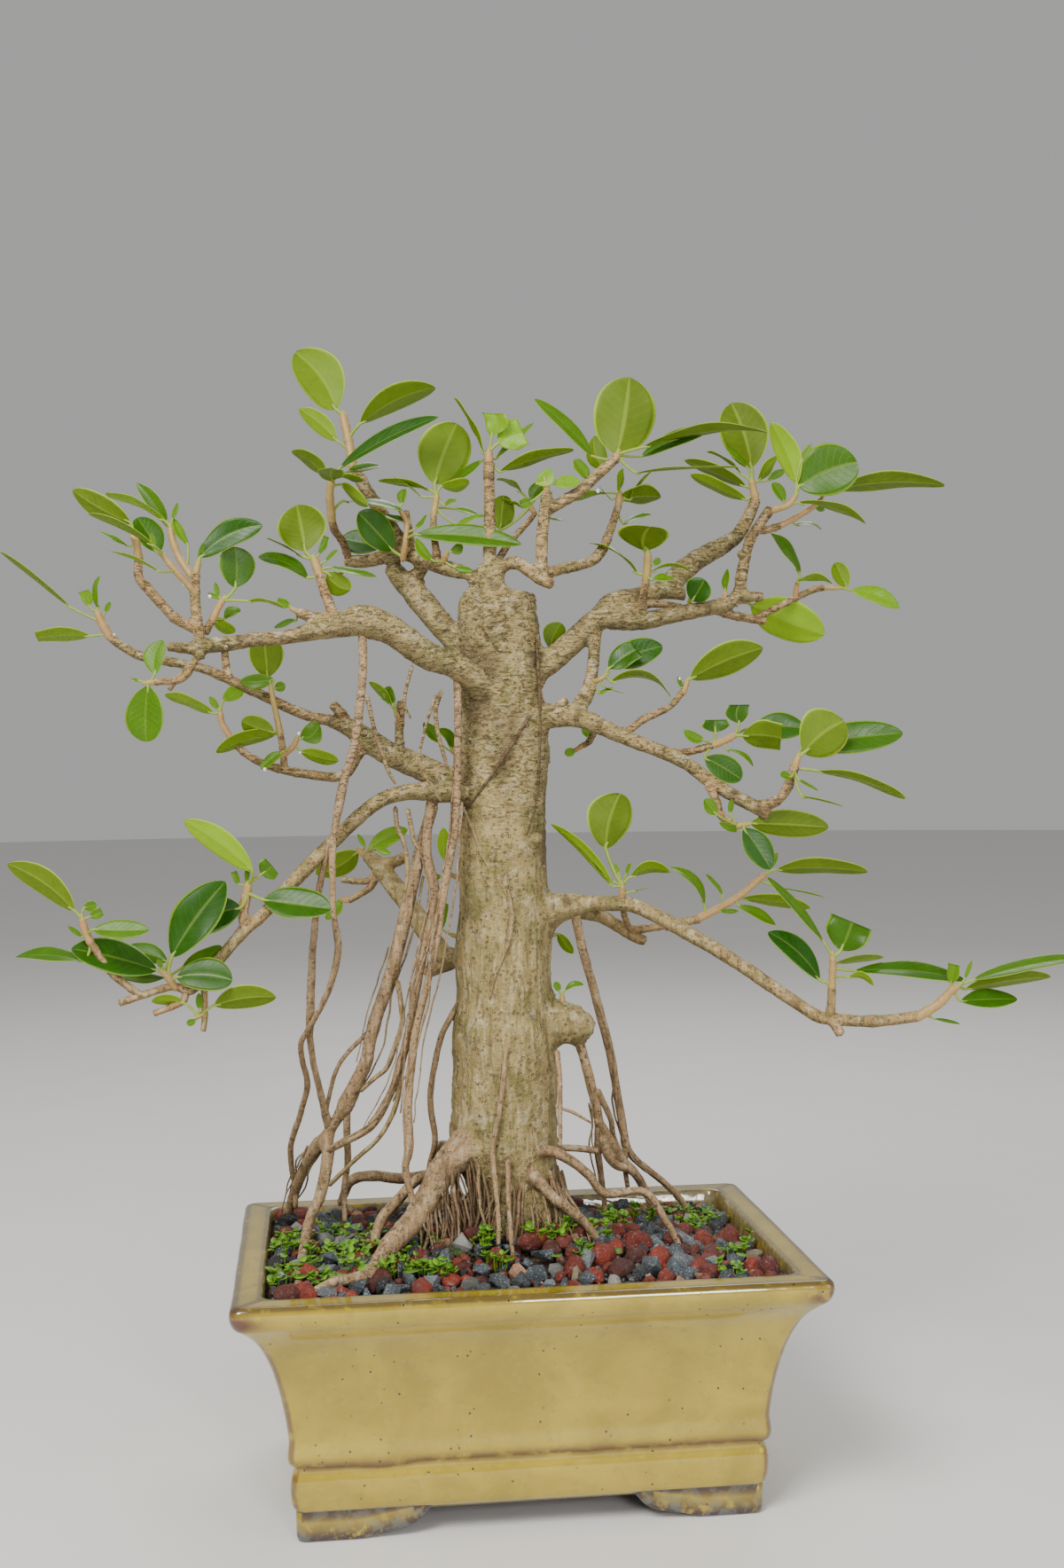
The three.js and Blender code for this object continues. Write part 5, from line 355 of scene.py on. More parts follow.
# Shoots: the stem's points as [u, w, depth, radius], then its leaves. A leaf is its place on the stem as a
# fractional point index, its base and its tip as [u, w, depth from the stem], its width, its tilt in degrees,
# its arch, how wide a trimmed blade is at the cut, and its bow sideways. Zeros at the end are left out.
SHOOTS = {
  "top_left": ([[-84, 556, 22, 2.6], [-86, 570, 25, 2.5], [-89, 585, 28, 2.2]],
    [[2, [-93, 588.5], [-115, 620, 8], 26.5, 165, 3, 0, 3],
    [1.1, [-79.7, 580.3, -3], [-38, 599.8, -8], 21.9, 130, 4.3],
    [0.7, [-92.8, 571.3], [-113.3, 589.1, 4], 10.9, 170, 1, 0, 1.2]]),
  "left_crown": ([[-96, 527, 8, 2.3], [-97, 541, 0, 2.2], [-96, 550, -3, 2]],
    [[2, [-98.7, 551.3], [-117.5, 565.9, -6], 13.9, 125, 2.1],
    [2, [-95.3, 549, -3], [-95.6, 556.3, -26], 14.5, 175, 0, 0, 0.8],
    [2, [-91.1, 556.3], [-36.5, 583.5, -8], 15.8, 60, 3.2],
    [2, [-86.2, 554, 4], [-69.2, 557.2, 12], 12, 66, 0.5],
    [0.2, [-89.9, 537.9, -3], [-56.7, 532.1, -8], 14, 76, 2.1],
    [1.5, [-90.6, 547.1, -4], [-76.1, 535.3, -14], 11.4, 125, -0.8],
    [2, [-90.2, 551.4, -2], [-78.9, 549.8, -8], 10, 114, -0.9]]),
  "left_round": ([[-103, 497, -35, 2.6], [-106, 506, -34, 2.4]],
    [[1, [-110.8, 510.6], [-115.3, 536], 28, 165, 2, 0, -0.3],
    [1, [-103.6, 508.5], [-99, 518.5], 4.8, 30, 0, 0.8, -0.5],
    [1, [-112.2, 507.5], [-131.9, 517.9], 14, 92, 0.5], [0, [-109.7, 496], [-137, 507.7], 14.2, 55, 3.4],
    [0.3, [-97.9, 501.4], [-71.8, 495.9], 12, 71],
    [0.3, [-99.1, 498.4], [-86.4, 489], 13.2, 160, 0, 0, -2.3], [0.6, [-100, 505], [-93, 511, -2], 5, 60]]),
  "left_arm": ([[-57, 505.5, 9, 1.8], [-56, 512, 5, 1.6], [-55, 520, 4, 1.5], [-55, 526, 5, 1.4],
    [-59, 534, 4, 1.2]],
    [[0.2, [-62.6, 510.4], [-81.4, 531.4, -12], 19, 20, 0, 0, 0.4],
    [0.2, [-68.4, 512.7, 20], [-91.2, 517.4, 28], 15.8, 25, 0, 0, 0.1],
    [1.5, [-49.9, 519.1, -6], [8.4, 512.8, -16], 13.9, 35, 0, 0, 2.4],
    [4, [-57.3, 535.9], [-55.4, 544.2], 6, 30, 0, 0, 1.1],
    [2, [-50.1, 522.3], [-43.7, 529.6], 5.2, 60, -0.7],
    [3, [-55.7, 525.9], [-66.3, 530, 6], 8.6, 60, -0.2]]),
  "crown_left": ([[-40, 529, 4, 1.9], [-38, 540, 4, 1.7]],
    [[1, [-39.2, 546.7], [-26.5, 579.9], 29.4, 175, 3, 0, 0.9],
    [1, [-41.5, 543.3], [-70.1, 548.6], 12, 109, 1.2], [1, [-35.4, 545.6], [-19.8, 547.7], 12, 127, -2.1],
    [1, [-46.2, 539.8], [-61.5, 550.7], 6, 88, 0.4], [1, [-33.8, 534.8], [-27.3, 537.6], 5.5, 60, 0.5, 0.7],
    [0.4, [-28.1, 532.9, 10], [-14, 528.7, 14], 8, 65, 0.4], [0.5, [-27, 524], [-12, 529, -3], 6, 60, 1]]),
  "arm_left_small": ([[-36, 501, 4, 1.8], [-33, 508, -3, 1.6]],
    [[1, [-30.7, 509.3], [-24.3, 513.3], 5.9, 0, 0, 0, -1],
    [0.5, [-40.6, 504.6, -4], [-49.8, 516.9, -6], 7.3, 40, 0, 0, -2.3],
    [0.5, [-28.7, 500.7, -4], [-18.5, 498.6, -6], 4.1, 0, 0, 0, -0.1]]),
  "crown_centre": ([[-9, 557.5, -5, 2.4], [-9, 564, -5, 2.2]],
    [[1, [-11.7, 563.3], [-27.7, 594], 14, 99, 1.3], [1, [-7.2, 572.8], [-5.6, 585], 13.6, 20, 0, 1, -2.4],
    [1, [-3.9, 568.6], [10.2, 574.5], 18.9, 20, 0, 0.9, 1.2],
    [0.6, [-3.2, 553.2], [37.9, 564.9, -5], 14, 119, 1.2],
    [0.6, [-5.1, 560.2, 8], [15.9, 579.7, 14], 7.3, 60, 0.3],
    [0.6, [-12.7, 559.3, 8], [-28.8, 548.7, 14], 9.1, 60, -1]]),
  "crown_low": ([[15.5, 530.5, 12, 1.5], [12, 537, 12, 1.4]],
    [[1, [14.6, 535.5], [24, 546.8], 9.4, 40, 0, 0, 3.5], [0, [18.4, 529.5], [32, 525.8], 10, 90, -1],
    [1, [9.2, 541.2], [-5.1, 548.5], 12, 104, 2.2], [0.5, [8.9, 533.6], [-1.6, 537.7, -3], 8, 104, 0.1],
    [0.5, [-3, 521], [-1, 540, -2], 15, 170, 1]]),
  "crown_stub": ([[23, 541.5, -15, 1.8], [22, 547, -16, 1.6]],
    [[1, [16.8, 546.2], [25.4, 553.7], 9.3, 20, 0, 0, -2.3],
    [1, [26.6, 546.2], [41.4, 547], 8.5, 30, 0, 0, 0.2], [0.4, [15, 537], [8, 535], 6, 0, 0, 0.8]]),
  "crown_right": ([[60.5, 559, -8, 2.3], [62, 562, -8, 2]],
    [[1, [61.7, 561.6], [69.1, 604.3, 2], 35.2, 172, 3, 0, -1.4],
    [0, [48.1, 561.1], [16.6, 592.7, -8], 11.7, 50, 2.3],
    [0, [54.9, 553.4, 14], [49.2, 572.1, 18], 12.6, 160, 0, 0, -2.4],
    [1, [71.9, 551.7], [128.4, 553.9, -10], 16, 92, 0.7],
    [1, [76.5, 565.7], [145.1, 573.2, -12], 18, 107, 4.5],
    [1, [75.3, 560.7, 6], [113.9, 575.8, 8], 13.6, 50, 1.6], [0.6, [46, 549], [38, 559, -2], 9, 40]]),
  "right_arm": ([[62, 532.5, 19, 2], [63, 540, 20, 1.8]],
    [[1, [62.4, 536.9], [85.7, 538.1], 16, 130, 1.5], [1, [62.7, 540.8], [65.1, 554.2], 8, 119, 0.2],
    [0.3, [64.5, 523.6, -3], [80.3, 528.5, -5], 10, 75, 0.6],
    [1, [58.5, 537.1], [51.9, 544.7], 6, 90, -0.5], [1, [56.3, 540.9], [26.6, 535.9], 12, 110, 0.1],
    [1, [68.5, 536.7], [80.8, 552.3], 8, 100, 0.8]]),
  "right_heart": ([[77, 492, 6, 2.3], [78, 502, 3, 2.3], [78, 507, 1, 2]],
    [[2, [76.4, 508.6], [79.4, 521.8, -18], 28.4, 172, 0, 0, 2.4],
    [0.3, [80.1, 497.2], [102.2, 496.6], 10, 100, 3.2],
    [0.3, [79.9, 492.7, -3], [92.6, 492.4, -5], 7.8, 60, 0.9],
    [0.3, [72.1, 496.3], [45.7, 513.2, -4], 12, 88, 3.4], [1, [81, 501], [85, 504], 4, 0]]),
  "upper_right": ([[138, 535.5, 73, 2.4], [136, 546, 72, 2]],
    [[1, [136, 553.4], [125, 589.3], 26.6, 172, 0, 0, 1.8], [1, [139.6, 546.4], [150.3, 560], 9, 130, 0.1],
    [0.4, [132.6, 535.9], [102.3, 550.3], 11.2, 130, -0.1],
    [0.6, [132.6, 543.2, 5], [98.9, 558.1, 8], 14, 123, 0.8],
    [1, [130.3, 550.2, 3], [111.3, 562.7, 6], 10, 100, 1.8],
    [1, [133.4, 554.1], [121.8, 564.8], 6.3, 60, 0.5],
    [1, [144.5, 546.4], [154.6, 552.2], 4.9, 20, 0, 0, 0.3]]),
  "right_top": ([[145.3, 529.5, 30, 1.9], [150, 531, 28, 1.8], [156, 533, 27, 1.8], [160, 538, 27, 1.5]],
    [[3, [161, 544.4], [146.7, 578.4], 14.1, 160, 3, 0, 0.8],
    [3, [161.7, 543], [194.2, 556, -5], 30, 15, 0, 0, 2.2],
    [1, [153.8, 534.6], [147.3, 545.2], 8, 40, 0, 0, 0.4], [2, [161.4, 534], [198.6, 522], 14, 109, 3.3],
    [3, [163, 558], [169, 566], 4, 0]]),
  "right_long": ([[150.5, 521.3, 36, 1.8], [160, 526, 38, 1.7], [170, 532, 40, 1.5], [174, 536, 42, 1.3]],
    [[3, [178.2, 540.1], [242.3, 542.8], 15.4, 130, 4.4],
    [0.8, [159.9, 521.9, 6], [174.2, 519.2, 8], 8, 75, 1.6], [2, [171, 531], [176, 530], 3, 0]]),
  "right_mid": ([[159, 481.5, 52, 1.6], [160.5, 490, 48, 1.4]],
    [[1, [161.8, 495], [146, 517.6], 13, 62, 1.9],
    [1, [160.2, 490.2, -4], [179.8, 489.3, -8], 9, 116, 3.2]]),
  "right_mid_end": ([[174.5, 487, 59, 1.5], [183, 487, 57, 1.3]],
    [[1, [187.8, 487.2], [181.5, 500.8], 10, 170], [1, [190.1, 485.5], [216.8, 475.6], 10.4, 30, 2, 0, 1]]),
  "right_hidden": ([[128, 480, 40, 1.6], [133, 480, 47, 1.5]],
    [[1, [134.6, 478.1, 6], [175, 461, 12], 25, 160, 0, 0, -0.5]]),
  "right_bud": ([[120, 478, 31, 1.4], [120.5, 485, 30, 1.2]],
    [[1, [120.8, 485.3], [122.2, 498.2], 7.8, 60, 0.2]]),
  "right_sprout": ([[100, 475, 27, 1.4], [101, 481, 26, 1.2]],
    [[1, [102.2, 480.6, -6], [109.4, 492.3, -10], 16, 20, 0, 0, -0.2]]),
  "trunk_sprout": ([[18, 449, 10, 1.5], [22, 455, 17, 1.3]],
    [[1, [23.5, 455.3, 2], [30.1, 469.1, 6], 13, 165, 0, 0, 1.3]]),
  "link_sprout": ([[45.5, 436, -1, 1.6], [51, 438, -6, 1.4], [54, 440, -6, 1.3]],
    [[2, [55.7, 443.8], [71.5, 454.4], 15.2, 30, 0, 0.8, 0.8],
    [2, [57.5, 445.6, 6], [85.6, 455.8, 8], 17.2, 20, 0, 0, 1.4],
    [2, [57.2, 436.8], [89.7, 427.8, -14], 14, 107, 7.8], [1, [53, 434], [64, 430], 4, 88],
    [0.6, [50, 430], [58, 433, -2], 5, 60]]),
  "right_inner": ([[96.5, 429.5, 5, 1.9], [99, 436, 5, 1.7]],
    [[1, [100.9, 437.8], [141.1, 454.2], 20.6, 150, 0, 0, 2.3],
    [0.5, [96, 433, -2], [94, 439, -3], 2.5, 0]]),
  "right_tuft": ([[111.5, 400.4, -22, 2], [119, 403, -20, 2], [125, 406, -18, 1.7]],
    [[2, [127.5, 412.7], [127.5, 423.1], 13, 10, 0, 0.9, -1.5],
    [0.3, [114.3, 407.9], [114.2, 414.9], 16.4, 20, 0, 0.8, -0.2],
    [0.3, [108.1, 403.7, -4], [96.8, 409, -6], 6.8, 30, 0, 0, -1.3],
    [2, [129, 406, -2], [150.7, 404.5, -4], 18.9, 150, 0, 0.9, 1.3],
    [2, [135.6, 410.7, 10], [164.3, 409.5, 12], 15.7, 15, 0, 0, 1.1],
    [1, [120.7, 398.1, -2], [135.1, 389, -4], 5.1, 60, 2.7],
    [0.3, [108.6, 394, -5], [128.4, 381.8, -10], 14.7, 15, 0, 0, 0.5]]),
  "right_round": ([[157.7, 387.5, -76, 2], [160, 394, -76, 2]],
    [[1, [163, 396.1], [185.5, 413.4], 29, 165, 0, 0, 2.1],
    [1, [165.1, 399.9, 8], [217.9, 406.3, 10], 18.7, 15, 0, 0, 1.1],
    [0, [170.1, 386.1], [219, 370], 14, 112, 3], [0, [160, 381.3, -4], [170.7, 375.1, -6], 5, 67, -0.2],
    [0.2, [156, 383, -5], [150, 384, -7], 6, 40],
    [0.2, [161.8, 372.1, -6], [184.6, 366.2, -8], 11, 92, 0.5]]),
  "right_down": ([[125, 356, -62, 1.8], [131, 357, -63, 1.6]],
    [[1, [133.1, 357.5], [176.4, 354.8], 16.6, 160, 0, 0, 0.6],
    [1, [129.4, 354.8, -2], [144.1, 332, -4], 16.2, 20, 0, 0, 0.7],
    [0.3, [114.5, 362.7, -8], [107.7, 370.7, -10], 8.6, 30, 0, 0, -0.1],
    [0.3, [122, 363], [123, 371], 3.5, 0], [0.3, [126, 353], [116, 358, -8], 4, 0]]),
  "right_fork": ([[103.5, 304.9, 24, 2.3], [116, 311, 28, 2.1], [127, 317.5, 32, 2], [137, 326, 35, 1.9],
    [141, 329, 36, 1.6]],
    [[4, [147, 331.6], [197.7, 329.9], 14.1, 130, 2.1], [4, [143, 332], [148, 341], 4, 0],
    [3, [149.1, 321.8], [173.8, 316.1], 8, 92, 0.1],
    [2, [128.4, 315.8, 4], [165.9, 310, 6], 12.4, 125, 1.6],
    [1.8, [126.2, 312, -3], [146.7, 301, -5], 11.2, 60, 0.9],
    [1, [117.5, 318.1], [108.1, 329.6], 4.9, 60, 0.8], [1, [116, 309, -3], [126, 309, -4], 3, 0, -2],
    [0.3, [107.4, 313.1], [88.7, 333.6], 10.6, 60, 4.8]]),
  "right_trimmed": ([[177.3, 266, -61, 2.2], [178, 277, -62, 2.1], [178, 283, -63, 1.9]],
    [[2, [182.4, 286.5], [189, 302.3], 25.1, 15, 0, 1, -0.4],
    [1.7, [179.3, 279.5, 4], [206.1, 282.3, 8], 12, 110], [1, [189.9, 275], [251.3, 269], 14.1, 50, 3.8],
    [2, [173.1, 291.3], [142.3, 327.4], 10.2, 60, 1.7],
    [0.2, [170.7, 270.3], [142.3, 297], 17.3, 40, 0, 0, 4.4],
    [0.5, [186.4, 271.8, -8], [200.5, 267.1, -10], 7, 125, 3.6]]),
  "right_branch_top": ([[62, 316, -14, 1.9], [62, 324, -17, 1.7]],
    [[1, [53.1, 344.5], [61.4, 374.8], 26.3, 160, 0, 0, 2.3],
    [1, [56.6, 323.6], [23, 358.5, -12], 9.1, 130, 3.3], [1, [57.4, 326.1], [43.4, 338.8], 5, 90, -1.8],
    [1, [60, 331], [58, 336], 2.5, 0], [1, [66.5, 328.6], [88.5, 331.2], 12.1, 125, 4.4],
    [0.4, [68.6, 320.6, -4], [77, 321.5, -6], 5, 88, 0.6], [0.6, [64, 330], [67, 336, -2], 5, 60]]),
  "far_right": ([[224, 248.8, -69, 2.9], [236, 256, -70, 2.7], [243, 263, -71, 2.4], [247, 266, -73, 1.9]],
    [[3, [255.6, 269.2], [317.5, 281, -4], 13, 55, 2.3],
    [3, [251.2, 264.3, 3], [298.6, 270.5, 6], 14.5, 125, 1.8],
    [2.5, [248.7, 257.7], [279.9, 258.2], 13.9, 40, 0, 0, 0.6],
    [2, [243.1, 266.9], [245.4, 278], 8.1, 30, 0, 0.9, -0.5], [3, [251, 270], [255, 280], 2.5, 0],
    [0.3, [234, 248], [248, 245], 4, 60]]),
  "far_left_top": ([[-203, 507, -65, 2.4], [-204, 516, -66, 2], [-206, 520, -66, 1.8]],
    [[2, [-207, 527.2], [-238.9, 545.7], 15.1, 150, 0, 0, -1.2],
    [1, [-208.6, 514.3], [-223.7, 522.5], 4.6, 60, 0.2]]),
  "left_fan": ([[-171.5, 488, -59, 1.8], [-183, 501, -66, 1.8], [-190, 510, -67, 1.6]],
    [[2, [-194.6, 514.5, -8], [-230.3, 532.5, -13], 13, 108, 1.3],
    [2, [-191.8, 510.5, 12], [-203.4, 530, 16], 16.4, 25, 0, 0, 0.8], [2, [-194, 512], [-196, 522], 3, 0],
    [1, [-191.9, 500.4, -9], [-218.4, 511.9, -14], 7, 105, 1.1]]),
  "left_top": ([[-172, 495, -57.5, 2], [-180, 507, -52, 2], [-184, 517, -51, 2], [-185, 524, -50, 1.8]],
    [[3, [-187.9, 528], [-220.2, 542.7], 14, 108, 2, 0.6],
    [3, [-187.9, 526.4, 4], [-203.4, 549.4, 8], 13.1, 50, 1.4], [3, [-184, 529], [-181, 538], 3, 0],
    [0.6, [-175.7, 514.6, 4], [-183.2, 529.5, 6], 6.9, 40, 0, 0, -1.3]]),
  "left_right": ([[-172, 498, -57, 2], [-170, 505, -57, 1.8]],
    [[1, [-168.9, 508.1], [-134.4, 525.4], 16.6, 25, 0, 0, 4], [1, [-170, 506], [-167, 516], 3, 0]]),
  "left_inner": ([[-163.2, 472.5, -52, 2], [-160, 479, -52, 2], [-157, 484, -52, 1.8]],
    [[2, [-149.8, 491], [-149.8, 513.5], 21.2, 20, 0, 0, 0.9],
    [2, [-143.1, 483.4], [-122.5, 479], 10, 102, 1.7], [2, [-159, 486], [-161, 494], 3, 0],
    [2, [-158, 485], [-165, 488], 3, 0], [0.5, [-156.2, 473.8, 6], [-147.1, 478.7, 8], 6.7, 30, 0, 0, 2],
    [0.3, [-161.6, 473, 8], [-150.1, 466.4, 14], 8.2, 150, 0, 0, -1.1]]),
  "left_tip": ([[-219.5, 464.5, 30, 2.5], [-224, 473, 30, 2.4], [-226, 478, 30, 2]],
    [[1, [-241, 481.1], [-279.3, 512.3], 14, 102, 0.2],
    [0.2, [-230.2, 465.2], [-260, 464.7], 13, 130, 1.1, 0.7],
    [2, [-225.7, 480.5], [-224.8, 498.2], 6.3, 60, 2.2],
    [2, [-230.7, 481.4], [-233.6, 490], 6.6, 0, 0, 0.9, 0.7], [1, [-222, 478], [-219, 484], 3, 0]]),
  "left_twig": ([[-194.5, 439.5, -59, 1.8], [-200, 439, -60, 1.5]],
    [[0.6, [-195, 443.8], [-190.9, 462.4, 4], 12.5, 25, 0, 0, 2.3],
    [1, [-198.8, 437.3], [-200.1, 406.5], 22.3, 20, 0, 0, 1.1],
    [1, [-203.3, 440.3], [-208, 441.4], 5, 63, -0.8]]),
  "left_low_twig": ([[-152.5, 406.5, 17, 1.9], [-158, 416, 18, 1.7], [-159, 422, 18, 1.5]],
    [[2, [-162.9, 421.7], [-189.5, 432.4], 11.2, 125, 0.8], [2, [-160, 424], [-165, 431], 4, 0],
    [2, [-157.3, 428.6], [-147.8, 437.2, 8], 9.6, 25, 0, 0, -1.3]]),
  "left_low_mid": ([[-126, 409.5, 16, 2], [-128, 420, 16, 1.6], [-130, 430, 17, 1.5], [-131, 437, 17, 1.4]],
    [[3, [-132.6, 441.3], [-134.8, 465.6, -6], 19.5, 170, 0, 0, 0.2],
    [3, [-129.1, 440.1], [-147.7, 439.2, -4], 8.6, 0, 0, 0, -0.6], [3, [-129, 435], [-123, 437], 6, 0],
    [0.2, [-127, 410.3], [-161.8, 400.4, -8], 13, 132, 2],
    [0.3, [-129.5, 410.8, -3], [-147.3, 417.4, -8], 12.7, 160, 0, 0, -0.7]]),
  "left_low_fork": ([[-124.5, 398, 14.5, 1.7], [-119, 403, 10, 1.6], [-117, 407, 9, 1.5]],
    [[2, [-114.7, 407.2], [-104.5, 415.3], 13.1, 25, 0, 0, -2.8],
    [1.5, [-114.9, 400.1], [-94.1, 394.6], 10.5, 140, 0, 0, -0.8],
    [0.6, [-124.9, 400, -4], [-137.1, 390.7, -5], 7.4, 40, 0, 0, 0.8]]),
  "left_low_end": ([[-232.5, 295.3, -82, 2.2], [-236, 304, -83, 2.1], [-237, 309, -84, 1.9]],
    [[2, [-241.2, 313.5], [-277.8, 339.7], 16, 150, 2, 0, 2.7], [2, [-233, 310], [-226, 313], 6, 0, 0, 0.8],
    [2, [-236, 315], [-229, 317], 6, 0], [0.5, [-237, 299], [-245, 305], 3, 0],
    [0.5, [-231.2, 303, -4], [-200.1, 302.4, -6], 12.6, 30, 0, 0, -0.5],
    [0, [-236.4, 285.7], [-274.2, 288.3], 13.2, 55, 2.2]]),
  "left_low_leaves": ([[-186, 270, -64, 2.2], [-190, 276, -68, 2], [-193, 279, -69, 1.7]],
    [[2, [-196, 279.9], [-243.3, 292.4, -15], 21.7, 30, 0, 0, 1.2],
    [2, [-190.2, 284.5, 6], [-214.9, 292, 8], 13.3, 35, 0, 0, 1.8],
    [1, [-191.2, 275.7, 10], [-219.5, 278.3, 14], 9, 50, -2.3],
    [1, [-187.8, 287.4], [-157.5, 328.5, 5], 26.4, 25, 0, 0, 2],
    [0.6, [-185.3, 276.1, -2], [-154.5, 274, -4], 19.7, 20, 0, 0, 2.3],
    [1, [-182.3, 281.1, 8], [-160, 292.7, 14], 11.8, 25, 0, 0, -1.7], [2, [-193, 281], [-196, 286], 3, 0]]),
  "left_bottom": ([[-170, 256, -61, 1.5], [-174, 254, -64, 1.4]],
    [[0.3, [-164.7, 260.2, -4], [-130.5, 264.5, -8], 15.3, 150, 0, 0, 2.3],
    [1, [-181.2, 261.6], [-199.3, 262.9, -4], 9.5, 130, 1.5], [1, [-173, 258], [-173, 267], 4, 0],
    [1, [-175, 252], [-180, 250], 4, 0]]),
  "left_low_up": ([[-146.2, 319.5, -49, 2.6], [-145, 327, -49, 2.2]],
    [[1, [-142.4, 334.3, -6], [-180, 362.8, -8], 15, 160, 0, 0, 2.1], [1, [-146, 328], [-145, 337], 3, 0],
    [1, [-150, 327], [-153, 334], 4, 0, 0, 0.9],
    [1, [-137.7, 332.3], [-131.6, 337.2], 12.9, 0, 0, 0.9, -0.3],
    [0.4, [-136.8, 318.4, -6], [-99.3, 312.8, -12], 20.7, 30, 0, 0, 0.1],
    [0.4, [-149.2, 314.3, -6], [-181, 305.8, -14], 22.3, 20, 0, 0, 0.7]]),
  "behind_left": ([[-78.5, 341.5, 63, 2.3], [-83, 345, 66, 2]],
    [[1, [-84, 344.2], [-107.1, 331.9, 8], 16.4, 150, 0, 0, -1.8],
    [0.4, [-78.1, 345.6], [-56.4, 356.4], 12.8, 40, 0, 0, 0.9], [1, [-80, 347], [-84, 354], 3, 0],
    [0.4, [-74, 346, -4], [-66, 343, -6], 4, 0]]),
  "behind_low": ([[-88.5, 317.7, 64, 1.9], [-93, 318, 67, 1.6]],
    [[1, [-92.7, 318.7], [-102.5, 307.2], 7.4, 30, 0, 0, -1.6]]),
  "trunk_left_bud": ([[-26, 328, 16, 1.6], [-35, 332, 20, 1.4]],
    [[1, [-36.2, 339.2], [-36.6, 357.1], 8, 160, 0, 0, -0.1], [1, [-38, 330], [-46, 330], 4, 0]]),
  "trunk_low_bud": ([[-27, 296, 14, 1.5], [-33, 298, 18, 1.3]],
    [[1, [-37.8, 301.1], [-34.9, 315.1], 7.4, 40, 0, 0, 1.6]]),
  "cut_stem_shoot": ([[-60, 416, 12, 1.5], [-62, 421, 6, 1.3]],
    [[1, [-64.2, 424.5], [-76.7, 438], 10, 119, 1.1],
    [1, [-62.7, 426.3], [-66.5, 435.5], 7.8, 0, 0, 0, -1.9]]),
  "trunk_upper_bud": ([[-25, 395, 14, 1.5], [-31, 399, 19, 1.3]],
    [[1, [-31.1, 400.6, 3], [-37.9, 411.9, 6], 8.7, 40, 0, 0, 2.7],
    [1, [-37.9, 403.8, 8], [-46.7, 415.4, 12], 8, 30]]),
  "trunk_right_bud": ([[19, 297, 10, 1.5], [24, 297, 14, 1.3]],
    [[1, [26, 297.8], [34.3, 286.6], 7, 150, 0, 0, -0.6]]),
  "knob_buds": ([[28, 256, 2, 1.7], [28, 263, 2, 1.5]],
    [[1, [26.4, 265.6], [24.2, 271], 4.1, 0, 0, 0, 0.2],
    [1, [29.7, 266.3], [40, 269.3], 4, 30, 2, 0, 1.1]]),
  "right_bit": ([[41.5, 402, 9, 1.5], [37, 399, 12, 1.3]],
    [[1, [37, 399], [31, 397], 5, 0], [0.4, [44, 406, 4], [42, 413, 6], 5, 0]]),
  "left_stub_bits": ([[-114, 476.6, -38, 1.4], [-119, 479, -38, 1.3]],
    [[1, [-119.5, 480.4], [-126.8, 483.1], 5.6, 0, 0, 0.8, 0.2],
    [0.5, [-116.4, 472.4, 4], [-128.6, 469, 14], 7.3, 60]]),
}

# Lime green leaves and how lime they are: by u and w of the middle, and by shoot and leaf number.
LIME_SPOTS = [(-184, 276, 1), (-77, 346, 0.9)]
LIME_REACH = 12
LIME_LEAVES = {
    "crown_left": {0: 0.2}, "left_top": {0: 1}, "right_top": {0: 0.7}, "left_twig": {1: 0.3},
    "left_low_up": {0: 0.8}, "right_hidden": {0: 0.8}, "right_mid_end": {1: 0.8},
    "crown_centre": {1: 0.8, 2: 0.9, 4: 0.5}, "crown_stub": {0: 0.8, 1: 0.8},
}
# Drops of latex at the cuts: u and w.
LATEX = [
    (-180, 492), (-166, 484), (-214, 456), (-214, 465), (-117, 413), (-134, 390), (-118, 395), (95, 438),
    (51, 542),
]
# Shoots whose leaves are still light.
YOUNG_SHOOTS = {"top_left", "crown_left", "left_top", "right_top", "left_twig", "left_tip"}

# Looser parts of the soil. Stone kinds: share of all stones, colour in linear light, and how speckled.
STONE_KINDS = [
    (0.36, (0.085, 0.108, 0.125), 1.0),
    (0.13, (0.22, 0.25, 0.265), 0.8),
    (0.22, (0.27, 0.030, 0.010), 0.25),
    (0.09, (0.20, 0.028, 0.012), 0.25),
    (0.08, (0.022, 0.024, 0.027), 0.5),
    (0.05, (0.50, 0.23, 0.13), 0.4),
    (0.03, (0.58, 0.45, 0.27), 0.3),
    (0.04, (0.34, 0.33, 0.30), 0.2),
]
LAVA_KINDS = (2, 3)
# A stone's half sizes, as shares of half its size, and how light it is.
STONE_RADII = ((0.8, 1.15), (0.72, 1.0), (0.6, 0.85))
STONE_SHADES = (0.3, 0.95)
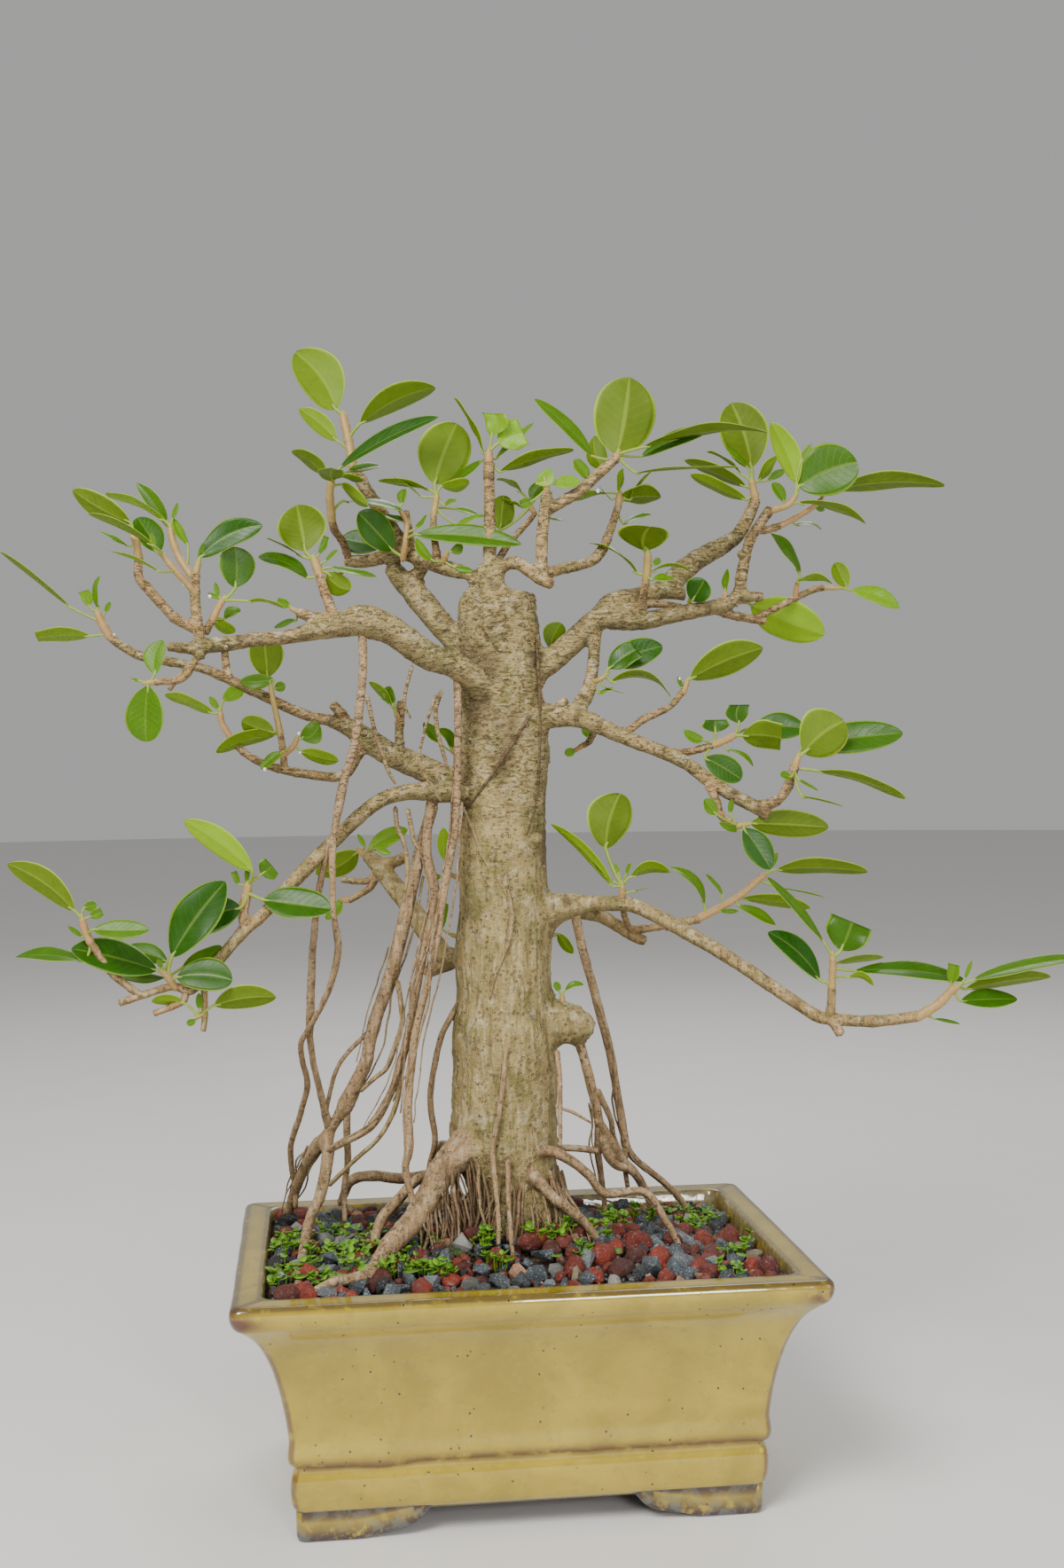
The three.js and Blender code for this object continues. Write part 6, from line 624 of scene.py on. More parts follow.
# The bigger stones in front: u, w, size and kind.
BIG_STONES = [
    (16, 117, 17, 0), (75, 109, 15, 0), (-28, 124, 15, 7), (-103, 115, 15, 0), (-131, 126, 16, 0),
    (48, 117, 16, 2), (68, 124, 15, 2), (32, 118, 10, 2), (8, 125, 12, 2), (22, 131, 12, 2),
    (58, 108, 14, 2), (-113, 122, 12, 3), (-52, 117, 12, 2), (133, 110, 13, 2), (105, 125, 13, 3),
    (-132, 114, 13, 4), (-73, 101, 12, 4), (125, 121, 12, 5), (33, 107, 12, 6), (137, 118, 13, 7),
    (-18, 109, 13, 0), (-40, 116, 11, 0), (90, 118, 13, 0), (-8, 103, 12, 0), (96, 106, 12, 0),
    (-88, 133, 12, 1), (110, 141, 12, 0), (84, 147, 12, 2), (128, 136, 12, 0), (-62, 126, 11, 3),
    (118, 104, 12, 0), (-130, 104, 11, 0), (40, 104, 12, 0), (2, 108, 11, 5), (-58, 104, 12, 0),
    (66, 132, 10, 2), (52, 141, 10, 2), (84, 128, 11, 0), (-35, 104, 11, 2), (-90, 106, 10, 1),
    (110, 113, 11, 1),
]
# The sizes that fill up the rest, the biggest first, and how many of each.
GRAVEL_SIZES = [((11, 16), 170), ((7.5, 11), 260), ((4.5, 7.5), 330), ((2.6, 4.5), 330)]
GRAVEL_TRIES = 9000
# Gravel lies this far out in x and y.
GRAVEL_REACH = (136, 92)
# Clumps of weeds: u, w and spread. Single oval leaves: u, w and size.
WEEDS = [
    (-130, 105, 10), (-120, 112, 13), (-118, 128, 9), (-100, 130, 9), (-85, 120, 12), (-72, 110, 11),
    (-62, 113, 9), (-40, 107, 9), (-10, 112, 6), (-15, 125, 8), (8, 138, 10), (30, 133, 8), (48, 130, 9),
    (62, 145, 9), (80, 155, 8), (100, 133, 10), (110, 137, 9), (120, 118, 8), (147, 114, 8), (38, 118, 6),
    (22, 128, 6), (-108, 104, 8), (-92, 112, 10), (-80, 128, 8), (66, 150, 8), (96, 148, 8), (-52, 108, 8),
    (120, 106, 6), (-125, 122, 12), (-110, 120, 10), (-96, 118, 9), (-70, 122, 9), (-48, 124, 8),
    (14, 128, 7), (56, 136, 8), (72, 138, 8), (90, 139, 9), (134, 124, 7),
]
BROAD_LEAVES = [
    (-130, 104, 4.2), (-119, 105, 3.6), (-107, 108, 3.2), (-95, 104, 3.8), (-84, 108, 3.0), (-57, 106, 4.4),
    (-49, 109, 3.4), (-12, 115, 3.2), (23, 113, 3.0), (38, 123, 3.0), (57, 117, 2.8), (-122, 126, 3.4),
    (82, 146, 2.8), (126, 112, 2.8),
]
# Patches of moss: u, w, spread and how many tufts.
MOSS = [
    (-82, 128, 20, 120), (-100, 138, 16, 60), (-60, 140, 16, 50), (-35, 120, 16, 40), (10, 133, 12, 30),
    (78, 136, 16, 40), (115, 128, 18, 40), (-120, 118, 12, 30), (50, 136, 12, 25),
]


# Places

def to_pot(x, y, z):
    """A point of the viewer's frame in the pot's own, in millimetres."""
    return np.array([math.cos(TURN) * x + math.sin(TURN) * y, -math.sin(TURN) * x + math.cos(TURN) * y, z])


def scale_at(depth):
    """How much bigger a thing at this depth is than it looks on the plane through the trunk."""
    return (depth + VIEWER_DISTANCE) / VIEWER_DISTANCE


def seen(u, w, depth):
    """The point in the pot's frame that is seen at u, w from where the plant was measured."""
    scale = scale_at(depth)
    right, up = VIEWER_RIGHT + (u - VIEWER_RIGHT) * scale, VIEWER_HEIGHT + (w - VIEWER_HEIGHT) * scale
    return to_pot(right, depth, up)


EYE = seen(VIEWER_RIGHT, VIEWER_HEIGHT, -VIEWER_DISTANCE)


def smoothstep(value, low, high):
    """0 below low, 1 above high, and smooth between them."""
    t = np.clip((value - low) / (high - low), 0, 1)
    return t * t * (3 - 2 * t)


def hill(value, centre, width):
    """1 at the centre, falling off on both sides over about the width."""
    return math.exp(-((value - centre) / width) ** 2)


def round_vector(angle, z=0):
    """The level unit vector at this angle, or one that also rises by z."""
    return np.array([math.cos(angle), math.sin(angle), z])


def ground_height(x, y):
    """How high the soil stands: it falls to the right and to the back, and rises to the trunk's foot."""
    lower = smoothstep(x / POT_LENGTH + y / POT_WIDTH, -0.1, 0.7)
    far = (x - TRUNK_FOOT[0]) ** 2 + (y - TRUNK_FOOT[1]) ** 2
    return SOIL_HEIGHT - SOIL_SLOPE * lower + MOUND_HEIGHT * np.exp(-far / (2 * MOUND_SPREAD ** 2))


def ground_at(u, w):
    """The place on the ground that is seen at u, w."""
    height = SOIL_HEIGHT
    for _ in range(6):
        depth = VIEWER_DISTANCE * ((VIEWER_HEIGHT - height) / (VIEWER_HEIGHT - w) - 1)
        place = seen(u, w, depth)
        height = ground_height(place[0], place[1])
    return place


def rough(point, size, seed=0.0):
    """Smooth noise from -1 to 1 whose bumps are about size millimetres across."""
    return noise.noise(Vector((point[0] / size + seed, point[1] / size - seed, point[2] / size + 2 * seed)))


def unit(vector):
    """The vector at length 1."""
    length = np.linalg.norm(vector)
    return vector / length if length > 1e-9 else vector


# Meshes

def add_object(name, data):
    """A new object in the scene."""
    thing = bpy.data.objects.new(name, data)
    bpy.context.scene.collection.objects.link(thing)
    return thing


def add_form(name, form):
    """A new object from a bmesh, which is used up."""
    mesh = bpy.data.meshes.new(name)
    form.to_mesh(mesh)
    form.free()
    return add_object(name, mesh)


def bake_modifier(piece, kind, **settings):
    """Changes a piece's mesh by one modifier."""
    modifier = piece.modifiers.new(kind, kind)
    for name, value in settings.items():
        setattr(modifier, name, value)
    bpy.context.view_layer.update()
    graph = bpy.context.evaluated_depsgraph_get()
    mesh = bpy.data.meshes.new_from_object(piece.evaluated_get(graph))
    piece.modifiers.clear()
    piece.data = mesh


class Shape:
    """Collects vertices in millimetres, faces with a material number, and one colour for each vertex."""

    def __init__(self):
        self.vertices = []
        self.faces = []
        self.materials = []
        self.data = []

    def add(self, vertices, faces, material=0, data=(0, 0, 0, 1)):
        """Material and data are one value for all, or a list."""
        start = len(self.vertices)
        self.vertices.extend(tuple(v) for v in vertices)
        self.faces.extend(tuple(start + i for i in face) for face in faces)
        self.materials.extend(material if isinstance(material, list) else [material] * len(faces))
        self.data.extend(data if isinstance(data, list) else [data] * len(vertices))

    def build(self, name, materials, replaced=(), smooth=True):
        """Makes the piece and tells the frame what it rides on, replaces and is made of."""
        mesh = bpy.data.meshes.new(name)
        mesh.from_pydata([(x * MM, y * MM, z * MM) for x, y, z in self.vertices], [], self.faces)
        colours = mesh.attributes.new("data", "FLOAT_COLOR", "POINT")
        colours.data.foreach_set("color", np.array(self.data, dtype=np.float32).ravel())
        mesh.polygons.foreach_set("material_index", np.array(self.materials, dtype=np.int32))
        mesh.polygons.foreach_set("use_smooth", np.full(len(self.faces), smooth))
        for material in materials:
            mesh.materials.append(material)
        mesh.update()
        piece = add_object(name, mesh)
        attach(piece, "root")
        if replaced:
            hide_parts(*replaced)
        return piece


def smooth_rows(rows, spacing):
    """A smooth line through rows of numbers, the first three a place, in steps of about spacing."""
    rows = np.array(rows, dtype=float)
    padded = np.vstack([2 * rows[0] - rows[1], rows, 2 * rows[-1] - rows[-2]])
    result = []
    for i in range(1, len(padded) - 2):
        p0, p1, p2, p3 = padded[i - 1:i + 3]
        steps = max(1, round(np.linalg.norm(p2[:3] - p1[:3]) / spacing))
        for t in np.arange(steps) / steps:
            result.append(0.5 * (2 * p1 + (p2 - p0) * t + (2 * p0 - 5 * p1 + 4 * p2 - p3) * t * t
                                 + (3 * p1 - p0 - 3 * p2 + p3) * t ** 3))
    result.append(rows[-1])
    return np.array(result)


def ring_faces(rings, count):
    """The quads between rings of count vertices each."""
    return [(ring * count + k, ring * count + (k + 1) % count,
             (ring + 1) * count + (k + 1) % count, (ring + 1) * count + k)
            for ring in range(rings - 1) for k in range(count)]


def sweep(line, sides, wobble=0.0, seed=0.0, bulge=0.35):
    """Rings round a line of (x, y, z, radius) rows, with end caps that bulge by a share of the radius."""
    line = np.array(line)
    places = line[:, :3]
    steps = np.diff(places, axis=0)
    steps /= np.maximum(np.linalg.norm(steps, axis=1), 1e-9)[:, None]
    side = np.cross([0.0, 1.0, 0.0], steps[0])
    if np.linalg.norm(side) < 0.2:
        side = np.array([1.0, 0.0, 0.0])
    vertices = []
    for i, (place, radius) in enumerate(zip(places, line[:, 3])):
        along = unit(steps[max(i - 1, 0)] + steps[min(i, len(steps) - 1)])
        side = unit(side - along * side.dot(along))
        up = np.cross(along, side)
        for k in range(sides):
            angle = math.tau * k / sides
            out = side * math.cos(angle) + up * math.sin(angle)
            point = place + out * radius
            if wobble:
                point = point + out * (wobble * radius * rough(point, 1.6 * radius + 2, seed))
            vertices.append(point)
    faces = ring_faces(len(places), sides)
    start = len(vertices)
    last = start - sides
    vertices.append(places[0] - steps[0] * line[0, 3] * bulge)
    vertices.append(places[-1] + steps[-1] * line[-1, 3] * bulge)
    for k in range(sides):
        after = (k + 1) % sides
        faces += [(start, after, k), (start + 1, last + k, last + after)]
    return vertices, faces


def limb_rows(points, spacing=None):
    """The smooth line of a limb in the pot's frame, from points of [u, w, depth, radius as seen]."""
    rows = [[*seen(u, w, depth), radius * scale_at(depth)] for u, w, depth, radius in points]
    return smooth_rows(rows, spacing or max(1.2, min(row[3] for row in rows) * 0.8))


def ball(centre, radii, detail=1, turn=None):
    """A small round lump as (vertices, faces)."""
    form = bmesh.new()
    bmesh.ops.create_icosphere(form, subdivisions=detail, radius=1)
    turn = turn or Matrix.Identity(3)
    vertices = [np.array(turn @ Vector((v.co.x * radii[0], v.co.y * radii[1], v.co.z * radii[2]))) + centre
                for v in form.verts]
    faces = [tuple(v.index for v in face.verts) for face in form.faces]
    form.free()
    return vertices, faces


# Pot

def rounded_outline(half_length, half_width, radius):
    """Points round a rectangle with round corners, the same count whatever its size."""
    def corner_point(corner, step):
        """One point of a corner's arc."""
        side_x, side_y = ((1, 1), (-1, 1), (-1, -1), (1, -1))[corner]
        centre = np.array([side_x * (half_length - radius), side_y * (half_width - radius)])
        angle = math.radians(90 * corner + 90 * step / CORNER_STEPS)
        return centre + radius * np.array([math.cos(angle), math.sin(angle)])

    points = []
    for corner in range(4):
        points += [corner_point(corner, step) for step in range(CORNER_STEPS + 1)]
        last, first = points[-1], corner_point((corner + 1) % 4, 0)
        count = EDGE_STEPS[corner % 2]
        points += [last + (first - last) * step / count for step in range(1, count)]
    return points


def make_pot(glaze, clay):
    """The glazed pot: its wall in one sweep round the outline, with bracket feet under it."""
    shape = Shape()
    wall = smooth_rows([[0, inset, z] for z, inset in OUTER_WALL], WALL_SPACING)
    rows = [(FLOOR_UNDERSIDE, UNDERSIDE_INSET, OUTER_CORNER)]
    rows += [(z, inset, OUTER_CORNER) for _, inset, z in wall]
    rows += [(POT_HEIGHT, inset, OUTER_CORNER) for inset in RIM_INSETS]
    rows += [(z, inset, INNER_CORNER) for z, inset in INNER_WALL]
    vertices, data = [], []
    for level, (z, inset, corner) in enumerate(rows):
        is_inside = level > len(wall) + len(RIM_INSETS)
        for x, y in rounded_outline(POT_LENGTH / 2 - inset, POT_WIDTH / 2 - inset, corner):
            vertices.append(wall_point(x, y, z, is_inside))
            data.append(wall_data(x, y, z, inset, is_inside))
    count = len(vertices) // len(rows)
    faces = ring_faces(len(rows), count)
    materials = [0] * len(faces) + [1, 1]
    faces.append(tuple(reversed(range(count))))
    faces.append(tuple(range((len(rows) - 1) * count, len(rows) * count)))
    shape.add(vertices, faces, materials, data)
    for side_x in (-1, 1):
        for side_y in (-1, 1):
            add_foot(shape, side_x, side_y)
    pot = shape.build("glazed_pot", [glaze, clay], replaced=["pot"])
    drill(pot)
    return pot


def wall_point(x, y, z, is_inside):
    """A point of the wall: the glaze sags over the step, and no wall of a pressed pot is quite flat."""
    sag = 3.4 * hill(z, SAG_HEIGHT, 3.5) * max(0.0, noise.noise(Vector((x / 24, y / 24, 3.1))))
    waver = 0.3 * noise.noise(Vector((x / 34, y / 34, z / 30)))
    out = unit(np.array([x, y]))
    return x + out[0] * waver, y + out[1] * waver, z - (0 if is_inside else sag)


def wall_data(x, y, z, inset, is_inside):
    """How thin the glaze is on an edge, how dark the line on the rim is, and how bare the clay is."""
    gaps = POT_LENGTH / 2 - inset - abs(x), POT_WIDTH / 2 - inset - abs(y)
    at_corner = 1.0 if min(gaps) < 2.2 and max(gaps) < 3 else 0.0
    from_corner = math.hypot(POT_LENGTH / 2 - abs(x), POT_WIDTH / 2 - abs(y))
    edge = max(hill(z, STEP_EDGE, 2.5), 0.8 * at_corner)
    edge = max(edge, 1.4 * hill(z, LIP_UNDERSIDE, 5) * hill(from_corner, 0, 14))
    rim = hill(z, LIP_LINE, 1.6) * hill(max(inset, 1.6), 1.6, 1.4)
    rim = max(rim, 0.8 * hill(z, POT_HEIGHT, 1.0) * hill(inset, INNER_LINE_INSET, 1.2))
    return edge, 0 if is_inside else rim, 0.75 if is_inside else 0.0, 1.0


def drill(pot):
    """Cuts the two drain holes."""
    for side in (-1, 1):
        form = bmesh.new()
        bmesh.ops.create_cone(form, cap_ends=True, segments=40, radius1=DRAIN_RADIUS * MM,
                              radius2=DRAIN_RADIUS * MM, depth=CUTTER_LENGTH * MM)
        bmesh.ops.translate(form, verts=form.verts, vec=(side * DRAIN_OFFSET * MM, 0, FLOOR_UNDERSIDE * MM))
        cutter = add_form("drain_cutter", form)
        bake_modifier(pot, "BOOLEAN", operation="DIFFERENCE", solver="EXACT", use_self=True, object=cutter)
        bpy.data.objects.remove(cutter)


def wing_edge(length):
    """A wing's lower edge from the corner to its end: flat, a low bracket, then a curve up to the body."""
    rows = smooth_rows([[length * share, z, 0] for share, z in WING_EDGE], WING_SPACING)
    return [(x, max(z, 0)) for x, z, _ in rows]


def foot_path():
    """A foot's way round its corner: outer x and y, inner x and y, and the height of the lower edge."""
    path = [(x, 0.0, max(x, FOOT_THICKNESS), FOOT_THICKNESS, low)
            for x, low in reversed(wing_edge(FOOT_LONG_WING)) if x > FOOT_RADIUS]
    for step in range(CORNER_STEPS + 1):
        angle = math.pi / 2 * step / CORNER_STEPS
        x, y = FOOT_RADIUS * (1 - math.sin(angle)), FOOT_RADIUS * (1 - math.cos(angle))
        path.append((x, y, FOOT_THICKNESS, FOOT_THICKNESS, 0.0))
    return path + [(0.0, y, FOOT_THICKNESS, max(y, FOOT_THICKNESS), low)
                   for y, low in wing_edge(FOOT_SHORT_WING) if y > FOOT_RADIUS]


def add_foot(shape, side_x, side_y):
    """A bracket foot that turns the corner, from the end of its long wing to the end of its short one."""
    path = foot_path()
    left, front = -POT_LENGTH / 2 + FOOT_INSET, -POT_WIDTH / 2 + FOOT_INSET
    vertices, data = [], []
    for x, y, inner_x, inner_y, low in path:
        for share, rise in FOOT_SECTION:
            height = min(low + rise, FOOT_TOP)
            place_x = left + x + (inner_x - x) * share
            place_y = front + y + (inner_y - y) * share
            vertices.append((-side_x * place_x, -side_y * place_y, height))
            bare = 1.15 * hill(height, low, 9) if share < 0.5 else 1.0
            data.append((0.5 if rise in (3, 0.9) else 0.1, 0, bare, 1.0))
    count = len(FOOT_SECTION)
    faces = ring_faces(len(path), count)
    faces.append(tuple(reversed(range(count))))
    faces.append(tuple(range((len(path) - 1) * count, len(path) * count)))
    volume = sum(np.dot(vertices[face[0]], np.cross(vertices[second], vertices[third]))
                 for face in faces for second, third in zip(face[1:], face[2:]))
    if volume < 0:
        faces = [tuple(reversed(face)) for face in faces]
    shape.add(vertices, faces, 0, data)


# Soil

def inside_pot(x, y, margin=0.0):
    """Whether a place on the soil is this far or further from the pot's inner wall."""
    return (abs(x) < POT_LENGTH / 2 - WALL_AT_SOIL - margin
            and abs(y) < POT_WIDTH / 2 - WALL_AT_SOIL - margin)


def make_bed(earth):
    """The fine earth between the stones."""
    shape = Shape()
    half_x = POT_LENGTH / 2 - BED_MARGIN
    half_y = POT_WIDTH / 2 - BED_MARGIN
    columns = round(2 * half_x / BED_SPACING)
    rows = round(2 * half_y / BED_SPACING)
    top = []
    for row in range(rows + 1):
        for column in range(columns + 1):
            x = -half_x + 2 * half_x * column / columns
            y = -half_y + 2 * half_y * row / rows
            z = ground_height(x, y) - 3 + 1.3 * rough((x, y, 0), 7, 2) + 0.8 * rough((x, y, 0), 2.5, 5)
            top.append((x, y, z))
    wide = columns + 1
    faces = [(r * wide + c, r * wide + c + 1, (r + 1) * wide + c + 1, (r + 1) * wide + c)
             for r in range(rows) for c in range(columns)]
    rim = (list(range(columns)) + [r * wide + columns for r in range(rows)]
           + [rows * wide + c for c in range(columns, 0, -1)] + [r * wide for r in range(rows, 0, -1)])
    below = len(top)
    for vertex in rim:
        x, y, _ = top[vertex]
        top.append((x * BED_TAPER[0], y * BED_TAPER[1], FLOOR_TOP + 2))
    for i, vertex in enumerate(rim):
        after = (i + 1) % len(rim)
        faces.append((vertex, below + i, below + after, rim[after]))
    faces.append(tuple(below + i for i in reversed(range(len(rim)))))
    shape.add(top, faces)
    return shape.build("potting_soil", [earth], replaced=["soil"])


def add_stone(shape, place, size, kind, draw):
    """One stone: a rough pitted lump of lava, or an angular chip with flat faces."""
    angle = draw.uniform(0, 6.3)
    axis = Vector((draw.uniform(-1, 1), draw.uniform(-1, 1), 1)).normalized()
    turn = Matrix.Rotation(angle, 3, axis)
    radii = [size / 2 * draw.uniform(low, high) for low, high in STONE_RADII]
    seed = draw.uniform(0, 50)
    if kind in LAVA_KINDS:
        vertices, faces = ball(np.zeros(3), radii, 3 if size > 6.5 else 2, turn)
        vertices = [place + v * (1 + 0.24 * rough(v, size * 0.45, seed) + 0.16 * rough(v, size * 0.17, seed))
                    for v in vertices]
    else:
        form = bmesh.new()
        for _ in range(15 if size > 6 else 11):
            out = unit(np.array([draw.gauss(0, 1) for _ in range(3)])) * draw.uniform(0.82, 1.15)
            form.verts.new(turn @ Vector((out[0] * radii[0], out[1] * radii[1], out[2] * radii[2])))
        bmesh.ops.convex_hull(form, input=form.verts)
        inner = [v for v in form.verts if not v.link_faces]
        bmesh.ops.delete(form, geom=inner, context="VERTS")
        form.verts.index_update()
        vertices = [place + np.array(v.co) for v in form.verts]
        faces = [tuple(v.index for v in face.verts) for face in form.faces]
        form.free()
    _, colour, speckle = STONE_KINDS[kind]
    shade = draw.uniform(*STONE_SHADES)
    shape.add(vertices, faces, 0, (*(part * shade for part in colour), speckle))


def make_gravel(stone_material):
    """The loose stones: the big ones that can be told apart in front, then others wherever there is room."""
    draw = random.Random(SEEDS["gravel"])
    shape = Shape()
    taken = []
    for u, w, size, kind in BIG_STONES:
        place = ground_at(u, w)
        if not inside_pot(place[0], place[1], size * 0.3):
            continue
        add_stone(shape, place + np.array([0, 0, size * 0.12]), size, kind, draw)
        taken.append((place[0], place[1], size))
    weights = [share for share, _, _ in STONE_KINDS]
    for sizes, wanted in GRAVEL_SIZES:
        made = 0
        for _ in range(GRAVEL_TRIES):
            if made == wanted:
                break
            size = draw.uniform(*sizes)
            x = draw.uniform(-GRAVEL_REACH[0], GRAVEL_REACH[0])
            y = draw.uniform(-GRAVEL_REACH[1], GRAVEL_REACH[1])
            from_trunk = math.hypot(x - TRUNK_FOOT[0], y - TRUNK_FOOT[1])
            if not inside_pot(x, y, size * STONE_MARGIN) or from_trunk < TRUNK_CLEARANCE:
                continue
            if any((x - a) ** 2 + (y - b) ** 2 < (STONE_ROOM * (size + s)) ** 2 for a, b, s in taken):
                continue
            kind = draw.choices(range(len(STONE_KINDS)), weights)[0]
            height = ground_height(x, y) - 1.2 + size * draw.uniform(0.05, 0.22)
            add_stone(shape, np.array([x, y, height]), size, kind, draw)
            taken.append((x, y, size))
            made += 1
    return shape.build("gravel", [stone_material], smooth=False)


def make_weeds(green):
    """Seedling weeds: clumps of small round leaves on short stalks."""
    draw = random.Random(SEEDS["weeds"])
    shape = Shape()
    for u, w, spread in WEEDS:
        foot = ground_at(u, w)
        for _ in range(round(spread * 1.7)):
            reach = spread * 0.8 * math.sqrt(draw.random())
            angle = draw.uniform(0, math.tau)
            base = foot + np.array([reach * math.cos(angle), reach * math.sin(angle), -1.5])
            if not inside_pot(base[0], base[1], 1.5):
                continue
            lean = round_vector(angle) * draw.uniform(0.5, 2.5)
            top = base + lean + np.array([0, 0, draw.uniform(2.2, 9.5)])
            stalk = [[*base, 0.35], [*((base + top) / 2 + lean * 0.2), 0.3], [*top, 0.25]]
            shape.add(*sweep(smooth_rows(stalk, 2.5), 4), 0, (0.5, 0.2, draw.random(), 1))
            for blade in range(draw.choice((2, 3, 3))):
                out = round_vector(angle + blade * 2.1 + draw.uniform(-0.4, 0.4), draw.uniform(-0.2, 1.2))
                size = draw.uniform(0.9, 2.2)
                add_disc(shape, top + out * size * 0.8, out, size, draw)
    # A few bigger oval leaves lie close to the stones.
    for u, w, size in BROAD_LEAVES:
        place = ground_at(u, w) + np.array([0, 0, draw.uniform(3, 6)])
        out = round_vector(draw.uniform(0, math.tau), draw.uniform(0, 0.4))
        add_disc(shape, place, out, size, draw)
    return shape.build("seedling_weeds", [green])


def add_disc(shape, centre, out, size, draw):
    """A small cupped round leaf, 0.3 mm thick."""
    along = unit(out)
    across = unit(np.cross([0, 0, 1], along))
    normal = np.cross(along, across)
    vertices = [centre - normal * 0.1, centre - normal * 0.4]
    for level in (0.1, -0.2):
        for k in range(DISC_SIDES):
            angle = math.tau * k / DISC_SIDES
            rim = along * math.cos(angle) * size * 1.15 + across * math.sin(angle) * size
            vertices.append(centre + rim + normal * (level + 0.25 * size * 0.5))
    faces = []
    for k in range(DISC_SIDES):
        upper, upper_after = 2 + k, 2 + (k + 1) % DISC_SIDES
        lower, lower_after = upper + DISC_SIDES, upper_after + DISC_SIDES
        faces += [(0, upper, upper_after), (1, lower_after, lower), (upper, lower, lower_after, upper_after)]
    shape.add(vertices, faces, 0, (0.2, 0.8, draw.random(), 1))


def make_moss(moss):
    """Low tufts of moss and liverwort in the damp corner and round the trunk's foot."""
    draw = random.Random(SEEDS["moss"])
    shape = Shape()
    for u, w, spread, count in MOSS:
        middle = ground_at(u, w)
        for _ in range(count):
            x = middle[0] + draw.gauss(0, spread * 0.6)
            y = middle[1] + draw.gauss(0, spread * 0.6)
            if not inside_pot(x, y, 2):
                continue
            size = draw.uniform(1.2, 3.4)
            place = np.array([x, y, ground_height(x, y) - 0.6 + draw.uniform(0, 1.5)])
            vertices, faces = ball(place, (size, size, size * 0.7), 1)
            vertices = [v + 0.35 * size * rough(v, 1.6, 4) * unit(v - place) for v in vertices]
            shape.add(vertices, faces, 0, (0.1, 0.3, draw.random(), 1))
    return shape.build("moss", [moss])


# Wood

def limb_samples():
    """Every limb's finer rows with its name, for the tints."""
    limbs = {}
    for name, points in {**BRANCHES, **ROOTS, **FINE_ROOTS}.items():
        limbs[name] = limb_rows(points, max(1.6, min(4.0, 0.6 * max(row[3] for row in points))))
    return limbs


def limb_tint(name):
    """How reddish (roots), how dark and how young a limb's bark is."""
    if name in ("hair_7", "hair_9"):
        return (0.4, 2.6, 0.0)
    if name in FINE_ROOTS:
        return (0.9 if name.startswith("red") else 0.55, 0.45, 0.0)
    if name in ROOTS:
        pale = 0.35 if "pale" in name else 0.85
        dark = 0.75 if "dark" in name else 0.45
        return (pale, dark, 0.0)
    young = 1.0 if "twig" in name or "tip" in name else 0.0
    return (0.1, 0.4, young)


def make_thick_wood(limbs, bark):
    """Trunk and thick limbs, run together by a remesh and given a rough bark."""
    shape = Shape()
    for name, rows in limbs.items():
        thick = [row for row in rows if row[3] >= THIN_LIMB]
        if len(thick) < 2:
            continue
        wobble = 0.05 if rows[0][3] > 12 else 0.03
        shape.add(*sweep(thick, LIMB_SIDES, wobble, hash_of(name), 0.06 if name == "trunk" else 0.3))
    piece = shape.build("trunk_and_branches", [bark], replaced=["wood"])
    bake_modifier(piece, "REMESH", mode="VOXEL", voxel_size=VOXEL * MM)
    bake_modifier(piece, "LAPLACIANSMOOTH", iterations=6, lambda_factor=0.6)
    piece.data.materials.clear()
    piece.data.materials.append(bark)
    carve_bark(piece, limbs)
    return piece


def hash_of(name):
    """A small number that stays the same for the same name."""
    return sum(ord(letter) * (i + 3) for i, letter in enumerate(name)) % 97


def squared_distances(points, centres):
    """The squares of the distances from every point to every centre, a block of points at a time."""
    own = (centres ** 2).sum(axis=1)
    for start in range(0, len(points), BLOCK):
        part = points[start:start + BLOCK]
        yield (part ** 2).sum(axis=1)[:, None] + own - 2 * part @ centres.T


def nearest_rows(points, rows):
    """For each point, the index of the row whose limb surface it lies nearest to."""
    centres = np.array([row[:3] for row in rows])
    radii = np.array([row[3] for row in rows])
    return np.concatenate([(squares / radii ** 2).argmin(axis=1)
                           for squares in squared_distances(points, centres)])


def crease_weight(points, rows, names):
    """1 in the creases between two thick limbs, falling to 0 beside them."""
    thick = [i for i, row in enumerate(rows) if row[3] >= CREASE_RADIUS]
    starts = [k for k, i in enumerate(thick) if k == 0 or names[i] != names[thick[k - 1]]]
    centres = np.array([rows[i][:3] for i in thick])
    radii = np.array([rows[i][3] for i in thick])
    second = []
    for squares in squared_distances(points, centres):
        apart = np.minimum.reduceat(np.sqrt(np.maximum(squares, 0)) - radii, starts, axis=1)
        second.append(np.partition(apart, 1, axis=1)[:, 1])
    return 1 - smoothstep(np.concatenate(second), *CREASE_REACH)


def round_creases(places, edges, weight):
    """Draws each vertex of a crease towards the middle of its neighbours, many times."""
    edges = edges[(weight[edges] > 0).any(axis=1)]
    ends = np.concatenate([edges, edges[:, ::-1]])
    count = np.maximum(np.bincount(ends[:, 0], minlength=len(places)), 1)
    for _ in range(CREASE_ROUNDS):
        middle = np.stack([np.bincount(ends[:, 0], places[ends[:, 1], k], len(places)) / count
                           for k in range(3)], 1)
        places = places + 0.5 * weight[:, None] * (middle - places)
    return places


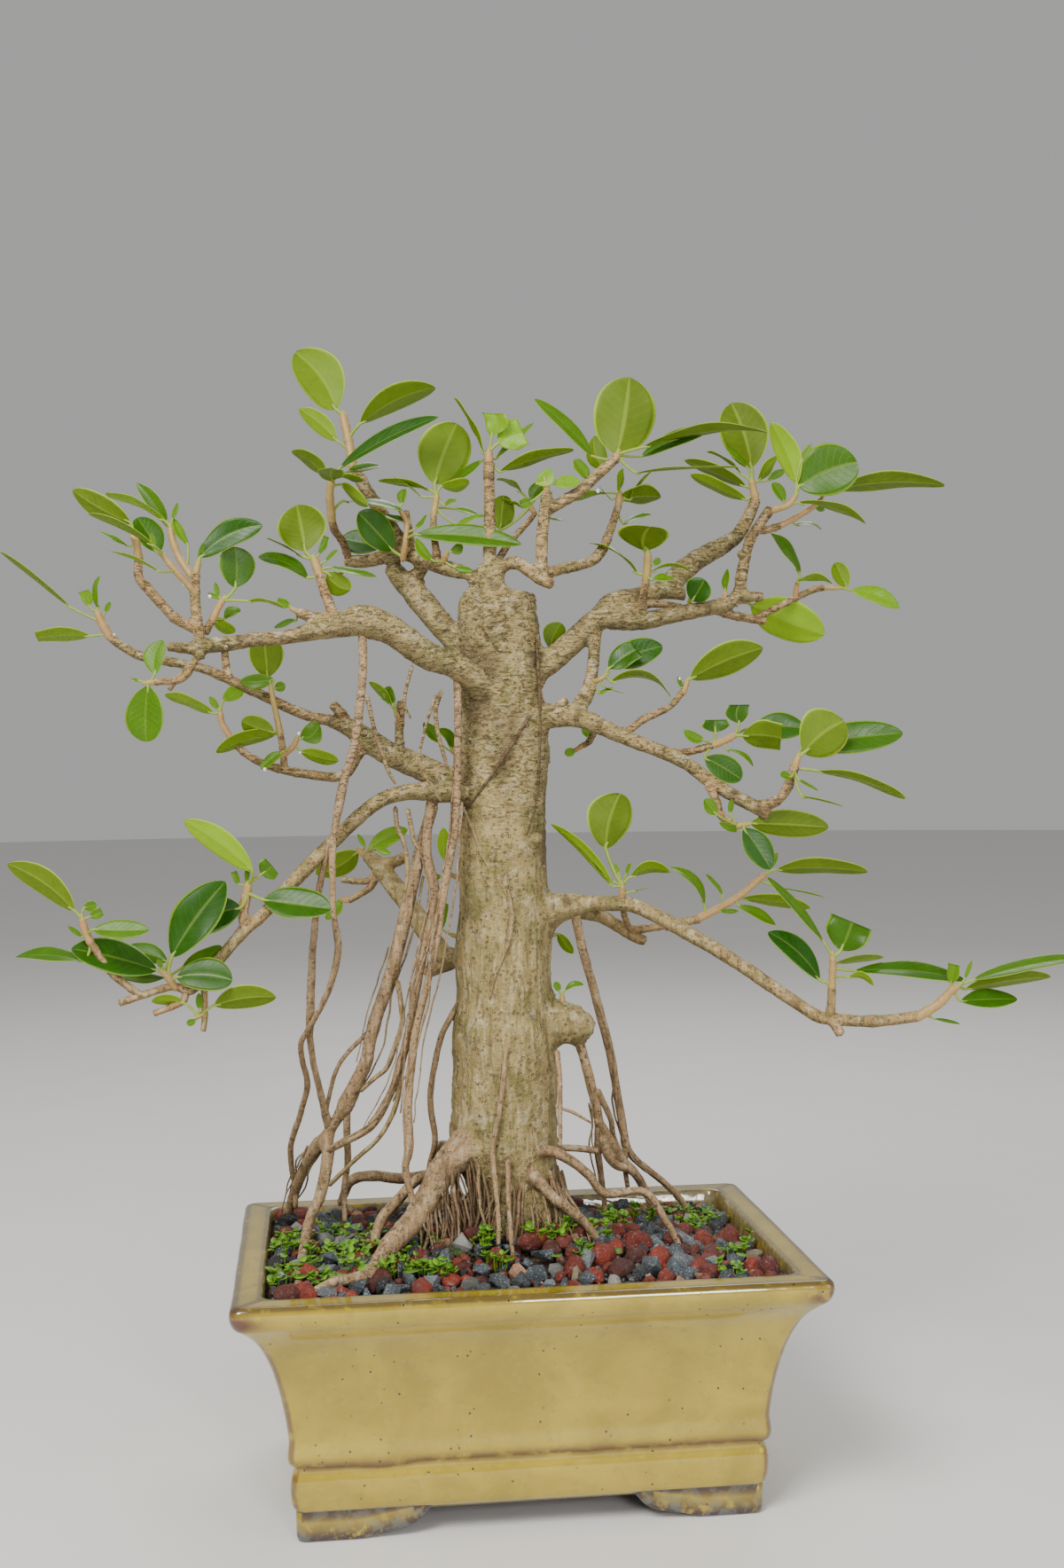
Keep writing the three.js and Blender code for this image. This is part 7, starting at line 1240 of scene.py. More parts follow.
def bark_relief(point, axis, radius):
    """How far a limb's bark stands out at a point, and a value that is low where it sinks in, which paints
    shade into its hollows.
    """
    along = point.dot(axis)
    side = point - axis * along
    # Long folds run along a limb, short cracks across it.
    fold = noise.noise(Vector(side / (0.42 * radius + 3)) + Vector(axis) * (along / (3.6 * radius + 12)))
    lump = rough(point, 1.1 * radius + 6, 3)
    move = 0.075 * radius * lump + 0.05 * radius * fold + 0.22 * rough(point, 3.2, 8)
    move += 0.55 * smoothstep(rough(point, 4.6, 21), 0.3, 0.65) * smoothstep(radius, 3, 9)
    return move, min(1.0, max(0.0, 0.5 + 0.5 * lump + 0.4 * fold))


def with_trunk_relief(move, point):
    """A relief with the trunk's own added: ridges low down, cracks across it higher up, and pits."""
    low = 1 - smoothstep(point[2], *RIDGES_END)
    ridge = noise.noise(Vector((point[0] / 4.2, point[1] / 4.2, point[2] / 34)))
    crack = noise.noise(Vector((point[0] / 11, point[1] / 11, point[2] / 3.1)))
    move += 0.85 * low * ridge - 0.7 * (1 - low) * smoothstep(crack, 0.2, 0.5)
    return move - smoothstep(rough(point, 5.2, 4), 0.40, 0.66)


def young_share(radius):
    """How young a branch of this radius looks."""
    return 0.85 * (1 - smoothstep(radius, 2.2, 5.0))


def carve_bark(piece, limbs):
    """Moves the remeshed surface by bark relief and writes its tint data."""
    rows, names, axes = [], [], []
    for name, points in limbs.items():
        for i, row in enumerate(points):
            if row[3] < THIN_LIMB:
                continue
            rows.append(row)
            names.append(name)
            before, after = points[max(i - 1, 0)], points[min(i + 1, len(points) - 1)]
            axes.append(unit(np.array(after[:3]) - np.array(before[:3])))
    mesh = piece.data
    mesh.update()
    places = np.empty(len(mesh.vertices) * 3)
    mesh.vertices.foreach_get("co", places)
    places = places.reshape(-1, 3) / MM
    edges = np.empty(len(mesh.edges) * 2, dtype=np.int32)
    mesh.edges.foreach_get("vertices", edges)
    places = round_creases(places, edges.reshape(-1, 2), crease_weight(places, rows, names))
    mesh.vertices.foreach_set("co", (places * MM).ravel())
    mesh.update()
    normals = np.array([vertex.normal[:] for vertex in mesh.vertices])
    colours = np.empty((len(places), 4), dtype=np.float32)
    for k, (point, normal, index) in enumerate(zip(places, normals, nearest_rows(places, rows))):
        name, radius = names[index], rows[index][3]
        root, dark, young = limb_tint(name)
        move, wear_and_hollow_shade = bark_relief(point, axes[index], radius)
        if name == "trunk":
            move = with_trunk_relief(move, point)
        elif name in BRANCHES:
            young = max(young, young_share(radius))
        places[k] += normal * move
        colours[k] = (root, dark, young, wear_and_hollow_shade)
    mesh.vertices.foreach_set("co", (places * MM).ravel())
    data = mesh.attributes.new("data", "FLOAT_COLOR", "POINT")
    data.data.foreach_set("color", colours.ravel())
    mesh.polygons.foreach_set("use_smooth", np.full(len(mesh.polygons), True))
    mesh.update()


def ring_scar(place, spacing):
    """The raised scar rings that fallen leaves leave round a twig."""
    return 1 + 0.16 * hill((place % spacing) / spacing, 0.5, 0.09)


def make_thin_wood(limbs, name, wanted, bark):
    """The thin limbs as swept tubes, which start inside the limb that bears them."""
    shape = Shape()
    for limb, rows in limbs.items():
        if not wanted(limb):
            continue
        for is_thin, group in itertools.groupby(rows, lambda row: row[3] < THIN_LIMB + THIN_OVERLAP):
            span = list(group)
            if is_thin and len(span) >= 2:
                add_tube(shape, span, limb_tint(limb), hash_of(limb), limb in BRANCHES)
    return shape.build(name, [bark])


def add_tube(shape, span, tint, seed, is_branch):
    """One thin limb with its knots, scars and waver."""
    rows = []
    travelled = 0.0
    previous = None
    for row in span:
        point = np.array(row[:3])
        if previous is not None:
            travelled += np.linalg.norm(point - previous)
        previous = point
        radius = row[3]
        if is_branch:
            radius *= ring_scar(travelled + seed, 5.5 + 2.2 * radius)
        else:
            radius *= 1 + 0.09 * noise.noise(Vector((seed, travelled / 6.0, 0.3)))
        rows.append([*(point + 0.25 * rough(point, 9, seed) * np.array([1, 1, 0.3])), radius])
    sides = 12 if span[0][3] > 1.4 else 8
    vertices, faces = sweep(rows, sides, 0.05, seed, 0.35 if is_branch else 1.2)
    young = max(tint[2], young_share(span[0][3])) if is_branch else tint[2]
    shape.add(vertices, faces, 0, (tint[0], tint[1], young, 0.5))


def add_hair(shape, points, radius, waver, seed, tint):
    """One hair root through some points, wavering and tapering."""
    line = smooth_rows([[*point, 1.0] for point in points], 2.6)
    rows = []
    for i, row in enumerate(line):
        share = i / max(len(line) - 1, 1)
        shift = [rough(row, 9, waver), rough(row, 9, waver + 7), 0.4 * rough(row, 9, waver + 3)]
        rows.append([*(row[:3] + 0.9 * np.array(shift)), radius * (1 - 0.45 * share)])
    shape.add(*sweep(rows, 6, 0.05, seed, 1.0), 0, tint)


def make_hair_roots(limbs, bark):
    """Fine roots: round the trunk's foot, beside the biggest root, and along other roots."""
    draw = random.Random(SEEDS["hair_roots"])
    shape = Shape()
    for k in range(SKIRT_HAIRS):
        out = round_vector(draw.uniform(0, math.tau) if k % 3 == 0 else draw.uniform(3.3, 5.9))
        high = draw.uniform(SKIRT_LOW, 172)
        start = np.array([TRUNK_FOOT[0] - 2, TRUNK_FOOT[1], high]) + out * (23.5 + (high - SKIRT_LOW) * 0.03)
        foot = start + out * draw.uniform(3, 20)
        foot[2] = ground_height(foot[0], foot[1]) - 3
        sway = np.array([-out[1], out[0], 0]) * draw.uniform(-7, 7)
        middle = start + (foot - start) * 0.5 + out * draw.uniform(-1, 2) + sway * 0.6
        radius = draw.uniform(0.45, 1.15)
        tint = (draw.uniform(0.6, 1.0), draw.uniform(0.6, 2.0), 0.0, draw.uniform(0.2, 0.6))
        add_hair(shape, [start - out * 2, middle, foot + sway], radius, k, k, tint)
    # A curtain of dark ones beside the upper part of the biggest root.
    rows = limbs["big_surface"]
    for k in range(CURTAIN_HAIRS):
        row = rows[int(len(rows) * draw.uniform(0.10, 0.46))]
        beside = np.array([draw.uniform(-0.2, 0.8), draw.uniform(-0.9, 0.3), -0.3])
        start = np.array(row[:3]) + row[3] * beside
        foot = start + np.array([draw.uniform(-5, 11), draw.uniform(-12, 4), 0])
        foot[2] = ground_height(foot[0], foot[1]) - 3
        middle = (start + foot) / 2 + np.array([draw.uniform(-2, 4), draw.uniform(-4, 1), 0])
        radius = draw.uniform(0.4, 1.2)
        tint = (draw.uniform(0.7, 1.0), draw.uniform(0.6, 2.0), 0.0, draw.uniform(0.1, 0.5))
        add_hair(shape, [start, middle, foot], radius, 60 + k, k, tint)
    for name, rows in limbs.items():
        if name not in ROOTS or not name.startswith(HAIRY_ROOTS):
            continue
        for _ in range(3):
            first = int(len(rows) * draw.uniform(0.1, 0.45))
            last = int(len(rows) * draw.uniform(0.75, 1.0)) - 1
            if last - first < 4:
                continue
            angle = draw.uniform(0, math.tau)
            points = []
            for step in range(5):
                row = rows[first + (last - first) * step // 4]
                apart = row[3] + draw.uniform(0.2, 4.5) * math.sin(math.pi * (0.12 + 0.76 * step / 4))
                points.append(np.array(row[:3]) + apart * round_vector(angle + draw.uniform(-0.7, 0.7)))
            radius = draw.uniform(0.45, 0.95)
            tint = (draw.uniform(0.5, 0.9), draw.uniform(0.4, 0.9), 0.0, 0.5)
            add_hair(shape, points, radius, angle, angle, tint)
    return shape.build("hair_roots", [bark])


def make_buds(limbs, wood, bark):
    """Dormant buds and root nubs that dot the trunk and the branches, set on the wood's own surface."""
    draw = random.Random(SEEDS["buds"])
    shape = Shape()
    surface = bvhtree.BVHTree.FromPolygons(
        [vertex.co for vertex in wood.data.vertices],
        [polygon.vertices[:] for polygon in wood.data.polygons],
    )
    for u, w, depth, size in KNOBS:
        centre = np.array(surface.find_nearest(Vector(seen(u, w, depth) * MM))[0]) / MM
        vertices, faces = ball(centre, (size, size * 0.9, size * 0.95), 3)
        vertices = [v + 0.12 * size * rough(v, size, 3) * unit(v - centre) for v in vertices]
        shape.add(vertices, faces, 0, (0.3, 0.45, 0.0, 0.5))
    for name, rows in limbs.items():
        if name not in BRANCHES or max(row[3] for row in rows) < BUDDED_RADIUS:
            continue
        for row in rows[2:]:
            if draw.random() > (TRUNK_BUDS if name == "trunk" else BRANCH_BUDS) or row[3] < BUDDED_RADIUS:
                continue
            out = round_vector(draw.uniform(0, math.tau), draw.uniform(-0.3, 0.3))
            place = np.array(row[:3]) + unit(out) * row[3]
            centre = np.array(surface.find_nearest(Vector(place * MM))[0]) / MM
            size = draw.uniform(0.6, 1.3)
            shape.add(*ball(centre, (size, size, size * 1.3), 2), 0, (draw.uniform(0.2, 0.7), 0.4, 0.0, 0.6))
    return shape.build("bark_buds", [bark])


# Leafy shoots

def stem_rows(stem):
    """The stem's rows in the pot's frame, from its table."""
    return [[*seen(u, w, depth), radius * scale_at(depth)] for u, w, depth, radius in stem]


def stem_place(stem, place):
    """The row of a stem at a fractional point index."""
    low = min(int(place), len(stem) - 1)
    high = min(low + 1, len(stem) - 1)
    return [a + (b - a) * (place - low) for a, b in zip(stem[low], stem[high])]


def outline_width(share, length_ratio, trimmed):
    """A blade's half width at a share of its length, as a share of the greatest."""
    if trimmed:
        if share < 0.6:
            return math.sin(math.pi / 2 * share / 0.6) ** 0.7
        return 1 - (1 - trimmed) * (share - 0.6) / 0.4
    widest, base, tip = (0.5, 0.75, 0.62) if length_ratio > 1.6 else (0.56, 0.7, 0.5)
    reach = (widest - share) / widest if share < widest else (share - widest) / (1 - widest)
    return max(1 - reach ** 2, 0) ** (base if share < widest else tip)


def blade_frame(base, tip, tilt):
    """A blade's own directions: along it, across it, and up from its upper skin."""
    axis = unit(tip - base)
    to_viewer = EYE - (base + tip) / 2
    to_viewer = unit(to_viewer - axis * to_viewer.dot(axis))
    upward = np.cross(axis, to_viewer)
    if upward[2] < 0:
        upward = -upward
    angle = math.radians(tilt)
    upper = math.cos(angle) * to_viewer + math.sin(angle) * upward
    return axis, np.cross(axis, upper), upper


def blade_faces(rings, wide):
    """A blade's faces and their materials: 0 for the upper skin, 1 for the lower one and the margin."""
    count = (rings + 1) * wide
    faces, materials = [], []
    for ring in range(rings):
        for k in range(wide - 1):
            a, b = ring * wide + k, ring * wide + k + 1
            c, d = b + wide, a + wide
            faces += [(a, b, c, d), (count + a, count + d, count + c, count + b)]
            materials += [0, 1]
        for k, way in ((0, 1), (wide - 1, -1)):
            a, d = ring * wide + k, ring * wide + k + wide
            faces.append((a, d, count + d, count + a)[::way])
            materials.append(1)
    for ring, way in ((0, -1), (rings, 1)):
        for k in range(wide - 1):
            a, b = ring * wide + k, ring * wide + k + 1
            faces.append((a, count + a, count + b, b)[::way])
            materials.append(1)
    return faces, materials


def add_blade(shape, base, tip, width, tilt, arch, trimmed, bow, tone, draw):
    """A blade with an upper and a lower skin that meet at the margin, folded along its midrib."""
    axis, across, upper = blade_frame(base, tip, tilt)
    length = np.linalg.norm(tip - base)
    sideways = across if across[2] >= 0 else -across
    ratio = length / max(width, 0.1)
    rings = 18 if length > 22 else 13 if length > 11 else 9
    fold = draw.uniform(0.07, 0.16)
    wave = draw.uniform(0.0, 0.05) * width
    twist = math.radians(draw.uniform(-9, 9))
    phase = draw.uniform(0, 6.3)
    curl = draw.uniform(-0.03, 0.05)
    thick = 0.17 + 0.1 * min(1, length / 40)
    top, under, info = [], [], []
    for ring in range(rings + 1):
        # Rings stand closer together towards the ends, where the outline turns fastest.
        share = 0.5 - 0.5 * math.cos(math.pi * (0.07 + 0.93 * ring / rings))
        share = min(share, 0.998) if not trimmed else ring / rings
        half = width / 2 * outline_width(share, ratio, trimmed)
        half = max(half, 0.3 if ring < rings else 0.15)
        lift = arch * 4 * share * (1 - share) + curl * length * (share ** 2 - share)
        turn = twist * (share - 0.5)
        side = across * math.cos(turn) + upper * math.sin(turn)
        normal = upper * math.cos(turn) - across * math.sin(turn)
        centre = base + axis * length * share + upper * lift + sideways * (bow * 4 * share * (1 - share))
        for column in BLADE_COLUMNS:
            rise = abs(column) * half * fold * 2 * (1 - 0.35 * abs(column))
            ripple = wave * math.sin(share * 9 + phase + (1.7 if column > 0 else 0)) * column ** 2
            rib = 0.28 * thick if abs(column) < 0.1 else 0.0
            point = centre + side * column * half + normal * (rise + ripple)
            edge = 0.5 if abs(column) == 1 else 1.0
            top.append(point + normal * (thick / 2 * edge - rib))
            under.append(point - normal * (thick / 2 * edge + rib * 4.2 * (1 - 0.7 * share)))
            info.append((abs(column), share, tone, 0.5 + 0.5 * column))
    faces, materials = blade_faces(rings, len(BLADE_COLUMNS))
    shape.add(top + under, faces, materials, info + info)
    return upper


def make_shoot(name, table, upper, under, green):
    """A leafy shoot: its green stem, petioles, blades and the bud at its tip."""
    draw = random.Random(name)
    shape = Shape()
    stem, leaves = table
    rows = smooth_rows(stem_rows(stem), STEM_SPACING)
    for i, row in enumerate(rows):
        row[3] *= ring_scar(i * STEM_SPACING + len(name), 5 + 2 * row[3])
    shape.add(*sweep(rows, 10, 0.04, hash_of(name), bulge=1.2), 2, (0, 0, 0.05 + 0.25 * draw.random(), 1))
    limes = LIME_LEAVES.get(name, {})
    young = name in YOUNG_SHOOTS
    for i, leaf in enumerate(leaves):
        place, base, tip, width, tilt, arch, trimmed, bow = (leaf + [0, 0, 0])[:8]
        u, w, depth, _ = stem_place(stem, place)
        scale = scale_at(depth)
        origin = seen(u, w, depth)
        start, end = (seen(*point[:2], depth + (point[2] if len(point) > 2 else 0)) for point in (base, tip))
        tone = limes.get(i, 0)
        for lime_u, lime_w, strength in LIME_SPOTS:
            if math.hypot((base[0] + tip[0]) / 2 - lime_u, (base[1] + tip[1]) / 2 - lime_w) < LIME_REACH:
                tone = strength
        if not tone:
            tone = draw.uniform(0.1, 0.3) if young else draw.uniform(0, 0.16)
            tone += draw.uniform(0.22, 0.45) * max(0.0, min(1.0, (15 - width) / 5))
        numbers = (width * scale, tilt, arch * scale, trimmed, bow * scale)
        normal = add_blade(shape, start, end, *numbers, tone, draw)
        add_petiole(shape, origin, start, unit(end - start), normal, width, draw)
    if not name.endswith(("bits", "buds", "_bit")):
        add_tip_bud(shape, rows, draw)
    return shape.build("leafy_" + name, [upper, under, green], replaced=["shoot_" + name])


def add_petiole(shape, origin, start, axis, normal, width, draw):
    """The stalk from the stem to the blade, grooved into the blade's midrib."""
    reach = np.linalg.norm(start - origin)
    radius = 0.5 + 0.02 * min(width, 28)
    points = [[*origin, radius * 1.35]]
    if reach > 2.5:
        away = unit(start - origin)
        middle = origin + (start - origin) * 0.5 - axis * min(1.5, reach * 0.1) + away * 0.2
        points.append([*middle, radius])
    points.append([*start, radius * 0.95])
    inner = start + axis * min(3.5, width * 0.25) - normal * 0.28
    points.append([*inner, radius * 0.6])
    shape.add(*sweep(smooth_rows(points, 1.0), 8, bulge=1.2), 2, (0, 1, 0.45 + 0.25 * draw.random(), 1))


def add_tip_bud(shape, rows, draw):
    """The pointed sheath that wraps the next leaf at a shoot's tip."""
    tip = np.array(rows[-1][:3])
    axis = unit(tip - np.array(rows[-3][:3] if len(rows) > 2 else rows[0][:3]))
    radius = max(rows[-1][3] * 0.75, 0.7)
    reach = draw.uniform(2.5, 4.0)
    points = [[*(tip - axis), radius], [*(tip + axis * reach * 0.35), radius * 0.95],
              [*(tip + axis * reach * 0.75), radius * 0.5], [*(tip + axis * reach), 0.12]]
    shape.add(*sweep(smooth_rows(points, 0.7), 8, bulge=1.2), 2, (0, 0, 0.7, 1))


def make_latex(white, shoots):
    """Drops of white latex at fresh cuts, each set on the nearest cut end."""
    draw = random.Random(SEEDS["latex"])
    shape = Shape()
    tree = kdtree.KDTree(sum(len(piece.data.vertices) for piece in shoots))
    for index, vertex in enumerate(vertex for piece in shoots for vertex in piece.data.vertices):
        tree.insert(vertex.co, index)
    tree.balance()
    for u, w in LATEX:
        best = None
        for depth in LATEX_DEPTHS:
            place, _, distance = tree.find(Vector(seen(u, w, depth) * MM))
            if best is None or distance < best[0] - 0.6 * MM:
                best = (distance, place)
        if best[0] > LATEX_REACH * MM:
            continue
        size = draw.uniform(0.7, 1.15)
        shape.add(*ball(np.array(best[1]) / MM, (size, size, size * 1.15), 2))
    return shape.build("latex_drops", [white])


# Materials

class Look:
    """A material's node tree, built from the shader back."""

    def __init__(self, name):
        self.material = bpy.data.materials.new(name)
        self.material.use_nodes = True
        self.tree = self.material.node_tree
        self.shader = self.tree.nodes["Principled BSDF"]
        self.place = self.node("ShaderNodeTexCoord").outputs["Object"]
        data = self.node("ShaderNodeAttribute")
        data.attribute_name = "data"
        self.data = data.outputs["Color"]
        self.extra = data.outputs["Alpha"]
        self.colour = None

    def node(self, kind, **inputs):
        """A new node of this kind, with some of its inputs by name."""
        node = self.tree.nodes.new(kind)
        for name, value in inputs.items():
            self.put(node.inputs[name], value)
        return node

    def put(self, socket, value):
        """Links an output to a socket, or sets the socket to a number or a colour."""
        if hasattr(value, "is_linked"):
            self.tree.links.new(value, socket)
        elif isinstance(value, tuple) and len(value) == 3 and len(socket.default_value) == 4:
            socket.default_value = (*value, 1)
        else:
            socket.default_value = value

    def math(self, operation, first, second=0.0, third=0.0, clamp=False):
        """The result of a math operation on outputs or numbers."""
        node = self.node("ShaderNodeMath")
        node.operation = operation
        node.use_clamp = clamp
        for socket, value in zip(node.inputs, (first, second, third)):
            self.put(socket, value)
        return node.outputs[0]

    def times(self, first, second, clamp=False):
        """The product of two outputs or numbers."""
        return self.math("MULTIPLY", first, second, clamp=clamp)

    def plus(self, first, second):
        """Their sum."""
        return self.math("ADD", first, second)

    def minus(self, first, second):
        """Their difference."""
        return self.math("SUBTRACT", first, second)

    def split(self, colour):
        """The three parts of a colour."""
        return tuple(self.node("ShaderNodeSeparateColor", Color=colour).outputs)

    def upward(self, vector):
        """The third part of a vector."""
        return self.node("ShaderNodeSeparateXYZ", Vector=vector).outputs["Z"]

    def mix(self, share, first, second):
        """The first colour at share 0, the second at share 1."""
        node = self.node("ShaderNodeMix")
        node.data_type = "RGBA"
        self.put(node.inputs[0], share)
        self.put(node.inputs[6], first)
        self.put(node.inputs[7], second)
        return node.outputs[2]

    def lay(self, mask, paint):
        """Lays paint over the colour where the mask is."""
        self.colour = self.mix(mask, self.colour, paint)

    def paint(self, mask, share, paint):
        """Lays a share of the paint over the colour where the mask is."""
        self.lay(self.times(mask, share), paint)

    def stretch(self, scale):
        """Places for a pattern that is stretched where its scale is below 1."""
        return self.node("ShaderNodeMapping", Vector=self.place, Scale=scale).outputs[0]

    def clouds(self, size, detail=3.0, where=None, rough=0.55, distort=0.0):
        """Noise from 0 to 1 with bumps of about size millimetres."""
        return self.node("ShaderNodeTexNoise", Vector=where or self.place, Scale=1 / (size * MM),
                         Detail=detail, Roughness=rough, Distortion=distort).outputs["Fac"]

    def cells(self, size):
        """The distance to the nearest of many points, about size millimetres apart."""
        return self.node("ShaderNodeTexVoronoi", Vector=self.place, Scale=1 / (size * MM)).outputs["Distance"]

    def band(self, value, low, high, first=0.0, last=1.0):
        """Maps value from low..high smoothly onto first..last."""
        node = self.node("ShaderNodeMapRange")
        node.interpolation_type = "SMOOTHSTEP"
        for socket, number in zip(node.inputs, (value, low, high, first, last)):
            self.put(socket, number)
        return node.outputs[0]

    def facing_up(self):
        """1 where the surface faces up, 0 where it faces down."""
        return self.band(self.upward(self.node("ShaderNodeNewGeometry").outputs["Normal"]), -0.7, 0.9)

    def bump(self, height, distance, strength=1.0):
        """The normal of a surface that rises by the height, at most by distance millimetres."""
        node = self.node("ShaderNodeBump", Height=height, Distance=distance * MM, Strength=strength)
        return node.outputs[0]

    def finish(self, roughness, normal=None, **values):
        """Sets up the shader; values are its inputs by name, with _ for spaces."""
        self.put(self.shader.inputs["Base Color"], self.colour)
        self.put(self.shader.inputs["Roughness"], roughness)
        if normal is not None:
            self.put(self.shader.inputs["Normal"], normal)
        for name, value in values.items():
            self.shader.inputs[name.replace("_", " ")].default_value = value
        return self.material


def leaf_colour(look, mottle_size, greens, limes, lines):
    """Gives the look a blade's colour; returns the masks of its veins and its midrib."""
    across, along, tone = look.split(look.data)
    curve = look.math("POWER", across, 1.25)
    phase = look.minus(look.times(along, 9.0), look.times(curve, 2.1))
    side_shift = look.times(look.band(look.extra, 0.49, 0.51), 0.37)
    ridge = look.math("ABSOLUTE", look.minus(look.math("FRACT", look.plus(phase, side_shift)), 0.5))
    veins = look.times(look.band(ridge, 0.06, 0.0), look.band(across, 0.97, 0.75))
    midrib = look.band(across, 0.085, 0.03)
    margin = look.band(across, 0.88, 0.97)
    mottle = look.clouds(mottle_size, 4)
    look.colour = look.mix(tone, look.mix(mottle, *greens), look.mix(mottle, *limes))
    for mask, (share, paint) in zip((veins, midrib, margin), lines):
        look.paint(mask, share, paint)
    return veins, midrib


def leaf_upper():
    """The glossy upper side of a leaf."""
    look = Look("leaf_upper")
    veins, midrib = leaf_colour(
        look, 7,
        ((0.004, 0.034, 0.0005), (0.016, 0.082, 0.001)),
        ((0.13, 0.28, 0.002), (0.21, 0.38, 0.004)),
        ((0.28, (0.07, 0.15, 0.012)), (0.6, (0.16, 0.25, 0.03)), (0.8, (0.20, 0.31, 0.02))),
    )
    look.paint(look.band(look.cells(11), 0.09, 0.05), 0.35, (0.10, 0.09, 0.02))
    relief = look.plus(look.times(veins, -0.5), look.times(look.clouds(1.1, 2), 0.25))
    relief = look.minus(relief, look.times(midrib, 0.5))
    normal = look.bump(look.plus(relief, look.times(look.clouds(4.5, 2), 0.6)), 0.07)
    roughness = look.band(look.clouds(9, 3), 0.3, 0.7, 0.28, 0.4)
    return look.finish(roughness, normal,
                       Specular_IOR_Level=0.22, Subsurface_Weight=0.08, **LEAF_GLOW)


def leaf_under():
    """The paler, duller underside of a leaf."""
    look = Look("leaf_underside")
    veins, _ = leaf_colour(
        look, 6,
        ((0.060, 0.102, 0.001), (0.110, 0.162, 0.002)),
        ((0.18, 0.34, 0.002), (0.26, 0.43, 0.004)),
        ((0.45, (0.16, 0.25, 0.01)), (0.8, (0.25, 0.34, 0.03)), (0.9, (0.32, 0.43, 0.03))),
    )
    normal = look.bump(look.plus(look.times(veins, 0.5), look.times(look.clouds(0.9, 2), 0.3)), 0.05)
    return look.finish(0.55, normal, Specular_IOR_Level=0.22, Subsurface_Weight=0.1, **LEAF_GLOW)


def green_stem():
    """Young stems and leaf stalks, from woody to green."""
    look = Look("green_stem")
    _, stalk, tone = look.split(look.data)
    streak = look.clouds(2.5, 3)
    woody = look.mix(streak, (0.30, 0.155, 0.055), (0.48, 0.27, 0.11))
    green = look.mix(streak, (0.17, 0.26, 0.02), (0.28, 0.38, 0.04))
    look.colour = look.mix(look.math("MAXIMUM", look.times(stalk, 0.95), tone, clamp=True), woody, green)
    spots = look.band(look.cells(1.7), 0.22, 0.12)
    look.paint(spots, 0.3, (0.3, 0.24, 0.14))
    normal = look.bump(look.clouds(0.8, 3), 0.1)
    return look.finish(0.48, normal)


def bark():
    """Bark of the trunk, the branches and the roots, tinted by the data of each vertex, with painted
    highlights on upward faces and painted shade on downward faces and in the hollows of its relief.
    """
    look = Look("bark")
    root, dark, young = look.split(look.data)
    wear_and_hollow_shade = look.extra
    patch = look.clouds(13, 4, rough=0.6)
    grain = look.clouds(2.1, 4, rough=0.62)
    fine = look.clouds(0.8, 3)
    khaki = look.mix(patch, (0.155, 0.120, 0.036), (0.50, 0.40, 0.165))
    tan = look.mix(patch, (0.27, 0.155, 0.058), (0.54, 0.34, 0.145))
    pink = look.mix(patch, (0.175, 0.082, 0.036), (0.60, 0.41, 0.23))
    look.colour = look.mix(young, khaki, tan)
    look.lay(root, pink)
    old = look.math("SUBTRACT", 1.0, root, clamp=True)
    algae = look.times(look.band(look.clouds(21, 4), 0.50, 0.64), old)
    look.paint(algae, 0.6, (0.125, 0.135, 0.028))
    # Painted highlight: paler patches on the bark that faces up.
    pale = look.times(look.band(look.clouds(7, 4), 0.52, 0.66), look.facing_up())
    look.paint(pale, 0.65, (0.62, 0.55, 0.38))
    # Streaks and fissures run up the lower trunk, and cracks run across it higher up.
    high = look.band(look.upward(look.place), 0.27, 0.41)
    upright = look.clouds(2.6, 4, look.stretch((1, 1, 0.15)), distort=0.6)
    across = look.clouds(2.9, 4, look.stretch((0.6, 0.6, 2.0)), distort=1.0)
    streak = look.mix(high, upright, across)
    dull = look.times(look.band(streak, 0.46, 0.36), look.band(high, 0, 1, 0.55, 1))
    light = look.band(streak, 0.54, 0.66)
    look.paint(dull, 0.65, (0.085, 0.058, 0.020))
    look.paint(light, 0.40, look.mix(root, (0.62, 0.53, 0.30), (0.66, 0.48, 0.34)))
    ticks = look.clouds(1.5, 3, look.stretch((0.7, 0.7, 1.8)), distort=1.5)
    look.lay(look.band(ticks, 0.41, 0.34, 0.0, 0.6), (0.070, 0.044, 0.018))
    look.lay(look.band(grain, 0.43, 0.31, 0.0, 0.62), (0.060, 0.038, 0.016))
    look.lay(look.band(fine, 0.60, 0.70, 0.0, 0.45), (0.64, 0.54, 0.34))
    # Painted shade in the hollows of the bark's relief, where the last data value is low; on hair roots that
    # value is a random tone.
    look.lay(look.band(wear_and_hollow_shade, 0.38, 0.08, 0.0, 0.65), (0.080, 0.052, 0.026))
    # Pale breathing pores in dark rings, in patches.
    pores = look.cells(3.1)
    where = look.band(look.clouds(9, 2), 0.42, 0.55)
    ring = look.times(look.band(pores, 0.36, 0.22), where)
    core = look.times(look.band(pores, 0.17, 0.10), where)
    look.paint(ring, 0.6, (0.065, 0.040, 0.020))
    look.paint(core, 0.85, (0.60, 0.48, 0.30))
    look.lay(look.times(dark, 0.3, clamp=True), (0.075, 0.036, 0.020))
    # Painted shade on the bark that faces down.
    below = look.band(look.facing_up(), 0.36, 0.08)
    look.paint(below, 0.4, (0.075, 0.055, 0.025))
    height = look.minus(look.plus(grain, look.times(fine, 0.35)), look.times(dull, 0.5))
    height = look.minus(height, look.times(ring, 0.35))
    height = look.plus(height, look.times(core, 0.6))
    normal = look.bump(height, 1.3, 1.0)
    return look.finish(look.band(grain, 0.3, 0.7, 0.66, 0.9), normal, Specular_IOR_Level=0.25)


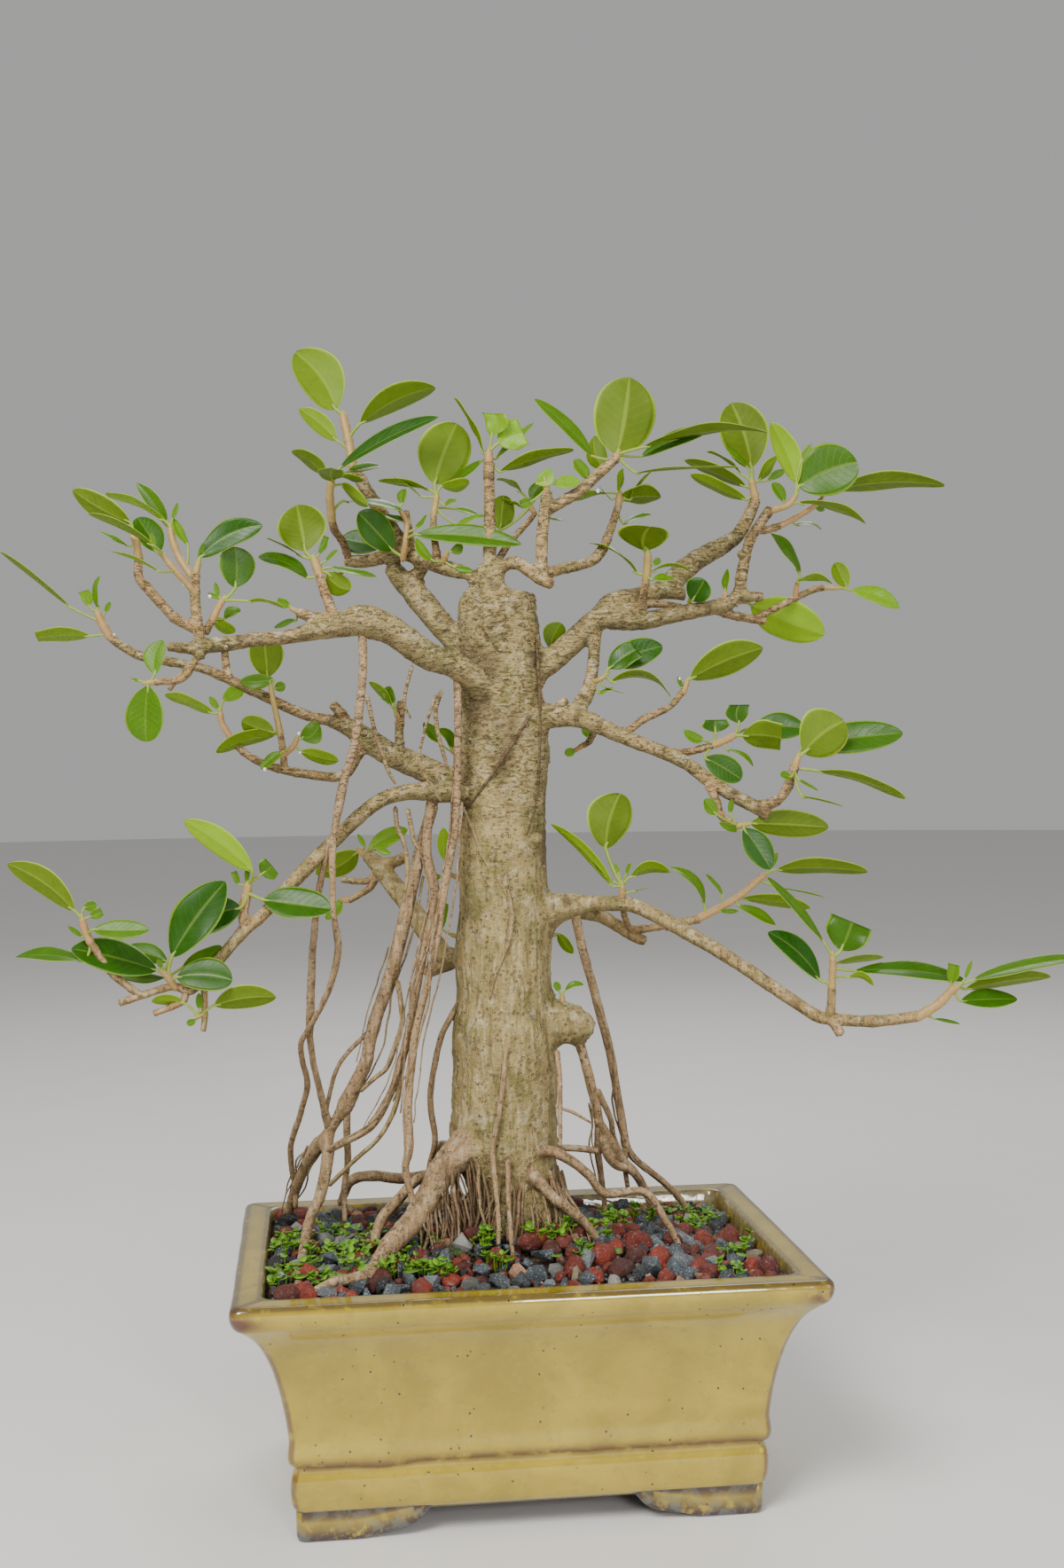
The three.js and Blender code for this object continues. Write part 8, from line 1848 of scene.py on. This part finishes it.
def stone():
    """Gravel in the colour of each stone, worn and damp in places."""
    look = Look("stone")
    speckle = look.extra
    dots = look.cells(0.9)
    dark = look.times(look.band(dots, 0.42, 0.25), speckle)
    light = look.times(look.band(look.clouds(0.9, 3), 0.56, 0.66), speckle)
    look.colour = look.mix(look.times(dark, 0.75), look.data, (0.028, 0.03, 0.035))
    look.paint(light, 0.6, (0.5, 0.53, 0.55))
    wear_and_hollow_shade = look.band(look.clouds(3, 4), 0.56, 0.72)
    look.paint(wear_and_hollow_shade, 0.35, look.mix(0.5, look.data, (0.55, 0.56, 0.55)))
    damp = look.band(look.clouds(26, 2), 0.42, 0.6)
    look.paint(damp, 0.5, (0.02, 0.018, 0.014))
    normal = look.bump(look.clouds(0.9, 5, rough=0.7), 0.7)
    return look.finish(0.7, normal, Specular_IOR_Level=0.4)


def earth():
    """The dark crumbs between the stones."""
    look = Look("earth")
    crumbs = look.clouds(2.4, 5, rough=0.7)
    look.colour = look.mix(crumbs, (0.012, 0.008, 0.005), (0.085, 0.055, 0.035))
    look.lay(look.band(look.cells(3.5), 0.3, 0.15), (0.14, 0.09, 0.06))
    normal = look.bump(look.plus(crumbs, look.cells(2.2)), 1.2)
    return look.finish(0.92, normal, Specular_IOR_Level=0.2)


def weed_green():
    """Fresh green of the seedlings."""
    look = Look("weed_green")
    _, _, tone = look.split(look.data)
    look.colour = look.mix(tone, (0.025, 0.115, 0.002), (0.13, 0.31, 0.006))
    look.lay(look.band(look.clouds(0.8, 2), 0.4, 0.7, 0, 0.3), (0.36, 0.56, 0.03))
    return look.finish(0.42, look.bump(look.clouds(0.7, 2), 0.08), Specular_IOR_Level=0.5)


def moss_green():
    """Dull dark green of the moss."""
    look = Look("moss_green")
    _, _, tone = look.split(look.data)
    look.colour = look.mix(tone, (0.012, 0.022, 0.006), (0.045, 0.065, 0.012))
    look.lay(look.band(look.clouds(0.7, 3), 0.5, 0.7), (0.09, 0.12, 0.025))
    return look.finish(0.85, look.bump(look.clouds(0.6, 4, rough=0.7), 0.6))


def glaze():
    """Mottled yellow glaze, thin and brown on edges, over dark clay."""
    look = Look("glaze")
    edge, rim, inner = look.split(look.data)
    pool = look.clouds(34, 4, distort=0.6)
    fine = look.clouds(3.5, 4)
    look.colour = look.mix(look.band(pool, 0.28, 0.72), (0.295, 0.214, 0.010), (0.425, 0.310, 0.022))
    look.lay(look.band(fine, 0.5, 0.75, 0.0, 0.2), (0.50, 0.40, 0.09))
    dull = look.band(look.clouds(6, 5, rough=0.7), 0.54, 0.70, 0.0, 0.45)
    look.lay(dull, (0.20, 0.165, 0.030))
    thin = look.times(edge, look.band(look.clouds(9, 4), 0.24, 0.52))
    look.paint(thin, 0.92, (0.095, 0.030, 0.010))
    line = look.times(rim, look.band(look.clouds(7, 4), 0.22, 0.48))
    look.paint(line, 0.92, (0.045, 0.022, 0.008))
    pits = look.times(look.band(look.cells(6.5), 0.12, 0.07), look.band(look.clouds(30, 2), 0.38, 0.5))
    look.lay(pits, (0.03, 0.018, 0.01))
    bare = look.times(inner, look.band(look.clouds(7, 5, rough=0.7), 0.36, 0.48))
    raw = look.mix(look.band(look.clouds(5, 4), 0.45, 0.6), (0.032, 0.014, 0.010), (0.080, 0.085, 0.084))
    look.paint(bare, 0.9, raw)
    ripple = look.plus(look.clouds(12, 2), look.times(fine, 0.12))
    normal = look.bump(look.minus(ripple, look.times(pits, 0.4)), 0.35, 0.5)
    roughness = look.plus(look.band(fine, 0.3, 0.7, 0.08, 0.16), look.times(bare, 0.5))
    return look.finish(roughness, normal,
                       Specular_IOR_Level=0.6, Coat_Weight=0.8, Coat_Roughness=0.04)


def clay():
    """The unglazed underside."""
    look = Look("bare_clay")
    grain = look.clouds(1.5, 5, rough=0.7)
    look.colour = look.mix(grain, (0.09, 0.045, 0.025), (0.19, 0.11, 0.07))
    return look.finish(0.85, look.bump(grain, 0.3))


def screen_plastic():
    """Dark plastic of the drainage screens."""
    look = Look("screen_plastic")
    weave = look.cells(1.6)
    look.colour = look.mix(look.clouds(4, 3), (0.012, 0.014, 0.013), (0.03, 0.034, 0.03))
    return look.finish(0.55, look.bump(weave, 0.2))


def latex():
    """White latex."""
    look = Look("latex")
    look.colour = look.mix(look.clouds(1.0, 2), (0.82, 0.82, 0.78), (0.93, 0.93, 0.9))
    return look.finish(0.28, None, Specular_IOR_Level=0.5, Subsurface_Weight=0.2,
                       Subsurface_Radius=(0.001, 0.001, 0.001), Subsurface_Scale=1.0)


def pale_floor():
    """The floor, almost white."""
    look = Look("pale_floor")
    look.colour = look.mix(look.clouds(90, 2), (0.70, 0.69, 0.67), (0.74, 0.73, 0.71))
    return look.finish(0.8)


# Scene

def place_camera():
    """The camera where the photo was taken from."""
    forward = np.array([0, math.cos(PITCH), -math.sin(PITCH)])
    right = np.array([1.0, 0, 0])
    up = np.cross(right, forward)
    tilted_right = math.cos(ROLL) * right + math.sin(ROLL) * up
    tilted_up = -math.sin(ROLL) * right + math.cos(ROLL) * up
    camera = add_object("camera", bpy.data.cameras.new("camera"))
    camera.data.lens = LENS
    camera.data.sensor_width = 36
    camera.data.sensor_fit = "AUTO"
    camera.data.clip_start = 0.05
    matrix = Matrix([to_pot(*axis) for axis in (tilted_right, tilted_up, -forward)]).transposed().to_4x4()
    matrix.translation = Vector(EYE * MM)
    camera.matrix_world = matrix
    bpy.context.scene.camera = camera


def add_light(name, place, target, size, power, colour=(1, 1, 1)):
    """A rectangular lamp at a place, turned to a target."""
    light = bpy.data.lights.new(name, "AREA")
    light.shape = "RECTANGLE"
    light.size, light.size_y = size
    light.energy = power
    light.color = colour
    lamp = add_object(name, light)
    lamp.location = place
    lamp.visible_camera = False
    lamp.rotation_euler = (Vector(target) - Vector(place)).to_track_quat("-Z", "Y").to_euler()


def make_stage():
    """A plain pale floor, a pale sky and soft studio lamps."""
    form = bmesh.new()
    bmesh.ops.create_circle(form, cap_ends=True, segments=96, radius=9)
    floor = add_form("floor", form)
    floor.data.materials.append(pale_floor())
    world = bpy.data.worlds.new("studio")
    world.use_nodes = True
    back = world.node_tree.nodes["Background"]
    back.inputs["Color"].default_value = (0.80, 0.80, 0.79, 1)
    back.inputs["Strength"].default_value = 0.5
    bpy.context.scene.world = world
    middle = (0, 0, 0.3)
    add_light("key", (-0.9, -1.2, 1.7), middle, (0.9, 0.9), 54, (1, 0.98, 0.94))
    add_light("fill", (1.5, -1.3, 0.9), middle, (1.2, 1.2), 9)
    add_light("window", (0.38, -1.85, 0.75), (0, 0, 0.15), (0.32, 0.5), 15)
    add_light("rim", (0.4, 1.4, 1.6), middle, (1.2, 0.8), 13)


place_camera()
make_stage()

bark_look = bark()
upper_look, under_look, stem_look = leaf_upper(), leaf_under(), green_stem()
limbs = limb_samples()

make_pot(glaze(), clay())
make_bed(earth())
make_gravel(stone())
make_weeds(weed_green())
make_moss(moss_green())

wood = make_thick_wood(limbs, bark_look)
make_thin_wood(limbs, "twigs", lambda limb: limb in BRANCHES, bark_look)
make_thin_wood(limbs, "aerial_roots", lambda limb: limb not in BRANCHES, bark_look)
make_hair_roots(limbs, bark_look)
make_buds(limbs, wood, bark_look)

shoots = [make_shoot(name, table, upper_look, under_look, stem_look) for name, table in SHOOTS.items()]
make_latex(latex(), shoots)

plastic = screen_plastic()
for node in ("drainage_screen_left", "drainage_screen_right"):
    for material_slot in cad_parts[node].material_slots:
        material_slot.material = plastic
